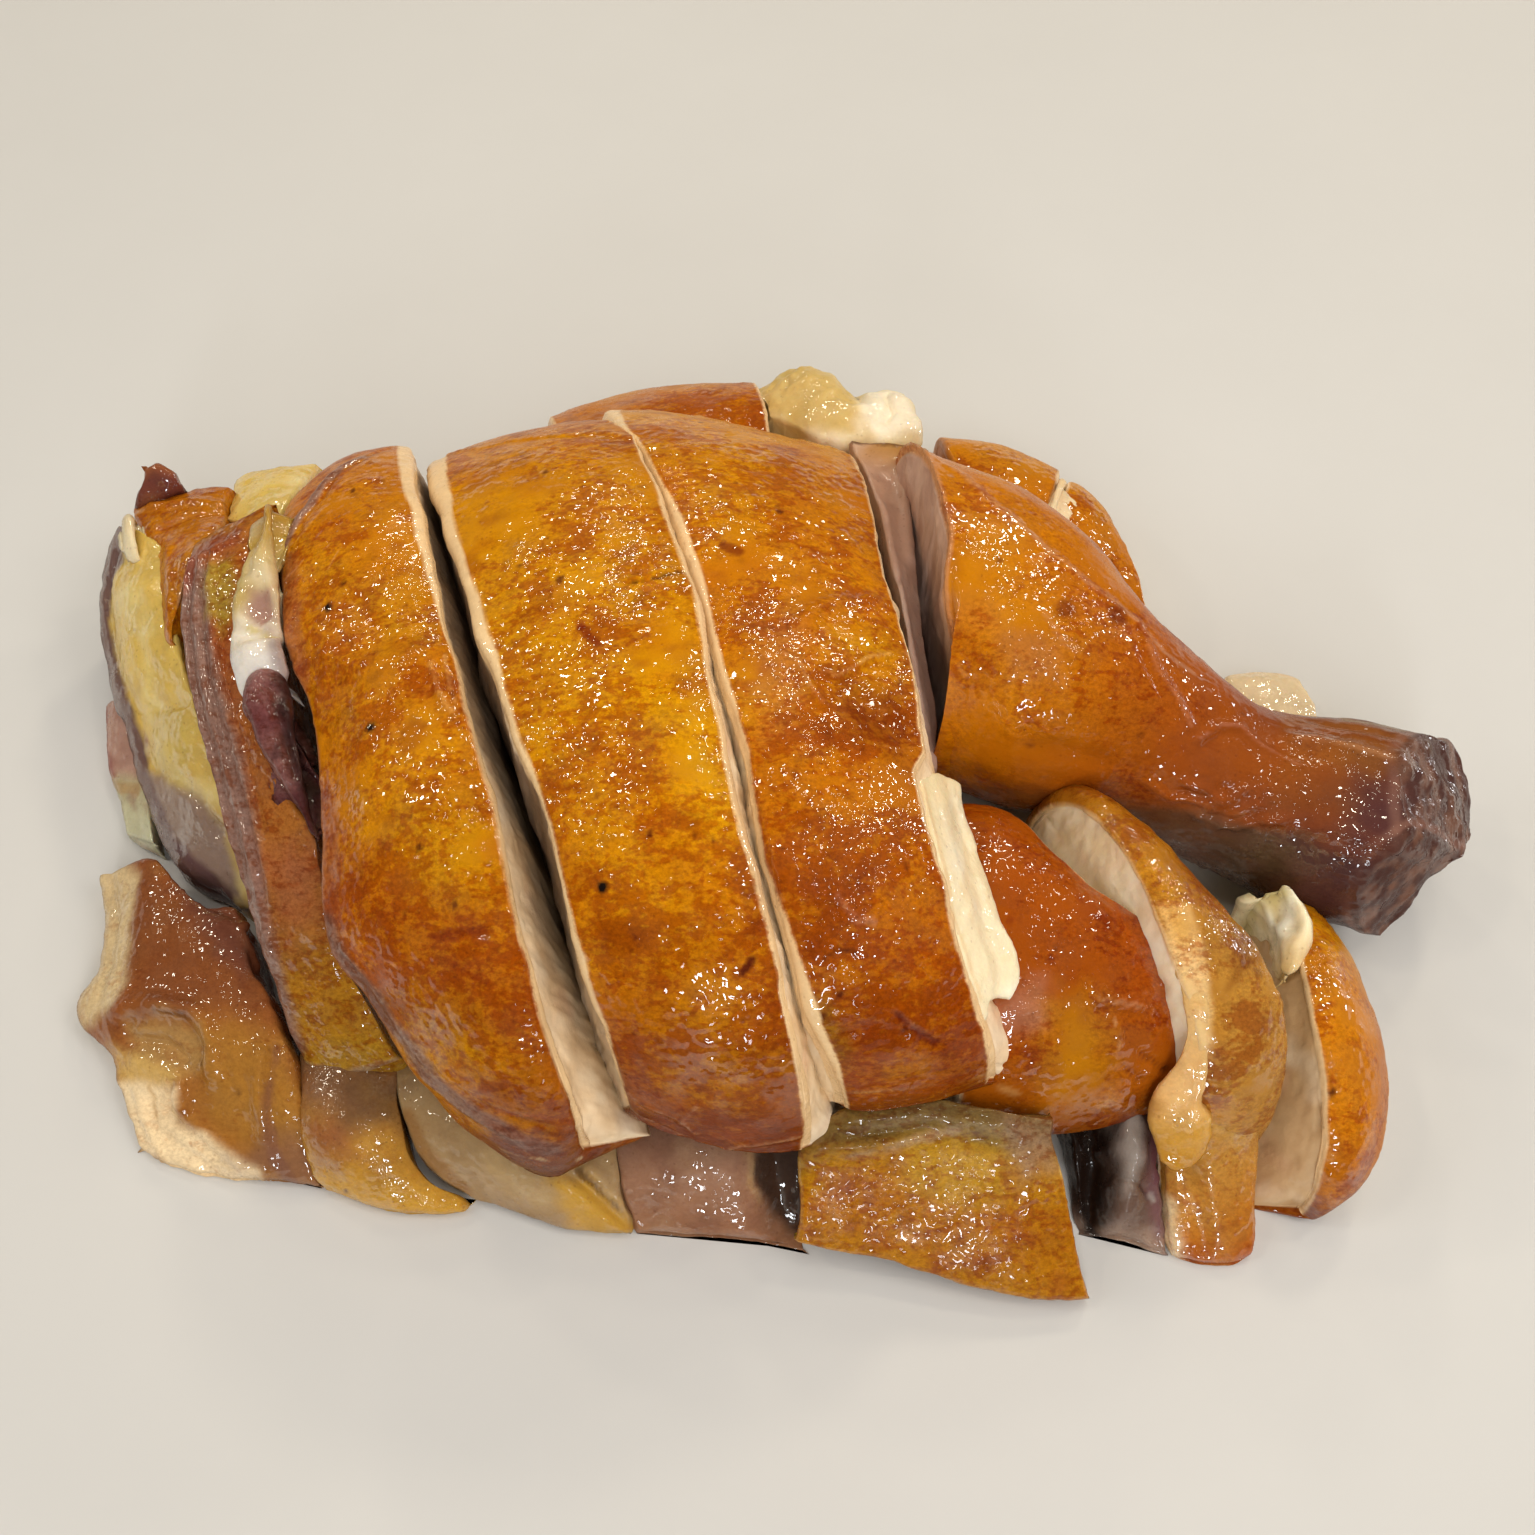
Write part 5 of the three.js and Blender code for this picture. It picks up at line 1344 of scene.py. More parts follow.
LEG = [
    (23.3, 42.2, 25, 25, 23),
    (30.6, 36.5, 25, 23, 22),
    (40.7, 27.4, 24, 19, 20),
    (54.7, 20.4, 21, 13.5, 16),
    (68, 14, 18, 12, 13),
    (81.3, 10, 16, 15, 14),
    (92.4, 7.6, 15, 15, 14),
    (99.6, 6.3, 13.5, 14.8, 13.4),
]
LEG_SQUARE, LEG_CUT, LEG_LEAN = 2.2, np.array([-0.19, 1.0]), 0.05


def unit(v):
    v = np.asarray(v, float)
    return v / np.linalg.norm(v, axis=-1, keepdims=True)


def limb(step=0.42, around=0.42):
    step, around = step * FINE, around * FINE
    st = np.array(LEG, float)
    m = len(st)
    ends = np.vstack([2 * st[0] - st[1], st, 2 * st[-1] - st[-2]])

    def at(t):
        i = np.minimum(m - 2, np.floor(t).astype(int))
        f = (t - i)[:, None]
        a, b, c, e = (ends[i + k] for k in range(4))
        return 0.5 * (2 * b + (c - a) * f + (2 * a - 5 * b + 4 * c - e) * f**2 + (3 * b - a - 3 * c + e) * f**3)

    tt = np.linspace(0, m - 1, 900)
    q = at(tt)
    cum = np.concatenate([[0], np.cumsum(np.linalg.norm(np.diff(q[:, :3], axis=0), axis=1))])
    length = cum[-1]
    nt = int(length / step)
    t = np.interp(np.linspace(0, length, nt + 1), cum, tt)
    q = at(t)
    dr = unit(at(np.minimum(m - 1, t + 0.2))[:, :3] - at(np.maximum(0, t - 0.2))[:, :3])
    w = sstep(0, 1, 1 - t / 2)[:, None]
    cut = unit([-LEG_CUT[0], -LEG_CUT[1], 0])
    side = unit(np.stack([dr[:, 1], -dr[:, 0], 0 * dr[:, 0]], 1))
    side = unit(side * (1 - w) + cut * w)
    up = np.cross(side, dr)
    up[:, 0] += LEG_LEAN * w[:, 0]
    up = unit(up)
    nk = int(2 * np.pi * 20 / around)
    g = np.linspace(0, 2 * np.pi, nk + 1)
    ca = np.sign(np.cos(g)) * np.abs(np.cos(g)) ** (2 / LEG_SQUARE)
    sa = np.sign(np.sin(g)) * np.abs(np.sin(g)) ** (2 / LEG_SQUARE)
    ca[-1], sa[-1] = ca[0], sa[0]
    ring = (
        q[:, None, :3]
        + side[:, None] * (q[:, 3, None] * ca[None])[:, :, None]
        + up[:, None] * (q[:, 4, None] * sa[None])[:, :, None]
    )
    ring[:, :, 2] = np.maximum(ring[:, :, 2], 0)
    S_ = np.linspace(0, 1, nt + 1)[:, None]
    U_ = np.linspace(0, 1, nk + 1)[None]
    el = (S_ * length) + 0 * U_
    grids = [Grid(ring, False, tag=TOP, dep=0.0, u=U_, s=S_, el=el, er=99.0)]
    # cut face: rings inwards
    cen = ring[0, :-1].mean(0)
    rad = np.linalg.norm(ring[0] - cen, axis=1).mean()
    rr = [0.0]
    h = 0.35 * FINE
    while rr[-1] < rad - h:
        rr.append(rr[-1] + h)
        if rr[-1] > 5:
            h = min(h * 1.1, 1.0)
    r = np.array(rr + [rad]) / rad
    face = ring[0][None] * (1 - r[:, None, None]) + cen[None, None] * r[:, None, None]
    grids.append(Grid(face, True, tag=LEFT, dep=(r * rad)[:, None], u=U_, s=0.0, el=0.0, er=99.0))
    # ankle: a blunt end, cut a little askew
    cen2 = ring[-1, :-1].mean(0)
    r2 = np.concatenate([np.linspace(1, 0.8, 11), np.linspace(0.77, 0, 22)])
    rel = ring[-1] - cen2
    skew = 0.16 * (rel @ np.array([0.25, 0.8, 0.3]))
    fwd = (3.4 + skew[None]) * (1 - r2[:, None] ** 4.0)
    dome = cen2[None, None] + rel[None] * r2[:, None, None] + dr[-1][None, None] * fwd[:, :, None]
    dome[-1] = dome[-1, :-1].mean(0)
    dome[:, :, 2] = np.maximum(dome[:, :, 2], 0)
    grids.append(Grid(dome, False, tag=NEAR, dep=0.0, u=U_, s=1.0, el=99.0, er=99.0))
    info = dict(length=length, width=120, side=np.array([-1.0, 0, 0]), along=dr[0], cut=(LEFT,), end=cen2, axis=dr[-1])
    return grids, None, info


def layers(c, pos, ls):
    """Painted areas, strokes and spots over a base colour: (kind, points, colour, strength, size mm)."""
    c = c.copy()
    for k, (kind, pts, colour, alpha, size) in enumerate(ls):
        lo, hi = np.min(pts, axis=0) - 2 * size - 2, np.max(pts, axis=0) + 2 * size + 2
        if kind == "area":
            lo[2], hi[2] = lo[2] - 12, hi[2] + 14
        near = ((pos > lo) & (pos < hi)).all(1)
        if not near.any():
            continue
        p = pos[near]
        if kind == "area":
            m = inside(p, pts, size, 0.5 * size, 60 + k)
        elif kind == "line":
            m = 1 - sstep(0.45, 1.15, line_distance(p, pts) / size + 0.35 * noise(p, size * 1.8, 60 + k))
        else:
            d = np.min([np.linalg.norm(p - np.array(q, float), axis=1) for q in pts], axis=0)
            m = 1 - sstep(0.5, 1.15, d / size + 0.3 * noise(p, size * 1.2, 60 + k))
        c[near] = blend(c[near], lin(colour), alpha * m)
    return c


def tissue(run, ls=(), glow="c89048", fleck="8a5a30", glow_a=0.4, fleck_a=0.35, meat_tone=(), rough=0.3, wet=0.8, mott=0.2, along="s", dull=(), shine=0.0):
    """Skin, fat or flesh of the pieces pressed round the slices, with painted layers."""

    def f(pos, n, v, meat, info, seed, o):
        c = ramp(v[along] + 0.05 * fbm(pos, 8.0, 2, seed + 29), [(x, lin(h)) for x, h in run])
        c = blend(c, lin(glow), glow_a * sstep(0.0, 0.6, fbm(pos, 10.0, 3, seed + 30)))
        c = blend(c, lin(fleck), fleck_a * sstep(0.1, 0.6, fbm(pos, 4.5, 3, seed + 31)))
        d, i = cells(pos, 6.0, seed + 33)
        c = blend(c, UMBER, 0.5 * mott * 2 * (i > 0.6) * (1 - sstep(0.03, 0.08, d)))
        c = layers(c, pos, ls)
        mc = cut_meat(pos, v, seed, *meat_tone)
        c = blend(c, mc, meat)
        r = rough + 0.08 * fbm(pos, 5.0, 2, seed + 36)
        r = r * (1 - meat) + 0.42 * meat
        w = np.clip(wet + 0.35 * fbm(pos, 7.0, 2, seed + 37), 0.1, 1) * (1 - meat) + 0.4 * meat
        for poly, rr, ww in dull:
            m = inside(pos, poly, 1.5)
            r = r * (1 - m) + rr * m
            w = w * (1 - m) + ww * m
        m = np.clip(mott + 0.5 * mott * fbm(pos, 9.0, 2, seed + 35), 0, 1)
        gl = sstep(0.0, 0.5, fbm(pos, 6.0, 2, seed + 71))
        return c, m, r, w, (0.34 + 0.45 * gl + shine * 0.8) * (1 - 0.4 * meat)

    return f


def leg_paint(pos, n, v, meat, info, seed, o):
    s = v["s"]
    face = v["tag"] == LEFT
    c = ramp(
        s + 0.05 * fbm(pos, 12.0, 2, seed),
        [
            (0.0, lin("c47408")),
            (0.18, lin("c07008")),
            (0.35, lin("ad5a0c")),
            (0.5, lin("9a4a12")),
            (0.62, lin("84401a")),
            (0.78, lin("6a3826")),
            (0.92, lin("4c2a26")),
            (1.0, lin("3c211e")),
        ],
    )
    c = blend(c, GOLD, 0.45 * sstep(0.0, 0.6, fbm(pos, 15.0, 3, seed + 1)) * (1 - sstep(0.15, 0.4, s)))
    c = blend(c, RUST, (0.5 - 0.4 * sstep(0.5, 0.72, s)) * sstep(0.0, 0.6, fbm(pos, 9.0, 3, seed + 2)))
    # the lower side round the leg is painted darker, purple-brown towards the ankle
    g = (v["u"] * 360 + 180) % 360 - 180
    edge = np.interp(s, [0.0, 0.2, 0.3, 0.48, 0.59, 0.72, 1.0], [-28, -18, 2, 12, 30, 42, 38])
    g = g + 6 * noise(pos, 9.0, seed + 3) + 3 * noise(pos, 2.5, seed + 5)
    below = sstep(edge + 7, edge - 7, g) * (g > -150)
    below = np.where(v["u"] * 360 > 330, 1.0 * (g < edge), below)
    dark = ramp(s, [(0.0, lin("7c4a16")), (0.3, lin("70401c")), (0.5, lin("6c4428")), (0.65, lin("5c4032")), (0.8, lin("482e2c")), (1.0, lin("3e2628"))])
    c = blend(c, dark, 0.92 * below * sstep(0.12, 0.4, s))
    c = blend(c, lin("8a4e1a"), 0.5 * below * (1 - sstep(0.2, 0.45, s)))
    c = blend(c, lin("7a5048"), 0.5 * sstep(0.80, 0.97, s) * (1 - below) * sstep(-0.2, 0.4, noise(pos, 6.0, seed + 8)))
    d, i = cells(pos, 6.0, seed + 33)
    c = blend(c, UMBER, 0.5 * (i > 0.6) * (1 - sstep(0.03, 0.09, d)))
    c = layers(c, pos, MARKS_LEG)
    mott = np.clip(0.30 + 0.8 * fbm(pos, 12.0, 2, seed + 35), 0, 1) * 0.8 * (1 - 0.7 * sstep(0.3, 0.6, s))
    for at, face_n in CHOPS:
        d = (pos - at) @ face_n
        m = sstep(-1.1, -0.3, d) * sstep(0.80, 0.88, s)
        c = blend(c, lin("4c302a"), 0.8 * m)
        c = blend(c, lin("805a48"), 0.7 * m * sstep(-0.1, 0.5, fbm(pos * [1, 0.4, 1], 3.0, 3, seed + 63)))
        c = blend(c, lin("8a6254"), 0.6 * sstep(-2.2, -1.4, d) * sstep(-0.5, -1.1, d) * sstep(0.80, 0.88, s))
    rimc = 1 - sstep(0.3, 1.2, v["el"] + 0.3 * noise(pos, 3.0, seed + 4))
    c = blend(c, lin("c98a5a"), 0.7 * rimc * (~face))
    streak = fbm(pos * [1, 1, 0.3], 4.0, 3, seed + 60)
    mc = blend(np.tile(lin("d8b8a4"), (len(pos), 1)), lin("b89484"), np.clip(0.5 + streak, 0, 1))
    mc = blend(mc, lin("f0d8cc"), 0.6 * sstep(0.15, 0.6, fbm(pos * [1, 1, 0.25], 6.0, 2, seed + 61)))
    mc = blend(mc, lin("a07068"), 0.5 * sstep(0.25, 0.7, fbm(pos * [1, 1, 0.4], 7.0, 2, seed + 62)))
    c = blend(c, np.tile(lin("d09a6c"), (len(pos), 1)), np.where(face, 0.8, 0))
    c = blend(c, mc, meat)
    rough = 0.27 + 0.10 * fbm(pos, 7.0, 2, seed + 36)
    rough = rough * (1 - meat) + 0.42 * meat
    wet = np.clip(0.5 + 0.7 * fbm(pos, 12.0, 2, seed + 37), 0.15, 1) * (1 - meat) + 0.35 * meat
    sp = wet_field(pos, WET_LEG) * (1 - meat)
    gl = sstep(0.05, 0.5, fbm(pos, 8.0, 2, seed + 71))
    return c, mott, rough - 0.06 * sp, np.maximum(wet, sp), 0.32 + 0.40 * gl + 0.6 * sp


def place(ob):
    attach(ob, "root")
    return ob


# run1 to run3 go from the far end (0) to the near end (1) and darken at the near end: partly the darker braise there,
# partly painted shade of the ends that slope down
run1 = [(0, lin("a85a08")), (0.12, lin("c07208")), (0.35, lin("c87c08")), (0.6, lin("c07208")), (0.8, lin("b46408")), (0.93, lin("8f4a0c")), (1, lin("6b340c"))]
run2 = [(0, lin("b06408")), (0.1, lin("c87c06")), (0.35, lin("d08806")), (0.6, lin("d08c04")), (0.8, lin("bd6e06")), (0.92, lin("9a500a")), (1, lin("7a3c0a"))]
run3 = [(0, lin("c47c06")), (0.1, lin("d08c06")), (0.3, lin("cc8606")), (0.5, lin("c27408")), (0.8, lin("b86808")), (0.93, lin("9c520a")), (1, lin("86440a"))]
runr = [(0, lin("98480a")), (0.3, lin("9e4c08")), (0.6, lin("9a480a")), (0.85, lin("a05208")), (1, lin("86400c"))]
runh = [(0, lin("ac741c")), (0.3, lin("b47a20")), (0.7, lin("ac722a")), (1, lin("a46e2c"))]
runw = [(0, lin("6f5240")), (0.25, lin("80593c")), (0.5, lin("985c2c")), (0.75, lin("9c6024")), (0.9, lin("a8701c")), (1, lin("a86c20"))]
runf = [(0, lin("dcb45a")), (0.5, lin("d9b25c")), (1, lin("c79a48"))]
runfold = [(0, lin("a06a24")), (0.5, lin("a8702a")), (1, lin("c08a34"))]
runu1 = [(0, lin("8a6238")), (0.5, lin("a87e4c")), (1, lin("b08a58"))]
runu2 = [(0, lin("7c5238")), (0.5, lin("8f6645")), (1, lin("9a7450"))]

made = []


def add(cad, name=None, seed=1, paint=None, material=None, hires=1.0, step=0.55, **over):
    key = name or cad
    if key in PATCH:
        grids, Bp, info = patch(PATCH[key], step, seed)
        over["patch"] = True
    else:
        grids, Bp, info = slab(S[key], step=0.46 * hires, fine=0.32 * hires, rim=over.pop("rim", (0.7, 0.7)), wall=(0.36 * hires, 2.2))
    ob = make(key + "_piece", grids, Bp, info, seed, paint, material or SKIN, **over)
    place(ob)
    made.append(ob)
    if key == cad:
        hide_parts(cad)
    return ob


# painted marks, ridges and wet rough places on the three long slices; the faint pale strokes (strength about 0.2 to
# 0.4) that lie along the ridges are painted highlights of the wet wrinkles
MARKS_1 = [
    ("area", [(-61.9, 29.9, 47.2), (-51.3, 26.9, 49.9), (-45.3, 17.1, 50.8), (-49.7, 14.1, 50.5), (-73.7, 47.9, 7.7)], "c8920c", 0.4, 4.0),
    ("area", [(-47.8, -5.8, 48), (-37.1, -7.3, 50.7), (-33.5, -17.2, 48.1), (-41.7, -19.5, 45.8), (-49.4, -14, 44.5)], "cc9206", 0.55, 4.0),
    ("area", [(-50.7, -27, 33.5), (-37.8, -31, 39.9), (-36.8, -35.9, 35.6), (-44, -34.2, 31.1)], "a88410", 0.45, 4.0),
    ("area", [(-50.1, 17.5, 50.2), (-44.4, 15.2, 51.1), (-42.8, 7, 51.6), (-49.4, 9.9, 49.6)], "a84c08", 0.5, 2.5),
    ("area", [(-61.1, -10.8, 20.1), (-37.8, -22.1, 45.6), (-30.2, -29.4, 42.4), (-29.3, -38.1, 34.8), (-37, -37.5, 33), (-44.7, -29.7, 36.7)], "a2560a", 0.4, 4.0),
    ("line", [(-69.5, 36.6, 43.2), (-68, 25.8, 43.4), (-65.7, 16.6, 42), (-69.3, 19.9, 21.2), (-59.6, -1.8, 41), (-58.1, -10, 39.6), (-57.5, -16.8, 37.3)], "9c5436", 0.60, 2.40),
    ("line", [(-71.2, 40, 42.3), (-70.5, 43.7, 42.6), (-68.4, 47.3, 43), (-67.4, 52.1, 42.1), (-65, 56.9, 41.2), (-61.2, 60.9, 40.3), (-58.2, 62.5, 39.7)], "84665e", 0.85, 1.10),
    ("line", [(-70.4, 39.6, 42.9), (-67.8, 41.1, 44.3), (-65.8, 45, 44.7)], "e0b486", 0.32, 0.24),
    ("line", [(-70.2, 41.7, 42.8), (-69.5, 45.1, 42.9), (-67.4, 49.2, 42.9), (-66.7, 54.4, 41.7), (-63.5, 58.2, 40.6), (-60.7, 64.9, 36.4)], "c9a898", 0.27, 0.28),
    ("line", [(-63.2, 46.1, 45.1), (-63.1, 49.3, 44.5)], "dca070", 0.27, 0.24),
    ("line", [(-62.7, 32.2, 46.9), (-61.5, 35, 47.2)], "dca070", 0.27, 0.21),
    ("line", [(-70, 33.1, 42.6), (-68.8, 34.1, 43.6), (-67.3, 35.4, 44.6)], "d8a07c", 0.27, 0.28),
    ("line", [(-45.5, 13.3, 51.2), (-44.3, 9.5, 51.2), (-42.5, 6.1, 51.6), (-40.4, 4.3, 51.3)], "e0a860", 0.34, 0.42),
    ("line", [(-43.8, 14.5, 51), (-42.7, 10, 51.3), (-41.6, 7.2, 51.3)], "e6b878", 0.27, 0.35),
    ("line", [(-58.4, -17.5, 35.9), (-55.9, -21.9, 35.2), (-52.7, -25.4, 33.6), (-49.9, -28.6, 31.7), (-47.3, -32.1, 30.7), (-44.4, -35.5, 28.1), (-39.7, -38.9, 26.7), (-34.2, -42, 25.6), (-29.3, -43.3, 23)], "7d6057", 0.85, 2.30),
    ("line", [(-57.4, -19.1, 36.1), (-54.3, -23.2, 35.8), (-50.7, -27, 33.5), (-47.8, -31, 31.5), (-45, -34, 30)], "b49c8e", 0.32, 0.28),
    ("line", [(-55.4, -21.8, 35.9), (-51.6, -25.7, 35.2), (-48.5, -29.5, 32.9), (-45.6, -33.1, 31.1), (-41.6, -36.3, 30.4), (-37.2, -38.5, 31.3)], "a88c7c", 0.27, 0.24),
    ("line", [(-47.9, -32.3, 28.9), (-44, -35.5, 29), (-39.7, -37.6, 30.5), (-35.6, -39, 31.4)], "d0a878", 0.27, 0.28),
    ("line", [(-45.9, -35, 26.9), (-41.8, -38, 25.4), (-36.8, -41, 25.6), (-32.7, -42.9, 25.1)], "b49a8a", 0.27, 0.32),
    ("area", [(-39.6, -37.2, 31.4), (-31.8, -38.1, 34.6), (-26.3, -39.6, 31.5), (-25.5, -41.4, 18.9), (-30.2, -43.1, 24.1), (-36.4, -40.6, 26.8)], "7a3214", 0.7, 2.0),
    ("line", [(-34.9, -40.1, 29.2), (-29.7, -41.1, 29.9), (-26.1, -40.9, 27.7)], "9c4a26", 0.60, 0.50),
    ("line", [(-34.5, -41.5, 26.3), (-29.3, -42.2, 27.1), (-25.7, -41.8, 25)], "5e2410", 0.60, 0.50),
    ("line", [(-35.8, -42.2, 19.6), (-30.6, -43.5, 20.5), (-25.8, -42.6, 17.4)], "e4cda0", 0.41, 0.49),
    ("spot", [(-61.8, 25.4, 47), (-53.1, 5.3, 47.8)], "0c0604", 1.0, 0.85),
    ("spot", [(-61.7, 48, 44.9), (-44.8, -12.3, 47.2), (-59.8, 28.7, 48), (-39.7, -19.8, 46.4)], "5a2408", 0.85, 0.6),
    ("line", [(-43, -22.8, 43.2), (-39.7, -22.8, 44.4), (-35.9, -22.8, 45.4)], "8a3806", 0.65, 0.70),
    ("line", [(-39.7, -26.1, 42.4), (-37.8, -27.3, 42), (-35.7, -28.5, 42.4)], "8a3806", 0.60, 0.70),
]
FOLDS_1 = [
    ([(-70.4, 39.6, 42.9), (-67.8, 41.1, 44.3), (-65.8, 45, 44.7)], 0.5, 0.3),
    ([(-71.2, 40, 42.3), (-70.5, 43.7, 42.6), (-68.4, 47.3, 43), (-67.4, 52.1, 42.1), (-65, 56.9, 41.2), (-61.2, 60.9, 40.3), (-58.2, 62.5, 39.7)], 0.8, 0.5),
    ([(-69.4, 40.1, 43.4), (-68.8, 44.5, 43), (-66.6, 48.4, 43.3), (-65.8, 54.5, 41.7), (-62.8, 57.6, 40.8), (-59.9, 63.1, 37.4)], 0.6, -0.35),
    ([(-45.5, 13.3, 51.2), (-44.3, 9.5, 51.2), (-42.5, 6.1, 51.6), (-40.4, 4.3, 51.3)], 0.6, 0.35),
    ([(-44.6, 13.8, 50.9), (-43.5, 9.9, 51.1), (-42, 6.9, 51.3)], 0.4, -0.25),
    ([(-57.4, -19.1, 36.1), (-54.3, -23.2, 35.8), (-50.7, -27, 33.5), (-47.8, -31, 31.5), (-45, -34, 30)], 0.6, 0.5),
    ([(-56.5, -20.3, 35.8), (-53.1, -24.2, 35), (-49.6, -28.3, 33.4), (-46.8, -32, 31.1), (-43.3, -35.1, 30.2)], 0.45, -0.4),
    ([(-55.4, -21.8, 35.9), (-51.6, -25.7, 35.2), (-48.5, -29.5, 32.9), (-45.6, -33.1, 31.1), (-41.6, -36.3, 30.4), (-37.2, -38.5, 31.3)], 0.5, 0.4),
    ([(-45.9, -35, 26.9), (-41.8, -38, 25.4), (-36.8, -41, 25.6), (-32.7, -42.9, 25.1)], 0.6, 0.45),
    ([(-38.9, -38.2, 28.5), (-34.8, -40.3, 29.2), (-29.8, -41.7, 28.5), (-25.6, -41.1, 25.3)], 0.5, -0.35),
    ([(-43, -22.8, 43.2), (-39.7, -22.8, 44.4), (-35.9, -22.8, 45.4)], 0.8, -0.35),
    ([(-62, 18.3, 45.6), (-55.5, 15, 48.7), (-49.7, 14.8, 50.7), (-44.5, 16, 51.2)], 1.6, 0.45),
    ([(-59.5, 13.2, 44.7), (-52.1, 9.1, 48.4), (-45.2, 9.2, 50.7)], 2.0, -0.4),
]
WET_1 = [
    [(-51.3, 31.7, 49.3), (-47.7, 30, 49.3), (-44.1, 19.4, 47.6), (-46.3, 13.7, 51), (-49.4, 22.6, 50.1)],
    [(-56.4, -0.5, 44), (-51.5, -3.6, 46.8), (-51.4, -11.2, 44.6), (-64.3, 4.5, 12.1)],
    [(-39.7, -20.9, 45.7), (-35.2, -21.3, 46.6), (-35.2, -24.5, 44.8), (-39.7, -24, 43.8)],
    [(-55.4, 35.8, 48.7), (-52.9, 37.9, 48.3), (-51.6, 28.8, 49.7), (-54.3, 28.2, 49.5)],
]
MARKS_2 = [
    ("area", [(-40, 49.8, 47.4), (-25.4, 51.8, 49.4), (-18.5, 34.2, 54.9), (-29, 27.7, 54.4), (-39.4, 33.7, 51.3)], "cc8404", 0.5, 5.0),
    ("area", [(-37, 24.1, 52.6), (-28.4, 20.3, 55.3), (-22.2, 4.9, 57), (-24.3, -4.2, 55.1), (-32.7, 5.7, 53.6)], "cf8a06", 0.5, 4.0),
    ("area", [(-14.6, 3.1, 57.5), (-7.7, 0.6, 56.8), (-4.8, -7.6, 51.2), (-3.6, -13.5, 43.6), (-9.3, -16.3, 54.3), (-13.3, -6.5, 56.6)], "dc9c04", 0.65, 4.0),
    ("area", [(-24.2, 17.8, 56.5), (-15.1, 17.3, 57.2), (-11, 9.3, 57.4), (-22.4, 9.5, 57.1)], "a84e04", 0.4, 3.0),
    ("area", [(-21.4, -21.1, 50.3), (-6.8, -25.1, 50.4), (-0.8, -32.6, 43.7), (1.7, -40.6, 30.7), (-17.5, -38.9, 25.9), (-19, -31.3, 43.7)], "9c4e06", 0.4, 6.0),
    ("area", [(-16.9, -36.3, 36.7), (1.6, -36.9, 38.5), (3, -41.4, 27.2), (-17.6, -37.4, 15.2)], "74360a", 0.45, 4.0),
    ("line", [(-17.5, -37.8, 10.5), (-13.1, -38.7, 10.8), (-4.7, -42.9, 22.6), (2.8, -42.1, 24.3)], "d6a878", 0.38, 0.49),
    ("line", [(-19.2, -38, 29.3), (-16, -39.4, 28), (-12.2, -41.3, 27.4), (-10.3, -41.5, 24.1)], "d8b090", 0.36, 0.28),
    ("line", [(-19.4, -37.1, 22.2), (-15.7, -39.9, 23.1), (-11.2, -41.2, 21)], "b98868", 0.70, 0.50),
    ("line", [(-9.9, -40.5, 31.9), (-11.7, -41.1, 28.3), (-12.9, -41.2, 24.7)], "d0a080", 0.27, 0.28),
    ("area", [(-19.5, -36.6, 23.7), (-14.7, -40.1, 28.4), (-11, -41.6, 25.1), (-17, -38, 13.2)], "8a4632", 0.5, 1.2),
    ("line", [(-50.8, 63.2, 35.7), (-44.9, 60.4, 40.9), (-38.4, 60, 43.3), (-32.2, 59.3, 45.1), (-26, 58.6, 46.2), (-21.4, 56.3, 47.7)], "d8bca4", 0.34, 0.32),
    ("line", [(-49.2, 56.9, 41.2), (-42.6, 57, 43.7), (-35.1, 57.8, 45), (-25.9, 56.7, 47.1)], "b89078", 0.23, 0.35),
    ("spot", [(-21.1, -19.7, 51.1)], "120804", 1.0, 0.9),
    ("spot", [(-32.9, 47, 50.1), (-25.4, 15, 56.5), (-15.3, -14.4, 54.5), (-28.7, 24.2, 55), (-28.7, 23.7, 55)], "5a1e08", 0.85, 0.6),
    ("line", [(-4.2, -29.1, 47.2), (-3.6, -28.6, 47.7), (-3, -27.9, 48)], "5a1a0a", 0.90, 0.60),
    ("line", [(-25.4, 15.5, 56.4), (-24.2, 13.7, 56.7), (-23, 12.4, 57)], "8a2a0a", 0.80, 0.80),
    ("line", [(-19.5, 22, 56.2), (-17.3, 22.6, 56.2), (-14.7, 23.6, 56.2), (-12.5, 24.5, 55.9)], "5a300c", 0.85, 0.30),
    ("area", [(-21.4, -23.3, 49.3), (-15.2, -25.5, 49.8), (-16.5, -27.2, 47.9), (-21.4, -26.3, 47.4)], "8a3c04", 0.5, 1.5),
]
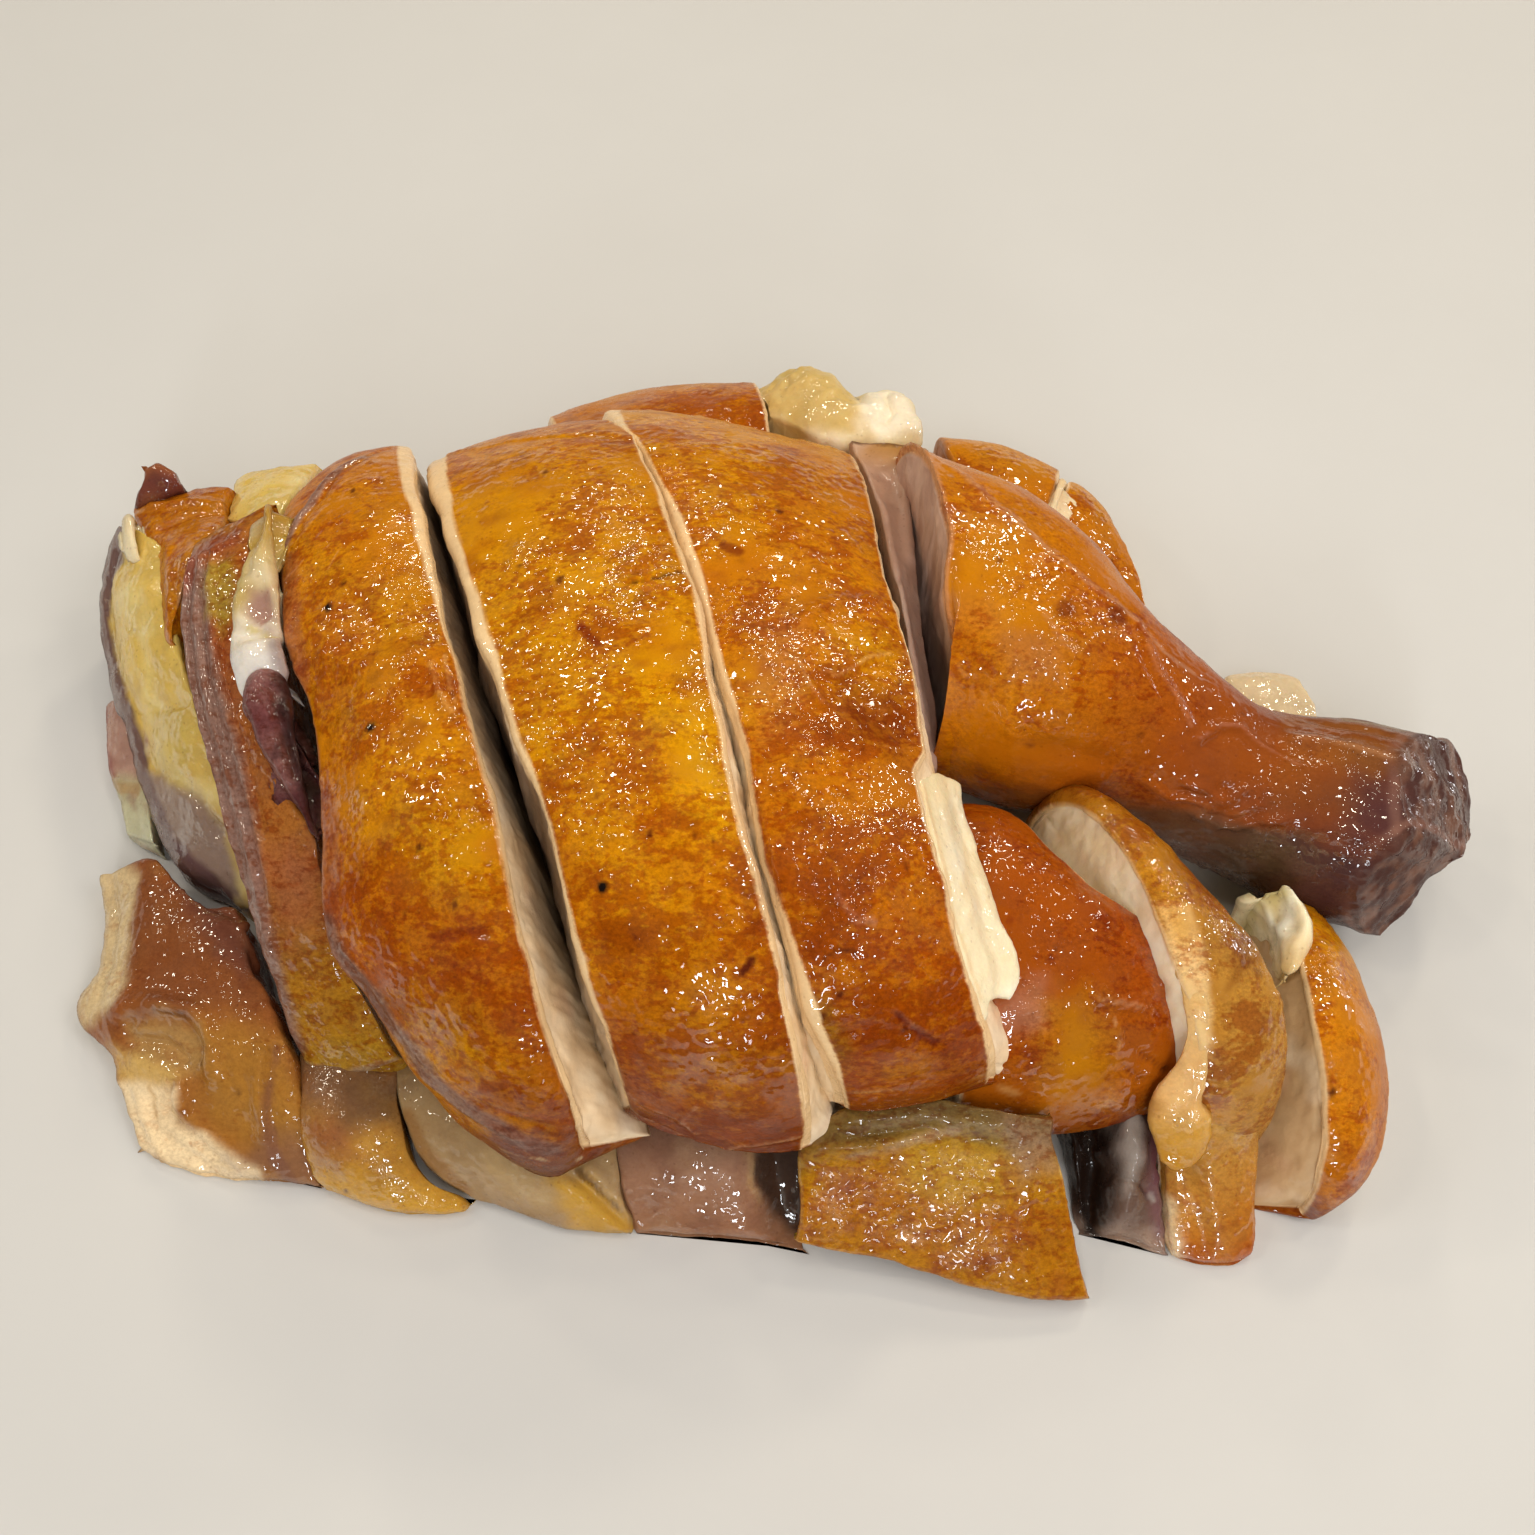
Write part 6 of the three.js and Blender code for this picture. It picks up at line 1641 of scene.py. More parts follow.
FOLDS_2 = [
    ([(-19.5, 22, 56.2), (-17.3, 22.6, 56.2), (-14.7, 23.6, 56.2), (-12.5, 24.5, 55.9)], 0.5, -0.5),
    ([(-19.5, 22.7, 56.5), (-17.3, 23.2, 56.7), (-14.7, 24.3, 56.5), (-12.5, 25.2, 56.3)], 0.6, 0.3),
    ([(-50.8, 63.2, 35.7), (-44.9, 60.4, 40.9), (-38.4, 60, 43.3), (-32.2, 59.3, 45.1), (-26, 58.6, 46.2), (-21.4, 56.3, 47.7)], 0.6, 0.4),
    ([(-19.2, -38, 29.3), (-16, -39.4, 28), (-12.2, -41.3, 27.4), (-10.3, -41.5, 24.1)], 0.5, 0.4),
    ([(-19.4, -37.1, 22.2), (-15.7, -39.9, 23.1), (-11.2, -41.2, 21)], 0.5, -0.4),
    ([(-9.9, -40.5, 31.9), (-11.7, -41.1, 28.3), (-12.9, -41.2, 24.7)], 0.5, 0.3),
    ([(-17.5, -37.8, 10.5), (-13.1, -38.7, 10.8), (-4.7, -42.9, 22.6), (2.8, -42.1, 24.3)], 0.7, 0.3),
]
WET_2 = [
    [(-23.7, 29.6, 55.3), (-20.3, 29.5, 55.3), (-19.8, 21.1, 56.5), (-23.1, 21.3, 56.2)],
    [(-18.4, 32.2, 55.2), (-13.6, 30.4, 55.3), (-11.2, 19.2, 56.9), (-16.5, 20.8, 56.9)],
    [(-13.5, 9.9, 57.7), (-8.3, 10.2, 53.8), (-7.5, 0.6, 56.8), (-12.1, 3.2, 57.4)],
    [(-38.2, 35.4, 51.4), (-32.1, 31.9, 53.4), (-29, 27.7, 54.4), (-36.6, 27.4, 52.6)],
    [(-14, -19.5, 52.6), (-8.6, -20.3, 52.8), (-9.2, -22.5, 51.9), (-14, -22.4, 51.6)],
    [(-23, 19.5, 56.4), (-18.8, 52, 13.2), (-16.3, 15.6, 57.3), (-22.7, 15.1, 56.9)],
]
MARKS_3 = [
    ("area", [(-20.4, 62.5, 44.3), (-5.6, 74.8, 31.2), (-0.8, 36, 52.7), (-10.3, 31.4, 54.1), (-16.4, 46.8, 50.8)], "d28a06", 0.5, 5.0),
    ("area", [(3.9, 62.9, 39.4), (12.5, 50.6, 44.3), (17.2, 43.3, 34.7), (7.4, 29.7, 51.9), (0.6, 40.8, 51.3)], "b8640a", 0.45, 5.0),
    ("area", [(7.1, 16.4, 54), (15.2, 18.7, 50.9), (16.3, 12.8, 51.2), (8.2, 10.8, 54.1)], "cc900c", 0.6, 3.0),
    ("area", [(7.5, 9.1, 54.3), (16.1, 8.6, 51.6), (18.2, 1.7, 50.4), (15.6, -2.4, 51), (9.2, -0.5, 53.9)], "7c3608", 0.7, 3.0),
    ("area", [(-3.4, 6.1, 55.3), (3, 6.2, 55.1), (4.2, -0.9, 54.5), (-2.1, -1.6, 54.5)], "b8704a", 0.15, 2.5),
    ("area", [(0.4, -20, 48.2), (8.9, -18.5, 50.5), (11.3, -26.8, 45.6), (2.8, -26.9, 45.6)], "8e4206", 0.5, 3.5),
    ("area", [(6.5, -31.8, 41.8), (25.6, -29.4, 36.1), (26.9, -34.3, 27.9), (9.3, -37.3, 30.7)], "8a3c06", 0.5, 4.0),
    ("area", [(10.1, -20.6, 49.3), (21.7, -21.2, 42.1), (22.8, -28.3, 39.9), (11.4, -28.8, 44.1)], "b45c06", 0.5, 4.0),
    ("area", [(2.8, -30.6, 42), (6.5, -30.8, 42.6), (9.1, -35.7, 35.2), (7.7, -36.3, 33.4)], "8e6a1e", 0.6, 1.5),
    ("area", [(-0.8, 19, 54.9), (3.1, 17.1, 55.2), (3, 4.7, 55.2), (-2.1, 6.1, 55.3)], "c08058", 0.18, 2.5),
    ("spot", [(15.9, -32.8, 37.9), (7.7, -30.4, 43.2), (-11.4, 64.3, 42.1), (5.7, -32.3, 41.1), (0.6, 38.1, 51.9)], "5a200a", 0.85, 0.6),
    ("line", [(-2.7, 74.6, 31.1), (-1.4, 76.9, 28)], "3a1408", 0.90, 0.55),
    ("line", [(-2, 77.2, 31.1), (-0.4, 81.7, 26), (0.9, 80.2, 26.6)], "2a1408", 0.90, 0.60),
    ("line", [(-24.9, 81.2, 28.1), (-18.9, 80.9, 28.7), (-12.2, 78.7, 30.6), (-4.8, 76.7, 31.2)], "e0bc94", 0.30, 0.30),
    ("line", [(6.2, 76.1, 28), (10, 72.9, 28.1), (12, 57.5, 40.7)], "e0b488", 0.32, 0.35),
    ("line", [(5.9, 9.7, 54.9), (7.9, 9, 54.5), (10, 10.7, 54.1), (12.2, 12.9, 53.1), (15, 14.2, 51.9)], "d8a468", 0.32, 0.35),
    ("line", [(1.1, 11.7, 55.7), (3, 10.6, 55.4), (4.3, 6.9, 55.5), (6, 4.4, 55.1)], "d09a70", 0.27, 0.35),
    ("line", [(7.4, -20.6, 50), (8.9, -22.1, 49), (10.1, -23.1, 48.4), (11.8, -23, 48.3)], "c07c54", 0.70, 0.60),
    ("line", [(14.9, -31.5, 39.8), (17.2, -32.6, 37.4), (19.9, -33.5, 35.3)], "6c2410", 0.80, 0.70),
    ("line", [(14.6, -31.4, 40.8), (17, -32.5, 38.7), (19.9, -33, 35.7)], "c88a68", 0.27, 0.24),
    ("line", [(5.5, -26.9, 45.7), (7.4, -25.8, 46.7), (9.6, -26.1, 46.2)], "4c1c0a", 0.80, 0.35),
    ("line", [(9.1, -37.4, 28.3), (15.8, -37, 28.3), (27.1, -34.2, 26.2)], "b07a44", 0.75, 0.50),
    ("line", [(-7, 30.4, 54.2), (-5.1, 29.2, 54.3)], "7a2c08", 0.80, 1.00),
    ("line", [(27.5, -28.9, 31.4), (27.9, -32.2, 29.4), (28.1, -33.5, 23.7)], "c08a5c", 0.60, 0.50),
]
FOLDS_3 = [
    ([(5.9, 9.7, 54.9), (7.9, 9, 54.5), (10, 10.7, 54.1), (12.2, 12.9, 53.1), (15, 14.2, 51.9)], 0.7, 0.5),
    ([(5.8, 8.6, 54.9), (8.2, 8.1, 53.7), (10.8, 10.1, 53), (14.7, 13.1, 51.5)], 0.8, -0.5),
    ([(1.1, 11.7, 55.7), (3, 10.6, 55.4), (4.3, 6.9, 55.5), (6, 4.4, 55.1)], 0.7, 0.5),
    ([(7.4, -20.6, 50), (8.9, -22.1, 49), (10.1, -23.1, 48.4), (11.8, -23, 48.3)], 0.8, 0.5),
    ([(7.2, -21.3, 49.1), (8.9, -23, 48.7), (10.8, -23.5, 47.6)], 0.6, -0.4),
    ([(14.9, -31.5, 39.8), (17.2, -32.6, 37.4), (19.9, -33.5, 35.3)], 0.7, -0.6),
    ([(14.6, -31.1, 40.8), (17, -32.2, 38.7), (19.8, -33.2, 36.8)], 0.6, 0.4),
    ([(-24.9, 81.2, 28.1), (-18.9, 80.9, 28.7), (-12.2, 78.7, 30.6), (-4.8, 76.7, 31.2)], 0.6, 0.4),
    ([(9, -33.1, 38.6), (12.7, -32.7, 38.9), (15.3, -33.2, 37.6)], 1.2, -0.5),
    ([(3.1, 17.1, 55.2), (7.2, 21.4, 53.9), (12.6, 22.9, 52), (18.3, 32.1, 34.8)], 1.6, 0.7),
    ([(9.4, 5.9, 53.2), (11.9, 3.3, 52.6), (15.8, 2.1, 51)], 2.4, -0.8),
    ([(0.4, -7.3, 54.4), (2.9, -9.2, 53.9), (5.9, -10.9, 53.3)], 1.2, 0.5),
    ([(-0.2, -15.1, 52), (2.2, -17, 51.6), (3.4, -17.8, 51.4)], 0.8, 0.45),
]
WET_3 = [
    [(-10.5, 40.4, 52.8), (-2.2, 40.1, 52.2), (-2.2, 33.8, 53.2), (-9.6, 31.3, 54.2)],
    [(-7.4, 22.6, 54.4), (3.2, 23, 53.9), (4.9, 1.9, 54.8), (-0.8, -0.9, 54.6), (-5.3, 10.7, 55.3)],
    [(3, 4.7, 55.2), (7.4, 2.2, 54.4), (6.6, -4.8, 53.7), (1.7, -2.4, 54.5)],
    [(7.3, 24.8, 52.7), (14, 23.6, 51), (16.5, 17.3, 50.5), (11.1, 19.1, 52.6)],
    [(8.9, -16.2, 51.4), (20.8, -11.2, 44.6), (22, -14.9, 43.6), (15.1, -20, 48.2)],
    [(0.4, -11.4, 52.9), (19.8, -5.6, 45.1), (22.8, -29.3, 39), (8.9, -30.8, 42.5)],
    [(14.9, 11.5, 51.9), (20.2, 24.4, 33.1), (18.1, 8.4, 50.7), (14.7, 7.4, 52.2)],
]


def with_marks(ls, wets=(), redder=None):
    def f(c, mott, pos, n, v):
        c = layers(c, pos, ls)
        if redder is not None:
            m = inside(pos, redder, 5.0)
            c = c * (1 - m[:, None] * (1 - np.array([0.97, 0.86, 0.8])))
        return c, mott

    f.wets = wets
    return f


def gap_shade(tag, at, deep="5c3c2c"):
    """Painted shade: the walls of a narrow gap are darkened to brown in its far part, where the gap is deep and gets
    little light, and left clean cream near its mouth.
    """

    def f(mc, pos, v):
        k = np.interp(v["s"] + 0.03 * noise(pos, 8.0, 61), [x for x, _ in at], [y for _, y in at])
        k = k * np.isin(v["tag"], (tag,)) * sstep(0.8, 3.5, v["dep"] + 1.2 * noise(pos, 3.0, 62))
        return blend(mc, lin(deep), k)

    return f


def wet_field(pos, wets):
    m = np.zeros(len(pos))
    for poly in wets:
        lo, hi = np.min(poly, axis=0) - 4, np.max(poly, axis=0) + 4
        k = ((pos[:, :2] > lo[:2]) & (pos[:, :2] < hi[:2])).all(1)
        m[k] = np.maximum(m[k], inside(pos[k], poly, 1.6, 1.2))
    return m


# wall=gap_shade(...) paints shade on the cut walls inside the narrow gaps between the slices
add("breast_slice_1", seed=1, paint=breast(run1, left=lin("a46846"), extra=with_marks(MARKS_1, WET_1)), folds=FOLDS_1, wets=WET_1, wave=0.35, knife=(101, 102),
    rim=(0.6, 0.9), strip={1: [(0.17, 2.18), (0.22, 2.22), (0.26, 2.35), (0.31, 1.81), (0.36, 1.75), (0.41, 1.45), (0.46, 1.0), (0.51, 0.53), (0.56, 0.25), (0.61, 0.25), (0.66, 0.25), (0.71, 0.25), (0.75, 0.25), (0.8, 0.25), (0.85, 0.25), (0.9, 0.25), (0.95, 0.25), (1.0, 0.25)]}, wall=gap_shade(RIGHT, [(0, 0.6), (0.45, 0.75), (0.56, 0.6), (0.66, 0.0)]))
add("breast_slice_2", seed=2, paint=breast(run2, extra=with_marks(MARKS_2, WET_2)), folds=FOLDS_2, wets=WET_2, wave=0.35, knife=(102, 103),
    rim=(1.6, 0.5), strip={0: [(0.19, 3.86), (0.24, 3.63), (0.29, 2.99), (0.34, 2.39), (0.38, 2.01), (0.43, 1.84), (0.48, 2.38), (0.53, 2.57), (0.57, 1.48), (0.62, 1.65), (0.67, 1.3), (0.72, 0.94), (0.76, 1.06), (0.81, 1.22), (0.86, 1.32), (0.91, 0.37), (0.95, 0.25), (1.0, 0.25)]}, wall=gap_shade(LEFT, [(0, 0.8), (0.7, 0.8), (0.9, 0.3)]), belly=(0.8, 2.2))
add("breast_slice_3", seed=3, paint=breast(run3, extra=with_marks(MARKS_3, WET_3)), folds=FOLDS_3, wets=WET_3, wave=0.35, knife=(103, 104),
    rim=(1.4, 0.6), strip={0: [(0.17, 2.7), (0.21, 2.33), (0.26, 1.33), (0.31, 0.49), (0.36, 0.81), (0.4, 1.37), (0.45, 1.79), (0.5, 1.58), (0.54, 1.23), (0.59, 1.27), (0.64, 0.63), (0.68, 0.25), (0.73, 0.25), (0.78, 0.3), (0.82, 0.88), (0.87, 2.27), (0.92, 1.63), (0.97, 0.74)]}, bumps=0.3, wall=gap_shade(LEFT, [(0, 0.05), (0.35, 0.1), (0.5, 0.3), (0.75, 0.2), (0.9, 0.0)]), belly=(2.8, 0.8))
MARKS_LEG = [
    ("area", [(24.8, 50.9, 46.1), (30.6, 40.8, 47), (36.8, 27.9, 45.3), (39.3, 15, 39.6), (31.8, 11.8, 31.6), (26.1, 14, 30.7), (25.5, 28.1, 45)], "c87c08", 0.5, 5.0),
    ("area", [(63.7, 2.8, 19.9), (73.1, 0.6, 23.9), (74.2, -2.6, 17.8), (68.9, -0.1, 11.8)], "44351e", 0.7, 2.0),
    ("area", [(78.9, 5.9, 29), (88.4, 7, 28.6), (99, 9.8, 20.8), (100.2, 3.2, 17.5), (81.8, -1.5, 26.4)], "4c2e30", 0.7, 2.5),
    ("area", [(74.2, 21.1, 27), (85.7, 19.8, 26.9), (94.9, 15.8, 25.5), (88.6, 9.6, 29.6), (80.1, 9.8, 29.9), (72.2, 8.9, 29.5)], "8f5420", 0.75, 2.0),
    ("area", [(69.4, 9.5, 29.9), (81.4, 8.9, 29.5), (81, 3.5, 28.5), (69.9, 4.2, 27.2)], "7c431c", 0.6, 2.5),
    ("line", [(85, 34, 7.2), (84.3, 20.4, 27.1), (91.2, 19.3, 25.5), (95.9, 16.2, 25)], "8c7048", 0.60, 1.20),
    ("line", [(75.9, 17.1, 28.9), (82.8, 16.1, 29.4), (89.6, 14.1, 29.4)], "7e3e14", 0.60, 1.20),
    # painted highlights: the faint pale strokes below lie on the crest of the ankle and on the ridges, as glints of the
    # wet skin
    ("line", [(75, 14.8, 30.5), (81.1, 13.4, 30.9), (87.3, 11.4, 30.5), (94.7, 10.4, 24.9)], "c8946c", 0.23, 0.63),
    ("line", [(22.3, 55.9, 45.1), (27.1, 50.9, 45.8), (30.9, 44.9, 46.7), (36.3, 39.3, 46.2), (40.3, 35.1, 45.1), (45.9, 31, 43.5), (51.7, 27.6, 40.5), (55.3, 24, 38.2), (59.8, 21.9, 35.8)], "c8a084", 0.32, 0.49),
    ("line", [(25.5, 49.6, 46.6), (34.4, 69.4, 17.8), (33.5, 40.8, 46.5)], "a88c80", 0.23, 0.49),
    ("line", [(59.7, 12.5, 33.6), (63.1, 14.8, 33.6), (66.4, 15.3, 32.6), (69.2, 13, 31.2), (74.3, 10.2, 30.3)], "c08a78", 0.29, 0.35),
    ("line", [(52.5, 24.7, 40.2), (53.9, 20.6, 39.1), (56.8, 16.9, 36.7), (58.4, 13.7, 34.9)], "c48a6c", 0.25, 0.35),
    ("line", [(37.4, 26, 45.1), (39.3, 22.6, 44), (41.5, 19.5, 42.2)], "c8906c", 0.25, 0.35),
    ("area", [(31.1, 23.7, 43.9), (39.3, 22, 43.9), (39.3, 17.3, 41.1), (32.5, 17.6, 40.5)], "b4703e", 0.45, 2.0),
    ("area", [(24, 29.4, 42.1), (31.3, 27.9, 45.3), (31.1, 22.4, 43.4), (24.8, 25.7, 38.8)], "b46a2c", 0.4, 2.5),
    ("area", [(25.7, 22.9, 42.7), (31.1, 21.2, 42.6), (31.2, 15.6, 38.6), (26.5, 17.8, 37.8)], "a04c04", 0.4, 2.5),
    ("spot", [(40.5, 26.9, 44.3), (48.3, 27.6, 42)], "6a200c", 0.75, 2.0),
    ("spot", [(35.8, 11.7, 33.1), (51.1, 12.4, 34.6), (31.6, 33.9, 46.6), (24.3, 37.3, 47.8)], "6a2c0a", 0.7, 0.6),
    ("area", [(36.6, 15.3, 39.1), (50.9, 16.1, 37.8), (52.8, 10.1, 31.6), (37.2, 11.2, 32.5)], "96500e", 0.35, 4.0),
    ("area", [(62.9, 15.4, 33.8), (80.1, 16.7, 29), (78.4, 8, 29.6), (63.1, 7.3, 28.1)], "9c4e12", 0.45, 4.0),
]
FOLDS_LEG = [
    ([(58.4, 7.8, 28.9), (60.5, 7.3, 28.3), (62.8, 6.3, 27.7)], 0.8, 0.55),
    ([(60.5, 5.3, 24.6), (62.8, 5.6, 26.1), (65.2, 5.9, 27.9)], 0.8, 0.6),
    ([(63.8, 4.6, 24.7), (66, 4.6, 26.4), (68.3, 5.2, 27.4)], 0.8, 0.6),
    ([(62.6, 3.6, 23), (64.3, 3.4, 24.4), (66.5, 3.4, 25.7)], 0.7, 0.5),
    ([(53.2, 8.3, 28.5), (54.9, 7.7, 26.8), (56.7, 7.1, 26.1)], 0.8, 0.5),
    ([(69.7, 3.1, 26.3), (72.7, 3.3, 27), (75.6, 3.3, 27.6)], 0.8, 0.5),
    ([(74.3, 14.9, 30.5), (81.1, 13.4, 30.9), (87.3, 11.4, 30.5), (94.7, 10.4, 24.9)], 1.3, 0.8),
    ([(74.9, 12.6, 29.7), (81, 10.9, 29.8), (86.5, 8.7, 28.9)], 1.3, -0.5),
    ([(78.4, 19.5, 26.9), (83.4, 17.7, 28.6), (90.3, 15.6, 28.2)], 1.1, -0.5),
    ([(59.7, 12.5, 33.6), (63.1, 14.8, 33.6), (66.4, 15.3, 32.6), (69.2, 13, 31.2), (74.3, 10.2, 30.3)], 0.8, 0.5),
    ([(60.6, 12, 32.3), (63.7, 13.9, 32.5), (66.1, 14.2, 31.7), (68.3, 12.1, 30.5)], 0.8, -0.4),
    ([(57.6, 6.4, 26.8), (61.1, 5.5, 26.6), (63.6, 5.8, 27.8), (66.4, 6.9, 29.2)], 0.7, 0.6),
    ([(58.3, 7.5, 27.6), (61.1, 6.9, 27.3), (63.7, 7.3, 28.5)], 0.7, -0.5),
    ([(60.7, 4.4, 24.4), (65.6, 3.1, 24.2), (68.6, 3.1, 26.4), (71.3, 2.8, 26.7)], 0.7, 0.7),
    ([(61.5, 5.5, 24.8), (65.6, 4.4, 25), (68.5, 4.8, 26.7)], 0.7, -0.5),
    ([(74, 2, 26.5), (79, 0.8, 28), (84.4, -1.2, 27.3), (93.6, 0, 21.7)], 1.2, 0.5),
    ([(52.5, 24.7, 40.2), (53.9, 20.6, 39.1), (56.8, 16.9, 36.7), (58.4, 13.7, 34.9)], 0.8, 0.5),
    ([(51.3, 23.2, 39.8), (52.8, 19.7, 38.5), (55.4, 16.1, 36.3)], 0.8, -0.4),
    ([(37.4, 26, 45.1), (39.3, 22.6, 44), (41.5, 19.5, 42.2)], 0.7, 0.5),
    ([(35.8, 11.7, 33.1), (39.9, 11, 33.3), (45.8, 10.1, 31.5)], 2.0, -0.5),
    ([(96.1, 12.1, 24.1), (99.3, 9.9, 20.7), (101.1, 5.9, 17.3)], 1.2, 0.6),
    ([(88.6, 8.4, 28.9), (90.1, 6.1, 27.3), (87.7, 2.5, 27.9)], 1.6, -0.6),
    ([(22.3, 55.9, 45.1), (27.1, 50.9, 45.8), (30.9, 44.9, 46.7), (36.3, 39.3, 46.2), (40.3, 35.1, 45.1), (45.9, 31, 43.5), (51.7, 27.6, 40.5)], 0.8, 0.35),
]
WET_LEG = [
    [(24.1, 40.8, 48), (28.3, 38.6, 47.5), (29.4, 32.3, 46.4), (25.2, 33.7, 46.9)],
    [(27.9, 32.2, 46.5), (32.7, 29.3, 45.7), (38, 22.2, 43.7), (39.3, 16.2, 40.2), (32.5, 17.6, 40.5), (29.8, 26.4, 44.9)],
    [(39.5, 25.1, 44.4), (44.4, 24.1, 43.4), (44.3, 20.1, 41.8), (40, 19.7, 42.4)],
    [(74.6, 17.7, 28.8), (82.6, 15.5, 29.7), (95.1, 12.4, 25), (92.1, 8.1, 26.7), (80.3, 11.1, 30), (73.5, 12.8, 29.9)],
    [(56.7, 7.9, 28.4), (68.5, 7.4, 29.2), (72.8, 2, 25.8), (62.8, 3.7, 21.3)],
    [(94.8, 10.8, 24.9), (103.1, 13.3, 17.8), (102.4, 3.8, 16.5), (92.5, 0.3, 23)],
    [(79.2, -0.1, 26.8), (95.3, 1.1, 21.6), (97, 0.4, 16.6), (79.6, -2.6, 24)],
]


def square_cut(pos, v, info):
    """The skin runs straight along the cut instead of bulging."""
    d = np.linalg.norm((pos - np.array((26.8, 26.1, 44.5))) * [1, 1, 0.8], axis=1)
    low = np.linalg.norm((pos - np.array((23.5, 18.3, 27.1))) * [1, 1, 0.8], axis=1)
    k = 4.2 * np.exp(-((d / 9.5) ** 2)) - 1.3 * np.exp(-((low / 7.0) ** 2))
    pos = pos - info["along"][None] * k[:, None]
    # the ankle is chopped askew: longer at the far side, with a heel and knuckles
    ax, rel = info["axis"], pos - info["end"]
    a = rel @ ax
    q = np.clip(rel @ unit([0.0, 0.85, 0.5]), -14, 14)
    k = sstep(-20.0, 3.0, a)
    pos = pos + ax[None] * (k * (0.36 * np.minimum(q, 0) - 0.03 * np.maximum(q, 0) - 2.2))[:, None]
    out = rel - a[:, None] * ax[None]
    out = out / (np.linalg.norm(out, axis=1) + 1e-6)[:, None]
    e = sstep(-12.0, 2.0, a)
    k = e * (1.2 * noise(pos, 7.5, 301) + 0.7 * noise(pos, 3.2, 302) + 0.30 * noise(pos * [0.35, 1, 1], 1.9, 303))
    for c0, r, up in KNOBS:
        k = k + up * np.exp(-(np.linalg.norm(pos - np.array(c0), axis=1) / r) ** 2)
    pos = pos + (out * (1 - 0.6 * sstep(-1, 3, a))[:, None] + ax[None] * (0.8 * sstep(-2, 3, a))[:, None]) * k[:, None]
    # two chops leave flat faces with sharp corners
    for at, face in CHOPS:
        d = (pos - at) @ face + 0.35 * noise(pos, 4.0, 305) + 0.18 * noise(pos, 1.4, 306)
        pos = pos - face[None] * (np.maximum(d, 0) * 0.94 * sstep(-24, -14, a))[:, None]
    pos[:, 2] = np.maximum(pos[:, 2], 0.0)
    return pos


CHOPS = []
for p0, p1, out_, turn in (
    ((99.3, 18, 22), (102.1, 2.9, 16), (1.0, 0.0, 0.0), 22),
    ((102.1, 2.9, 16), (91.8, -6.3, 9), (0.6, -0.7, 0.0), 26),
):
    p0, p1 = np.array(p0), np.array(p1)
    eye = unit(np.array([-1.1, -107.0, 224.4]) - (p0 + p1) / 2)
    face = unit(np.cross(p1 - p0, eye))
    face = face if face @ np.array(out_) > 0 else -face
    CHOPS.append((p0, unit(face * math.cos(math.radians(turn)) + eye * math.sin(math.radians(turn)))))

KNOBS = [
    ((96.6, 13.9, 24.2), 3.6, 1.9),
    ((99.9, 3.5, 17.6), 3.6, 1.7),
    ((90.2, -4.3, 14.7), 4.5, 3.0),
    ((100.3, 9.9, 19.1), 3.0, -0.7),
    ((95.8, -2.5, 16.5), 3.5, -1.4),
    ((86.5, 13.6, 29.9), 5.0, 0.9),
    ((78.9, 13.1, 30.8), 4.0, 0.8),
    ((93.1, 7.2, 25.3), 3.5, -0.8),
    ((83.1, 5.3, 28.7), 5.0, -0.8),
    ((79, 0.8, 28), 3.5, 0.5),
    ((74.5, 0, 23.6), 4.0, -0.6),
]


grids, Bp, info = limb()
ob = make("drumstick_piece", grids, Bp, info, 4, leg_paint, LEGSKIN, wave=0.5, belly=0.0, skin_t=1.6, folds=FOLDS_LEG, wets=WET_LEG, reshape=square_cut)
place(ob)
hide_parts("drumstick")
made.append(ob)
add("drumstick", "drum_shoulder", seed=39, material=MEATM, step=0.5,
    paint=tissue([(0, "b07c34"), (0.12, "c49a80"), (1, "b8988a")], glow="dcc0b0", fleck="96705f", rough=0.34, wet=0.5, mott=0.0,
        ls=[("line", [(12.1, 70.4, 31), (16.9, 69.8, 31.5), (20.8, 68.9, 32), (24.1, 67.6, 32)], "5a3818", 0.80, 0.60),
            ("line", [(12.3, 67.2, 32), (14.3, 61.3, 33), (16.1, 54.2, 34.5)], "b8988c", 0.23, 0.84)]))
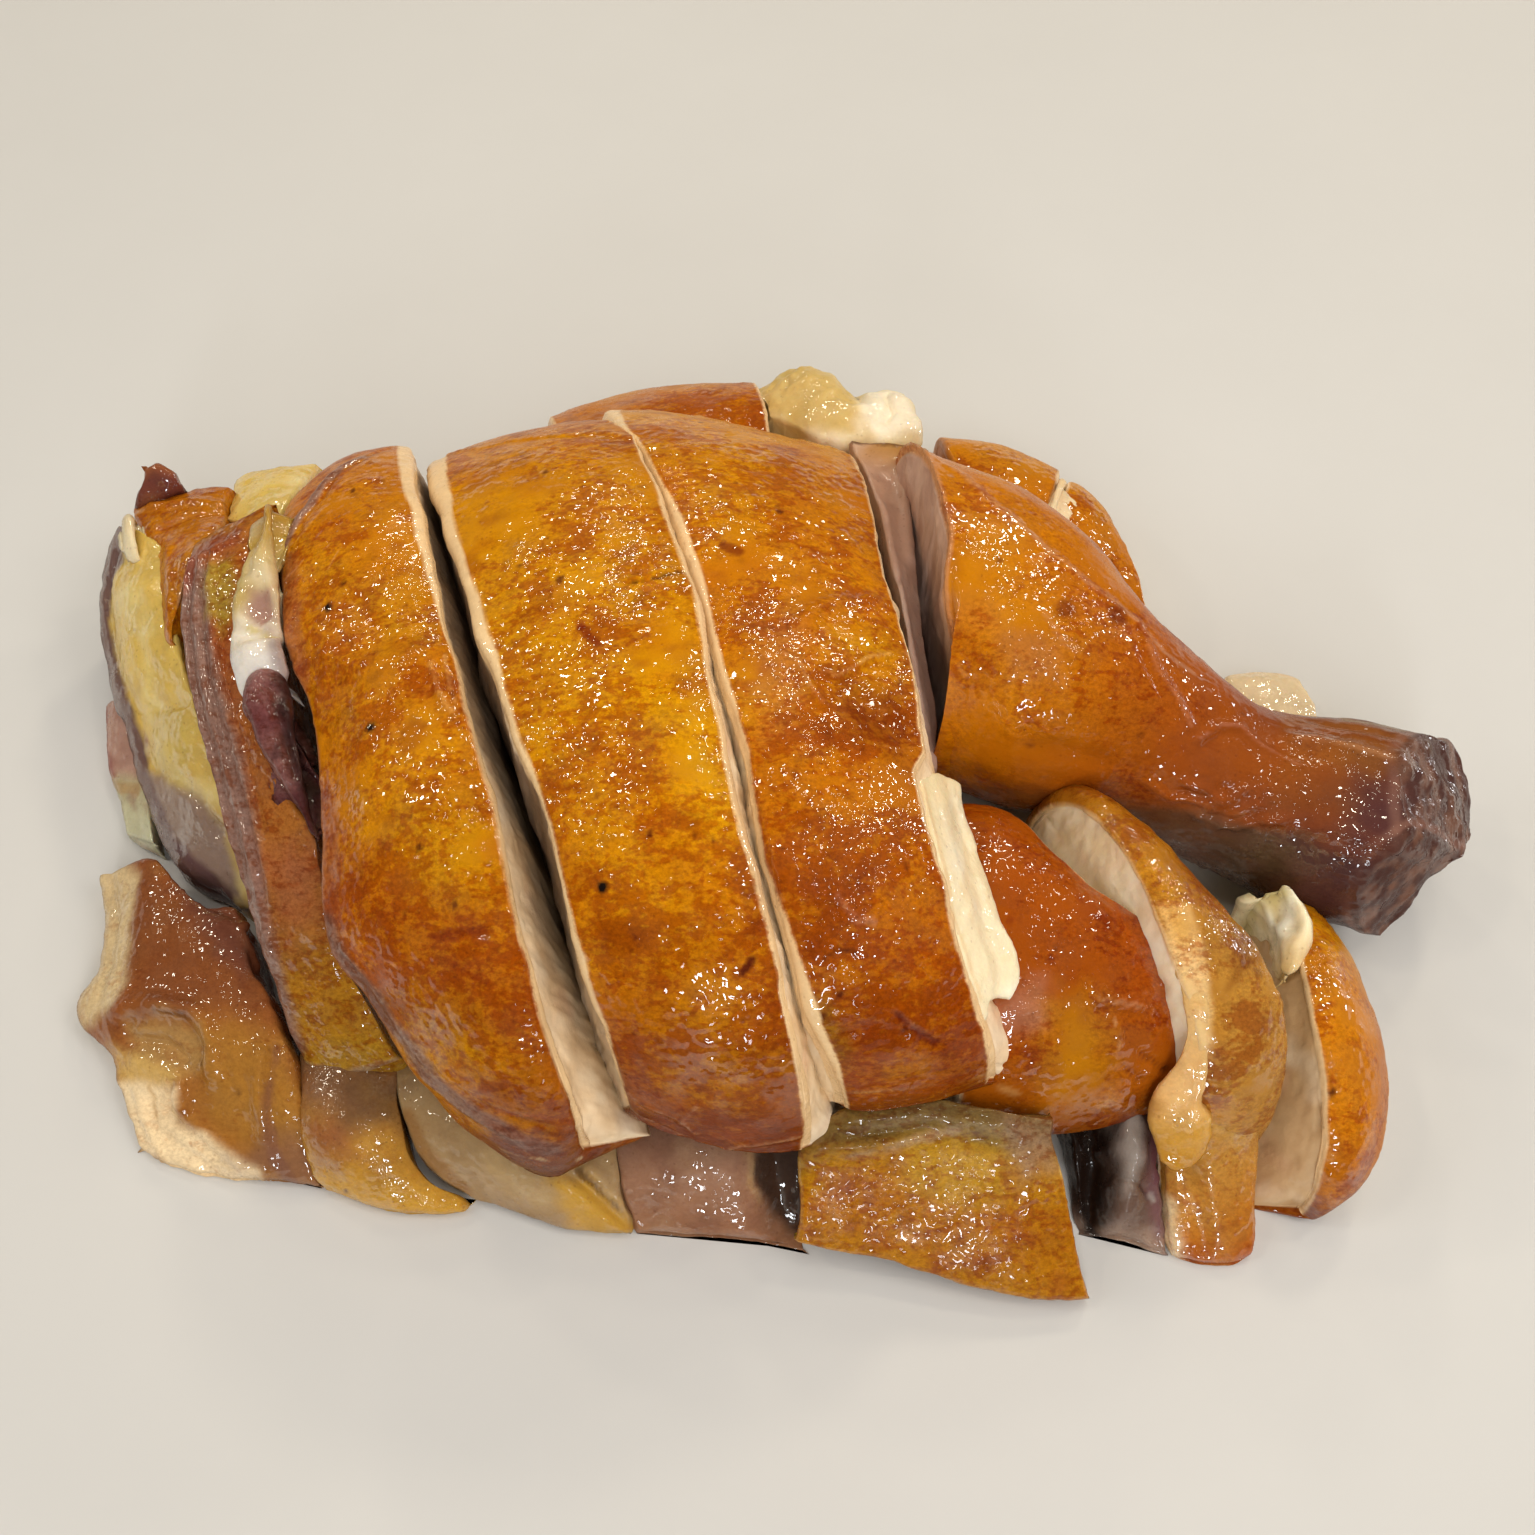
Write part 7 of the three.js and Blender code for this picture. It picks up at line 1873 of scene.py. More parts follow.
MARKS_T1 = [
    ("area", [(34.5, -25.2, 29.1), (43.3, -24.8, 28.2), (44.7, -33.7, 18.7), (36.5, -35.6, 18.3)], "c4860e", 0.5, 3.5),
    ("area", [(26.5, -26.1, 36.2), (35.2, -22.9, 30.3), (35.3, -27.8, 27.1), (29.1, -29.1, 28.6)], "b88068", 0.5, 2.0),
    ("line", [(45.8, -30.8, 21.5), (48.9, -32.1, 18.8), (53.5, -30.4, 9.5)], "66280a", 0.70, 0.45),
    ("line", [(48.5, -29.6, 22), (51.6, -30.6, 19.3), (54.3, -32, 18.7)], "66280a", 0.70, 0.45),
    # painted highlights: the two faint pale strokes lie on ridges as glints of the wet skin
    ("line", [(44.2, -26, 27.2), (45.2, -27.8, 25.3), (45.5, -30, 23.7)], "d8b080", 0.27, 0.35),
    ("line", [(42.6, -24.8, 28.3), (48.2, -25, 26.7), (53.8, -26.8, 26.9)], "e0b890", 0.27, 0.42),
    ("area", [(47, -9.9, 27.7), (54.1, -25.3, 29.5), (54, -29.2, 21.7), (45.4, -24.5, 27.6)], "9a4208", 0.5, 3.0),
    ("area", [(30.7, -0.2, 32.7), (38.3, -7.7, 32.4), (41.6, -17.5, 31.1), (33.5, -16.7, 32.6), (29.8, -10.1, 34.2)], "a0480c", 0.4, 4.0),
    ("spot", [(30.8, -15.6, 33.2), (40.6, -12.1, 32.2), (36, -20.4, 31.1)], "7a2a0a", 0.6, 0.7),
    ("line", [(29.7, -33.7, 20.7), (36.2, -37.8, 19.5), (44.9, -35.2, 16.9)], "c08a4c", 0.60, 0.80),
]
FOLDS_T1 = [
    ([(45.8, -30.8, 21.5), (48.9, -32.1, 18.8), (53.5, -30.4, 9.5)], 0.6, -0.5),
    ([(48.5, -29.6, 22), (51.6, -30.6, 19.3), (54.3, -32, 18.7)], 0.6, -0.5),
    ([(49.7, -26, 11.1), (49.9, -31.8, 20.3), (53.1, -32.5, 17.6)], 0.6, 0.4),
    ([(42.6, -24.8, 28.3), (48.2, -25, 26.7), (53.8, -26.8, 26.9)], 0.9, 0.6),
    ([(42.6, -25.6, 27.5), (48.2, -26.1, 25.8), (53.6, -27.5, 24.4)], 0.9, -0.5),
    ([(44.2, -26, 27.2), (45.2, -27.8, 25.3), (45.5, -30, 23.7)], 0.7, 0.4),
    ([(27.2, -27.3, 34.3), (30.5, -26.5, 29), (34.5, -26.4, 28.8)], 1.0, 0.5),
]
WET_T1 = [
    [(26.5, -26.1, 36.2), (35.2, -22.9, 30.3), (35.3, -27.8, 27.1), (29.1, -29.1, 28.6)],
    [(40, -22.6, 29.6), (54.1, -25.3, 29.5), (54.1, -27.7, 25.1), (41.3, -25.9, 27.6)],
]
add("thigh_slice_1", seed=5, paint=lean(runr, fleck=lin("8e3c10"), glow=lin("b4600a"), extra=with_marks(MARKS_T1, WET_T1)), material=LEGSKIN, hires=1.1,
    wave=0.4, folds=FOLDS_T1, wets=WET_T1)
MARKS_T2 = [
    ("area", [(50.7, -13.5, 34), (54.8, -13.6, 33.6), (56.1, -19.4, 32.2), (57, -25.4, 29.8), (57, -29.9, 27), (55.4, -33.1, 22.5), (53.4, -33.8, 20.5), (53.1, -30.5, 25), (52.8, -24.9, 28.6), (51.6, -19.6, 31)], "efc88c", 0.85, 0.7),
    ("area", [(51.7, -13.8, 34), (54.5, -16.3, 33.3), (55, -19.5, 32.3), (52.4, -19.5, 32.5)], "d09a34", 0.5, 1.2),
    ("area", [(44.5, 4.3, 31.3), (54.2, 7, 22.7), (64.4, 2.2, 16.4), (69.3, -3.6, 11), (56.2, -13.3, 33.1), (48.7, -7.4, 34.6)], "a0600a", 0.6, 2.0),
    ("line", [(46.4, 3.6, 31.7), (56.3, 5.8, 19), (65, 3.1, 11.5), (69.3, -3.6, 11)], "7a420a", 0.60, 0.70),
    ("line", [(61.9, 3.2, 12), (59.8, -11.2, 31.8), (70, -7.7, 11.7)], "6a340a", 0.70, 0.60),
    ("area", [(56.5, -16.2, 33.1), (70.9, -12.2, 16.3), (70.8, -25.7, 16.3), (69.6, -38.5, 7.9), (58.6, -40, 12.8)], "b88436", 0.65, 3.0),
    ("area", [(60.7, -15.2, 31), (72.1, -11.5, 20), (71.4, -15.3, 18), (60.4, -20.3, 30.9)], "8c5c1c", 0.6, 1.5),
    ("area", [(67.6, -8.3, 3.4), (62.2, -20.2, 30.1), (68.4, -15, 7.9), (59.2, -24, 29.8)], "74330e", 0.75, 1.0),
    ("line", [(63.8, -21.1, 28.8), (70.2, -20.9, 15.3), (70.6, -27.9, 14.5)], "6a3e14", 0.60, 0.70),
    ("line", [(50.7, -13.7, 33.8), (53.1, -17, 33.1), (55.5, -20.7, 31.8)], "e0b064", 0.27, 0.56),
    ("area", [(48.8, -5.9, 34.7), (53.1, -10.1, 34.2), (55.1, -17, 33.1), (51.8, -16.9, 33)], "cf8c10", 0.5, 2.0),
]
add("thigh_slice_2", seed=6, paint=lean(runh, glow=lin("cc8c20"), fleck=lin("9a5a14"), extra=with_marks(MARKS_T2, [[(47.5, -5.8, 34.5), (53.8, -10, 33.9), (55.6, -18.2, 32.8), (51.4, -14.3, 30.5)], [(57, -9.2, 32.4), (69.5, -4.6, 6.8), (68.6, -15.5, 9.7), (55.5, -20.7, 31.8)]]), meat_tone=(lin("fff4de"), lin("f6deb2"), lin("ecc8a4"))),
    material=FATTY, hires=1.1, wave=0.4, skin_t=0.3, rimw=0.25, mottle=1.7, peel=1.8)
MARKS_T3 = [
    ("area", [(71.5, -18.3, 18.1), (83.1, -17.7, 14.9), (82.4, -31.2, 15.5), (75.5, -42.8, 13), (71, -40.3, 9.3)], "c87a14", 0.45, 4.0),
    ("line", [(85.5, -19.2, 14.9), (84.8, -28.3, 15.5), (82.2, -36.2, 13.9), (77.6, -44.2, 10.7)], "ae6c44", 0.60, 2.20),
    ("spot", [(74.2, -34.3, 19.1)], "5a2a0c", 0.9, 0.7),
    ("line", [(72.1, -34.2, 16.1), (73.1, -38.3, 15.8), (74.1, -41.8, 14)], "d8a468", 0.23, 0.70),
]
add("thigh_slice_3", seed=8, paint=lean(run3, glow=lin("c87c14"), fleck=RUST, extra=with_marks(MARKS_T3, [[(72.3, -10.8, 20), (78.7, -9.8, 18), (77.3, -19, 21.4), (72, -18.6, 18.8)]]), meat_tone=(lin("d8b88c"), lin("c6a074"), lin("be8e70"))), hires=1.1, wave=0.4, skin_t=0.5)
add("back_slice", seed=19, paint=breast(run3), hires=1.5, wave=0.4)
add("back_chunk", seed=20, material=FATTY, step=0.45, lump=2.6, peel=8.5,
    paint=tissue([(0, "dcc48c"), (0.5, "e8d0a4"), (1, "e2c898")], glow="f8e8c8", fleck="cfa874", glow_a=0.7, fleck_a=0.45, rough=0.4, wet=0.5, mott=0.0,
        ls=[("area", [(-3.4, 89.9, 23), (4.4, 92.6, 24), (12.2, 88.9, 24), (14.1, 84.7, 25), (12.4, 74.3, 27), (4.2, 76.1, 26), (-1.5, 82.4, 25)], "cba650", 0.75, 1.6),
            ("line", [(10.6, 90.7, 24), (12.9, 87.5, 24.5), (14.1, 85.1, 25)], "4a3820", 0.8, 0.5),
            ("line", [(11.1, 74.1, 27), (14, 74.1, 28), (18.9, 73, 28)], "5a4430", 0.7, 0.6),
            ("area", [(14.8, 85.6, 25), (21.7, 85.6, 25), (24.4, 75.3, 26), (17.3, 73, 27), (14.4, 76.5, 27)], "f8ead0", 0.8, 1.2)]))
BACKEND = (lin("c07430"), lin("b0661e"), lin("a05c24"))
add("thigh_back_1", seed=21, paint=lean(run3, meat_tone=BACKEND, left=lin("b87028"), glow=lin("cc7a10"), fleck=RUST), hires=1.4)
add("thigh_back_2", seed=22, paint=lean(run3, glow=lin("cc7a10"), fleck=RUST), hires=1.4)
add("rib_scrap", seed=23, paint=lean([(0, lin("e4cca4")), (1, lin("dcc096"))], glow=CREAM, fleck=lin("c8a070")), material=FATTY, mottle=0.1, hires=1.4)

FOLDS_LOW = [
    ([(-92.6, -20, 12.1), (-88.5, -19, 13), (-82.9, -20, 14.6), (-79.8, -22.6, 14.4), (-78.9, -25.9, 13.1), (-79.3, -28.8, 11.4)], 0.9, 0.8),
    ([(-93, -19.9, 8.6), (-89.3, -19.2, 9.8), (-84, -20.8, 12.1), (-81.8, -22.9, 11.4), (-80.9, -25.9, 10.7)], 0.8, -0.8),
    ([(-91.2, -21, 8.2), (-87, -21.3, 9.7), (-83.8, -23.4, 9.7)], 0.6, 0.5),
    ([(-90.3, -22.2, 7.5), (-86.2, -23.4, 8.8), (-83.4, -25.8, 8.9)], 0.5, -0.5),
    ([(-83.6, -28.6, 9.3), (-84, -32, 7.8), (-80.5, -34.9, 6.5), (-76.6, -37.5, 5.8), (-74.7, -39.9, 4.4)], 0.8, 0.7),
    ([(-84.7, -29.2, 9.2), (-86, -32.1, 5.1), (-81.7, -36.1, 5.7), (-78.4, -38.4, 4.1)], 0.6, -0.7),
    ([(-88.9, -30.1, 5.1), (-87.5, -34.2, 3.5), (-83.3, -37.5, 4), (-78.8, -39.6, 2.4)], 0.7, -0.5),
    ([(-91.1, -29.6, 5), (-89.2, -34.2, 3.6), (-86.9, -37.5, 2.5)], 0.6, 0.4),
    ([(-90.9, 5.5, 6.8), (-88.9, 4, 2.2), (-84.3, 1.9, 2.1), (-76.5, -8.1, 14.3), (-74.8, -12.3, 11.5)], 1.0, 0.8),
    ([(-90, 4.5, 4), (-82.5, -4, 13.7), (-78.4, -6.2, 13.6)], 0.7, -0.6),
    ([(-69.7, -25.3, 13), (-70.5, -30.9, 10.8), (-69.9, -36.6, 6.5), (-69.5, -40.2, 0.6)], 1.0, -0.9),
    ([(-71.2, -26.5, 13.9), (-71.9, -31.4, 11.4), (-71.4, -36.8, 7.2)], 0.9, 0.6),
    ([(-75.7, -26, 13.2), (-75.1, -30.7, 10.3), (-76.5, -34.1, 7.4)], 1.2, 0.4),
    ([(-100.8, 3.4, 7.6), (-98.1, -3.5, 8), (-97.9, -9.7, 7.3), (-98.4, -15.9, 7)], 1.0, -0.6),
]
add(
    "shoulder_low", seed=14, material=LEGSKIN, skin_t=0.8, peel=1.0, folds=FOLDS_LOW,
    paint=tissue(
        [(0, "8c4e28"), (0.5, "905228"), (1, "a06a2a")], glow="a8702e", fleck="703a20", rough=0.26, wet=0.6, mott=0.16,
        meat_tone=(lin("efd6a8"), lin("dcb67c")),
        ls=[
            ("area", [(-96.3, 3.8, 10), (-83.2, -4, 14), (-75.4, -12, 16), (-71.3, -19.2, 15), (-73.5, -20.7, 15), (-81, -20, 14), (-88.9, -18.8, 12), (-92.1, -17.1, 10), (-95.9, -6.8, 8)], "804826", 0.75, 2.6),
            ("area", [(-105.2, 6.4, 5), (-99.1, 6.6, 8), (-95.2, 2.2, 10), (-95, -5.6, 9), (-94.1, -14.7, 8), (-95.4, -17.8, 7), (-101.4, -19.6, 3), (-103.6, -15, 3), (-101.5, -10.6, 4), (-101.3, -5.2, 4.5), (-103, 0.4, 5)], "d9bf90", 0.88, 1.3),
            ("area", [(-88.4, 1.1, 12), (-78.9, -3.5, 13), (-73, -13.5, 14), (-75.8, -15.9, 15), (-82.7, -8.8, 15)], "6a3d36", 0.6, 2.2),
            ("area", [(-80.6, -22.1, 14), (-68.6, -24.1, 13), (-66.2, -29.5, 11), (-64.6, -37.9, 6), (-71.2, -38.2, 7), (-79.7, -33.1, 8), (-81.1, -26.9, 11)], "a8742e", 0.8, 2.4),
            ("area", [(-93.1, -20.3, 8), (-86.8, -20.3, 11), (-80.5, -22.9, 13), (-79.7, -27.5, 11), (-85.2, -28.2, 9), (-91.8, -25.4, 7)], "b58e54", 0.75, 1.6),
            ("line", [(-94.3, -18.5, 8), (-88.1, -19.2, 12), (-80.7, -21.5, 14), (-78.5, -24.7, 13), (-78.2, -28.8, 11)], "5e3626", 0.8, 0.7),
            ("area", [(-96.7, -22.4, 3), (-88.9, -25.5, 8), (-83.5, -28.2, 9), (-85.7, -30.2, 8), (-93.7, -27.8, 3)], "dcb468", 0.75, 1.3),
            ("area", [(-94.8, -27.3, 2.5), (-90.6, -36.2, 1.5), (-82.6, -40.3, 1), (-72.2, -41.9, 1), (-71.8, -40.2, 3), (-76.9, -37.4, 4), (-81, -35.1, 5), (-84.5, -33.8, 7), (-83.7, -30.5, 9), (-88.4, -28.3, 8)], "f2d6aa", 0.96, 0.8),
            ("line", [(-88.9, -28.9, 6), (-87.3, -33.2, 4), (-82.6, -36.9, 3), (-76.6, -39.5, 2)], "c79f6c", 0.7, 0.4),
            ("line", [(-86.1, -29.2, 8), (-85.1, -32.4, 6), (-80.5, -35.5, 4), (-74.6, -38.4, 3)], "e0bd8a", 0.6, 0.5),
            ("line", [(-69.9, -25.8, 12), (-71.3, -33.2, 9), (-69.7, -39, 5), (-67.8, -41.8, 2)], "74483e", 0.6, 1.4),
            ("area", [(-76.7, -38.7, 3), (-72.2, -40.3, 2), (-64.2, -42.6, 1), (-64, -37.9, 5), (-67.4, -35.7, 8), (-71.4, -37.1, 7)], "7a5648", 0.6, 1.8),
            ("spot", [(-85.2, -30.9, 8), (-80.6, -26.9, 11), (-74.6, -30.9, 10)], "4a2a1a", 0.7, 0.6),
        ],
    ),
)
add(
    "fat_fold", seed=15, material=FATTY,
    paint=tissue(
        [(0, "745438"), (0.3, "8a6040"), (0.55, "b07c30"), (1, "d09c34")], glow="cc983a", fleck="8e5820", rough=0.2, wet=1.0, mott=0.15, shine=0.5,
        ls=[
            ("area", [(-65.5, -35, 8), (-58.8, -36, 9), (-57.2, -39.9, 8), (-63.3, -40.4, 5)], "8c4c3a", 0.6, 2.0),
            ("area", [(-62.1, -29.2, 11), (-52.3, -29.5, 11), (-51.7, -35.3, 9), (-58.4, -36, 11)], "66492f", 0.7, 2.2),
            ("spot", [(-52.9, -42.4, 7), (-59.7, -43.3, 4), (-57.7, -44.3, 4)], "4a2814", 0.8, 0.6),
        ],
    ),
)
add(
    "under_slice_1", seed=16, material=FATTY,
    paint=tissue(
        [(0, "846a48"), (0.35, "a2845c"), (0.75, "b09066"), (1, "967650")], glow="bc9c70", fleck="846444", rough=0.32, wet=0.6, mott=0.08,
        ls=[
            ("area", [(-31.2, -42.7, 7), (-26.1, -42.1, 8), (-19.5, -47.5, 3), (-20.2, -49, 1), (-27.8, -48.5, 1)], "c8962e", 0.85, 1.4),
            ("line", [(-27, -41.9, 9), (-24, -44.6, 7), (-20.4, -47.6, 4)], "5a3a1c", 0.75, 0.9),
            ("line", [(-51.3, -34.9, 10), (-48.5, -39.3, 7), (-43.5, -42.9, 4)], "8a5a24", 0.6, 1.6),
            ("line", [(-41.6, -39.5, 11), (-37.6, -41.6, 9), (-32.3, -44.2, 6)], "c0a272", 0.4, 2.0),
        ],
    ),
)
add(
    "under_slice_2", seed=17, material=FATTY,
    paint=tissue(
        [(0, "806050"), (0.5, "a0755a"), (1, "966648")], glow="b08c68", fleck="744a3a", rough=0.32, wet=0.6, mott=0.12,
        ls=[
            # painted shadow: the near-black area is the deep gap between this piece and the skin flap
            ("area", [(-3.3, -34.6, 9), (4.2, -34.6, 9), (3.8, -48.7, 2), (1.4, -47.3, 3), (-1.3, -45.1, 5), (-3.1, -42.4, 7)], "37261e", 0.9, 1.0),
            ("line", [(-3.7, -38.8, 9), (-3.3, -43, 7), (-1.1, -45.8, 4.5), (2.8, -49.4, 1.5)], "c29a6c", 0.6, 0.8),
            ("line", [(-18.4, -45.4, 8), (-11.6, -46.5, 9), (-4.8, -47.1, 8)], "b08c66", 0.5, 1.2),
            ("line", [(-17.2, -47.6, 5), (-10.3, -48.4, 5), (-2.2, -48.7, 4)], "7a4e38", 0.5, 1.2),
        ],
    ),
)
add(
    "skin_flap", seed=10, material=FATTY,
    paint=tissue(
        [(0, "846634"), (0.2, "a0741c"), (0.32, "b0780f"), (0.6, "ac680a"), (1, "b07412")], glow="c48a14", fleck="8c4a0c",
        fleck_a=0.5, rough=0.30, wet=0.34, mott=0.42, shine=-0.15,
        ls=[
            ("spot", [(12.5, -46.9, 13), (17.1, -49.2, 11), (9.9, -49.4, 10), (24.5, -51.1, 9), (29.7, -48.6, 12), (20.4, -45.8, 14), (34.1, -53, 6), (27.9, -53.5, 7)], "8a4412", 0.6, 1.3),
            ("spot", [(8.2, -45.8, 14), (13.9, -51.1, 9), (32.5, -50, 10), (22.2, -53.5, 7), (38.1, -55.4, 5), (16.4, -43.1, 16)], "9a5010", 0.6, 2.0),
            ("area", [(2.9, -41.3, 16), (6.1, -37.9, 19), (11.1, -36.2, 21), (20.2, -35.7, 22), (29.3, -36.8, 22), (37.1, -38, 20), (37.1, -41.4, 18), (30.6, -42, 19), (24.1, -40, 20), (16.9, -40.8, 19), (9.8, -41.8, 17)], "67522e", 0.8, 1.3),
            ("area", [(16.9, -40.7, 19), (29.4, -40.9, 19), (30, -46.4, 16), (22.9, -47.8, 14), (17, -45.4, 15)], "c49a30", 0.55, 2.5),
            # painted highlight: the pinkish patch at the right is a sheen of the glaze
            ("area", [(29.4, -38.6, 20), (36.4, -39, 19), (37.2, -43.5, 16), (32.1, -45.1, 16)], "a08068", 0.6, 2.0),
            ("line", [(2.7, -40.8, 16), (9.8, -41.8, 17), (16.9, -40.9, 19), (23.4, -39.9, 20)], "a88a68", 0.75, 0.8),
            ("line", [(11.8, -39.4, 20), (20.1, -38.5, 21.5), (29.9, -40, 21)], "8a7450", 0.6, 0.6),
            ("line", [(2.7, -42.8, 15), (2.9, -48.2, 10.5), (2.4, -51.3, 8)], "d6a858", 0.5, 0.7),
            ("line", [(2.4, -51.3, 8), (11.3, -52.8, 6.5), (20.7, -55.4, 5), (28.1, -57, 4), (35.5, -57.8, 3.2), (42.7, -58, 3)], "d09c44", 0.5, 0.6),
            ("line", [(37.8, -43.1, 16), (40, -48.3, 11), (41.3, -52.5, 7), (42.8, -57.5, 3)], "e0b870", 0.6, 0.5),
        ],
    ),
)
add(
    "thigh_slice_2", "thigh_slice_2_tail", seed=7, material=FATTY,
    paint=tissue(
        [(0, "b08444"), (0.4, "c08a3a"), (0.8, "b8701e"), (1, "a8521e")], glow="d0a050", fleck="9a5420", rough=0.26, wet=0.9,
        ls=[("area", [(52.5, -43.5, 6), (54.6, -45.2, 7), (56.1, -52.2, 2), (54.4, -52, 1), (53.6, -48.6, 2)], "ecd0a4", 0.85, 0.9)],
    ),
)
add(
    "rib_bone", seed=18, material=MEATM, lump=2.5, peel=5.0,
    paint=tissue(
        [(0, "55433a"), (1, "6e5548")], glow="94806f", fleck="3c2624", glow_a=0.6, fleck_a=0.6, rough=0.3, wet=1.0, mott=0.0,
        ls=[
            # painted shadow: the near-black area is the shade inside the cavity at the left
            ("area", [(39.5, -34, 9), (45.8, -33.5, 10), (46.1, -42.1, 6), (45.2, -48.7, 1), (42.7, -48.2, 1), (41, -41.5, 4)], "1a0f0a", 1.0, 1.0),
            ("area", [(46.6, -34.6, 9), (50.4, -33.8, 10), (50.5, -40.3, 7), (47.5, -45, 4)], "a0948a", 0.75, 1.2),
            ("area", [(50.5, -33.6, 11), (52.5, -33.3, 11), (54, -51.5, 1), (51.8, -49.5, 2), (50.7, -41.8, 5)], "7c5458", 0.7, 1.2),
            ("area", [(44.9, -47.6, 3), (53.6, -49, 3), (53.9, -51.7, 1), (46.2, -49, 1)], "a88a74", 0.7, 1.0),
            ("spot", [(43.8, -37.4, 8), (50.2, -35.6, 10), (48.6, -42.1, 6), (51.5, -44.6, 5), (47.1, -46.4, 4)], "b8aca4", 0.75, 0.9),
            ("line", [(51.8, -33.5, 10), (52.3, -37.8, 8), (52.7, -42.1, 6)], "6a3440", 0.7, 0.7),
        ],
    ),
)
add(
    "shoulder_cut", seed=13, material=FATTY, lump=1.5, peel=3.2,
    paint=tissue(
        [(0, "dcb85c"), (0.6, "d8b45c"), (1, "bc9c5c")], glow="f0dc98", fleck="b88e44", glow_a=0.5, rough=0.2, wet=1.0, mott=0.0, shine=0.15,
        ls=[
            ("area", [(-96.2, 19.3, 12), (-86.1, 12.9, 16), (-81.8, 7.7, 14), (-80, -0.5, 6), (-87.7, 3.5, 6), (-92.3, 8.7, 8), (-95.4, 14.9, 10)], "8c746a", 0.92, 1.2),
            ("area", [(-106.1, 61.6, 24), (-110.2, 58.9, 19), (-111.3, 53, 16), (-110.2, 44.1, 13), (-107.7, 36.7, 11), (-105, 29.8, 9), (-101.2, 22.2, 8), (-98.8, 16.3, 7), (-95.9, 9.2, 5), (-90.5, 3.8, 4), (-82.1, -0.1, 3), (-81.5, 1, 7), (-87.1, 5.2, 8), (-91.6, 9.8, 10), (-94.1, 14.8, 12), (-96.4, 19.8, 12), (-97.7, 24.1, 13), (-99.8, 29.1, 13), (-101.9, 33.7, 14), (-104.3, 38.8, 15), (-105.9, 44.2, 17), (-105.9, 48.7, 19), (-103, 51, 22), (-103.6, 54.2, 24), (-101.9, 57.3, 26)], "6a4e4c", 0.96, 0.5),
            ("line", [(-103, 51, 22), (-105.9, 48.3, 19), (-105.7, 43.6, 17), (-104.1, 38.4, 15), (-101.7, 33.7, 14)], "33241c", 0.8, 0.5),
            ("line", [(-97.7, 24.1, 13), (-96.6, 19.8, 12), (-92.1, 16, 13), (-86.5, 11.7, 13), (-82.5, 6.7, 11)], "4a3830", 0.7, 0.5),
            ("line", [(-100.2, 31.8, 14), (-97.3, 28.4, 15), (-96.5, 24.4, 14)], "8a4a34", 0.8, 1.4),
            ("line", [(-109.4, 56.5, 18), (-109.2, 47.4, 14), (-106.6, 37.7, 11)], "8f7a74", 0.5, 0.7),
            ("area", [(-94.7, 26.4, 18), (-88.2, 24.4, 22), (-86.4, 17.8, 19), (-90.1, 14.9, 15), (-95, 19.9, 14)], "c6ac5a", 0.5, 1.6),
        ],
    ),
)
add(
    "shoulder_top", seed=11, peel=2.2,
    paint=tissue(
        [(0, "b0640c"), (0.5, "c4780c"), (1, "b8700e")], glow="d49010", fleck="94480a", rough=0.24, wet=1.0, mott=0.35, shine=0.2,
        ls=[
            ("line", [(-102.7, 60.8, 25), (-94.7, 60.9, 27), (-86.6, 58.2, 29)], "dca878", 0.6, 0.5),
            ("line", [(-85.9, 53.7, 31), (-86, 46.7, 34), (-87.9, 42.9, 34), (-89.2, 37.7, 31)], "a8846c", 0.6, 0.8),
        ],
    ),
)
add(
    "neck_fat", seed=12, material=FATTY, lump=1.5, peel=3.0,
    paint=tissue([(0, "dcb650"), (0.5, "e4c264"), (1, "dcb85c")], glow="f4e2a8", fleck="c8983a", glow_a=0.5, rough=0.2, wet=1.0, mott=0.0, shine=0.15),
)
add(
    "side_scrap", seed=24, material=FATTY,
    paint=tissue(
        [(0, "a87e70"), (0.5, "b8907c"), (0.62, "b8ac84"), (1, "cfccaa")], glow="c8a890", fleck="8a5850", fleck_a=0.5, rough=0.3, wet=0.6, mott=0.0,
        ls=[("line", [(-108.7, 34.8, 6), (-107.5, 29.1, 5), (-105.7, 23.5, 5)], "8a4a44", 0.7, 0.8), ("line", [(-106.7, 22.2, 4), (-101, 20.1, 6)], "b08a5a", 0.7, 1.2)],
    ),
)
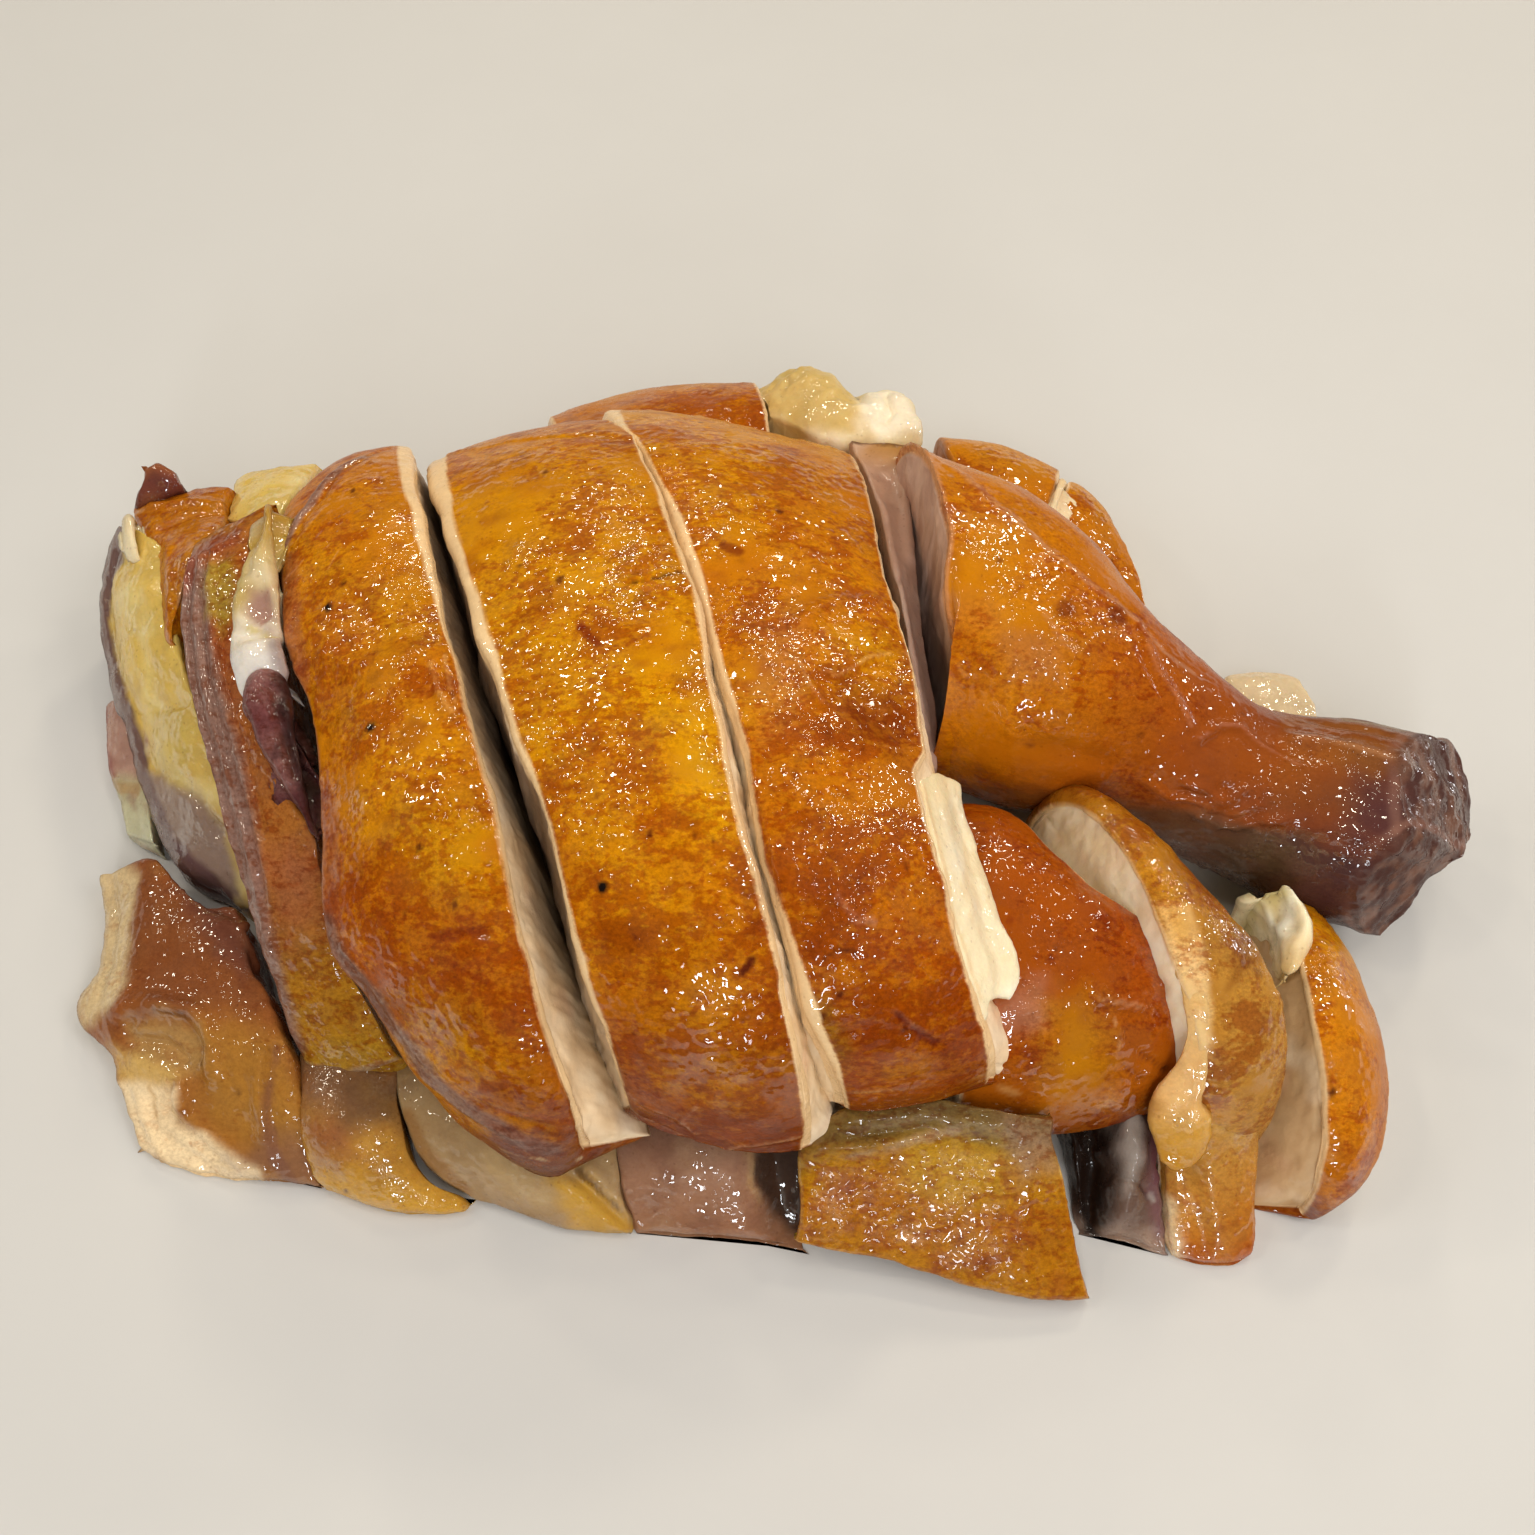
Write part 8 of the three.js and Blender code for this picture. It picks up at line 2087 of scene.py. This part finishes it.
add(
    "wing_slice", seed=9, material=LEGSKIN, skin_t=0.9, step=0.5, peel=2.0,
    paint=tissue(
        [(0, "b0701c"), (0.15, "a4582a"), (0.4, "a05a2a"), (0.75, "9a6220"), (1, "ac8020")], glow="a8641e", fleck="7a3c1c", rough=0.27, wet=0.85, mott=0.4, shine=0.3,
        meat_tone=(lin("8d7162"), lin("7b5c50"), lin("6a4a4c")),
        ls=[
            ("area", [(-88.3, 45.1, 36), (-88.8, 36.7, 36), (-87.5, 28.4, 35), (-84.2, 18.6, 34), (-81.1, 9.9, 32), (-77.9, 0.3, 29), (-75.3, -7, 25), (-72.8, -13.6, 21), (-70.8, -18.6, 17), (-69.1, -22.9, 13), (-67.4, -27, 9), (-65.7, -25.4, 11), (-67, -21.5, 15), (-68.6, -15.7, 20), (-69.8, -9.3, 25), (-70.6, -3.4, 30), (-72.4, 3.8, 34), (-74.6, 10.7, 36), (-77, 16.7, 37), (-80.1, 26.3, 38), (-81.3, 36.2, 39)], "8a6c62", 0.92, 1.0),
            ("line", [(-83.5, 37.9, 38), (-83.3, 28.7, 37), (-80.7, 18, 35), (-77.3, 8.4, 33), (-74.8, 0.3, 29), (-73, -7.3, 24), (-70.8, -13.9, 20), (-68.6, -20, 15)], "a88e82", 0.55, 0.6),
            ("line", [(-86.1, 39.6, 37), (-85.4, 29.5, 36), (-82.5, 18.6, 34), (-79.1, 9, 32)], "5a423a", 0.6, 0.6),
            ("line", [(-81.3, 34.4, 39), (-81.3, 26.3, 38), (-78.9, 17.3, 36), (-75.5, 7.8, 34), (-73.3, -0.3, 30)], "5e443a", 0.6, 0.5),
            ("area", [(-88.6, 41.9, 36), (-85.6, 43.8, 37), (-77.8, 43.9, 41), (-77.9, 40.2, 41), (-83.9, 39.8, 38), (-85.8, 34.9, 36), (-87.5, 34.9, 36)], "95482e", 0.7, 1.0),
            ("area", [(-82.9, 37.7, 39), (-78.2, 38.3, 41), (-77.1, 30.3, 42), (-78, 25.8, 41), (-81.6, 29.8, 38)], "a88c2a", 0.8, 1.2),
            ("area", [(-65.3, -14.2, 24), (-60.1, -15.7, 24), (-55.1, -22.3, 18), (-54.1, -25.7, 14), (-64.9, -25.2, 12), (-66.7, -20.5, 18)], "aa7018", 0.6, 2.4),
            ("line", [(-66, -27.1, 10), (-60, -29.1, 11), (-52.4, -28.3, 14)], "a68a70", 0.85, 1.0),
            # painted shadow: the near-black strip is the crevice between the wing and breast slice 1
            ("area", [(-68.5, 17.7, 38), (-65.7, 10.1, 37), (-63, 1.7, 35), (-62.2, -2.9, 32), (-64.9, 1.7, 35), (-67.5, 9.4, 38)], "2c1812", 0.9, 1.5),
            ("area", [(-71.1, -3.9, 28), (-62.6, -3.9, 31), (-61, -13.6, 26), (-67.1, -14.8, 22)], "a0583e", 0.5, 3.0),
            ("line", [(-65.7, -23.3, 14), (-63.1, -21.9, 16), (-61.2, -20.5, 17)], "3a2010", 0.85, 0.35),
        ],
    ),
)
add(
    "wing_slice", "wing_cartilage", seed=31, material=FATTY, step=0.5,
    lump=1.2,
    paint=tissue(
        [(0, "a87c24"), (0.2, "c09a48"), (0.36, "cbb27c"), (0.6, "d0bc98"), (0.78, "e4dcd2"), (1, "dcd4cc")], glow="ece0c8", fleck="b89c68", glow_a=0.4, rough=0.28, wet=0.8, mott=0.0,
        ls=[
            ("area", [(-74.1, 29.9, 43.5), (-70.8, 29.9, 44), (-69.7, 25.4, 43.5), (-71.6, 24, 43), (-73.6, 26.1, 43)], "9c6c64", 0.8, 1.0),
            ("area", [(-77.8, 34.1, 44), (-75.5, 35.6, 44), (-73.8, 28.8, 44), (-75.5, 25.8, 43), (-77.2, 27.8, 43)], "b8993c", 0.6, 1.2),
            ("area", [(-70.2, 22.7, 43), (-67.2, 22.7, 43), (-66.3, 15, 42), (-68.7, 16.7, 42)], "8a7470", 0.8, 1.0),
            ("line", [(-75.9, 33.3, 44), (-76.7, 27.8, 43), (-76.5, 22.5, 42)], "c2a844", 0.7, 1.2),
            ("spot", [(-70.5, 26, 45), (-70.1, 23.3, 44)], "9c8478", 0.6, 1.6),
            ("line", [(-74.8, 25.2, 43), (-71.7, 23.3, 44), (-69.4, 22.7, 43)], "c9b268", 0.7, 0.7),
        ],
    ),
)
add(
    "wing_slice", "wing_ball", seed=32, material=MEATM, step=0.42, lump=1.8, peel=3.2, rag=0.0,
    paint=tissue(
        [(0, "8c605c"), (0.3, "6c3c3c"), (1, "482426")], glow="a07068", fleck="341818", fleck_a=0.8, rough=0.34, wet=0.8, mott=0.5, shine=0.4,
        # painted shadow: the near-black strip is the crevice between the ball and breast slice 1
        ls=[("area", [(-68, 19.3, 42), (-65.6, 14.7, 40), (-62.2, -1.3, 33), (-64.3, 1.1, 36), (-67, 8, 39), (-68.3, 14, 41)], "241210", 0.9, 1.2)],
    ),
)
add("breast_slice_3", "breast_ledge", seed=40, material=MEATM, step=0.42, lump=0.8, peel=2.4, rag=0.0,
    paint=tissue([(0, "f2dcae"), (0.3, "f8e4ba"), (1, "fbeac4")], glow="fff8e4", fleck="e6c890", glow_a=0.6, fleck_a=0.25, rough=0.34, wet=0.6, mott=0.0,
        ls=[("line", [(19.2, -2.9, 46), (20.2, -7.6, 45), (21.5, -14, 44), (22.1, -19.4, 43), (24, -24.3, 39), (25.6, -27.9, 36)], "e8c088", 0.5, 0.6)]))
add("thigh_slice_2", "thigh_fat", seed=33, material=FATTY, step=0.5,
    paint=tissue([(0, "d8a862"), (0.3, "e6b87a"), (0.6, "e2b070"), (0.8, "d29c42"), (1, "c08624")], glow="f0cc90", fleck="a87030", fleck_a=0.5, rough=0.2, wet=1.0, mott=0.1, shine=0.3), peel=2.4, lump=1.8)
add("shoulder_top", "purple_spike", seed=34, material=LEGSKIN, step=0.45, lump=1.6, peel=2.5,
    paint=tissue([(0, "94552e"), (0.5, "703a30"), (1, "5c302a")], glow="a86a40", fleck="3e1e1c", rough=0.26, wet=1.0, mott=0.0, shine=0.3))
add("shoulder_top", "cream_bit", seed=35, material=FATTY, step=0.5,
    paint=tissue([(0, "d8c49c"), (1, "e0cca4")], glow="f0e2c0", fleck="b89a6c", rough=0.3, wet=0.8, mott=0.0))
add("thigh_back_1", "back_strip", seed=36, material=MEATM, step=0.5,
    paint=tissue([(0, "e8c89a"), (1, "f2dcb6")], glow="fff0d4", fleck="d0a878", rough=0.36, wet=0.4, mott=0.0))
add("thigh_slice_3", "thigh_knob", seed=38, material=MEATM, step=0.42, lump=2.0, peel=4.0, rag=0.0,
    paint=tissue([(0, "f2e2bc"), (0.6, "f8e4bc"), (1, "e8c078")], glow="fffcf0", fleck="d8b078", glow_a=0.7, rough=0.3, wet=0.8, mott=0.0,
        ls=[("area", [(67.1, -3.3, 17), (70.9, -3.4, 18), (71.5, -6.7, 18), (71.1, -9.2, 16), (69.5, -6.5, 15)], "d2bc74", 0.8, 0.8)]))

# ------------------------------------------------- floor, camera, lights ----
me = bpy.data.meshes.new("floor")
R = 6.0
me.from_pydata([(-R, -R, 0), (R, -R, 0), (R, R, 0), (-R, R, 0)], [], [(0, 1, 2, 3)])
floor = bpy.data.objects.new("floor", me)
bpy.context.scene.collection.objects.link(floor)
fm = bpy.data.materials.new("pale_floor")
fm.use_nodes = True
ft_ = fm.node_tree
fb = ft_.nodes["Principled BSDF"]
fn = noise_tex(ft_, node(ft_, "ShaderNodeTexCoord", -800, 0).outputs["Object"], 40.0, 4.0)
ft_.links.new(mix_rgb(ft_, "MIX", fn, (0.61, 0.59, 0.555), (0.64, 0.62, 0.585)), fb.inputs["Base Color"])
fb.inputs["Roughness"].default_value = 0.55
fb.inputs["Specular IOR Level"].default_value = 0.3
me.materials.append(fm)

cam = bpy.data.cameras.new("camera")
cam.lens = 37.5
cam.sensor_width = 36.0
cam.clip_start = 0.01
cam_ob = bpy.data.objects.new("camera", cam)
cam_ob.location = (0.00327, -0.12707, 0.224385)
cam_ob.rotation_euler = (math.radians(31), 0, 0)
bpy.context.scene.collection.objects.link(cam_ob)
bpy.context.scene.camera = cam_ob


def area(name, at, size, power, colour=(1, 1, 1), aim=(0, 0, 0.03), size_y=None):
    li = bpy.data.lights.new(name, "AREA")
    li.shape = "RECTANGLE"
    li.size = size
    li.size_y = size_y or size
    li.energy = power
    li.color = colour
    ob = bpy.data.objects.new(name, li)
    ob.location = at
    d = np.array(aim, float) - np.array(at, float)
    from mathutils import Vector

    ob.rotation_euler = Vector(d).to_track_quat("-Z", "Y").to_euler()
    bpy.context.scene.collection.objects.link(ob)
    return ob


def soft(*args, **kw):
    """A fill light that is not mirrored in the glaze."""
    ob = area(*args, **kw)
    ob.visible_glossy = False
    return ob


soft("soft_top", (0.10, 0.04, 0.95), 0.55, 1.8, (1.0, 0.98, 0.95))
soft("soft_front", (0.12, -0.66, 0.66), 0.45, 2.9, (1.0, 0.98, 0.96))
soft("soft_right", (0.58, -0.22, 0.78), 0.36, 2.5, (1.0, 0.97, 0.94))
soft("soft_left", (-0.75, -0.10, 0.60), 0.40, 1.5, (0.94, 0.97, 1.0))
area("glint_a", (0.30, 0.56, 0.60), 0.085, 0.95, (1.0, 0.90, 0.72))
area("glint_b", (-0.14, 0.66, 0.42), 0.065, 0.46, (1.0, 0.90, 0.72))
area("glint_c", (0.16, 0.34, 0.78), 0.046, 0.32, (1.0, 0.90, 0.72))
area("glint_d", (0.46, 0.22, 0.70), 0.056, 0.44, (1.0, 0.90, 0.72))
area("glint_e", (-0.45, 0.05, 0.75), 0.056, 0.44, (1.0, 0.90, 0.72))
area("glint_f", (0.0, -0.83, 0.40), 0.12, 1.15, (0.90, 0.95, 1.0))
area("glint_g", (-0.74, 0.30, 0.55), 0.066, 0.54, (1.0, 0.92, 0.76))
area("glint_h", (-0.36, 0.48, 0.60), 0.058, 0.46, (1.0, 0.90, 0.72))
area("glint_i", (0.62, 0.40, 0.42), 0.056, 0.44, (1.0, 0.92, 0.78))
area("glint_j", (0.26, -0.30, 0.88), 0.045, 0.28, (1.0, 0.94, 0.84))
area("glint_k", (0.86, 0.36, 0.12), 0.09, 0.58, (0.96, 0.97, 1.0))

world = bpy.data.worlds.new("world")
world.use_nodes = True
bg = world.node_tree.nodes["Background"]
bg.inputs[0].default_value = (1.0, 0.95, 0.90, 1)
bg.inputs[1].default_value = 0.06
bpy.context.scene.world = world
cy = bpy.context.scene.cycles
cy.max_bounces, cy.diffuse_bounces, cy.glossy_bounces, cy.transmission_bounces = 3, 2, 1, 1
cy.caustics_reflective = cy.caustics_refractive = False
cy.adaptive_threshold = 0.04
vs = bpy.context.scene.view_settings
vs.view_transform = "Standard"
vs.look = "None"
vs.exposure = 0.0

tris = 0
for o_ in made:
    o_.data.calc_loop_triangles()
    tris += len(o_.data.loop_triangles)
    print(o_.name, len(o_.data.loop_triangles))
print("visual triangles", tris)
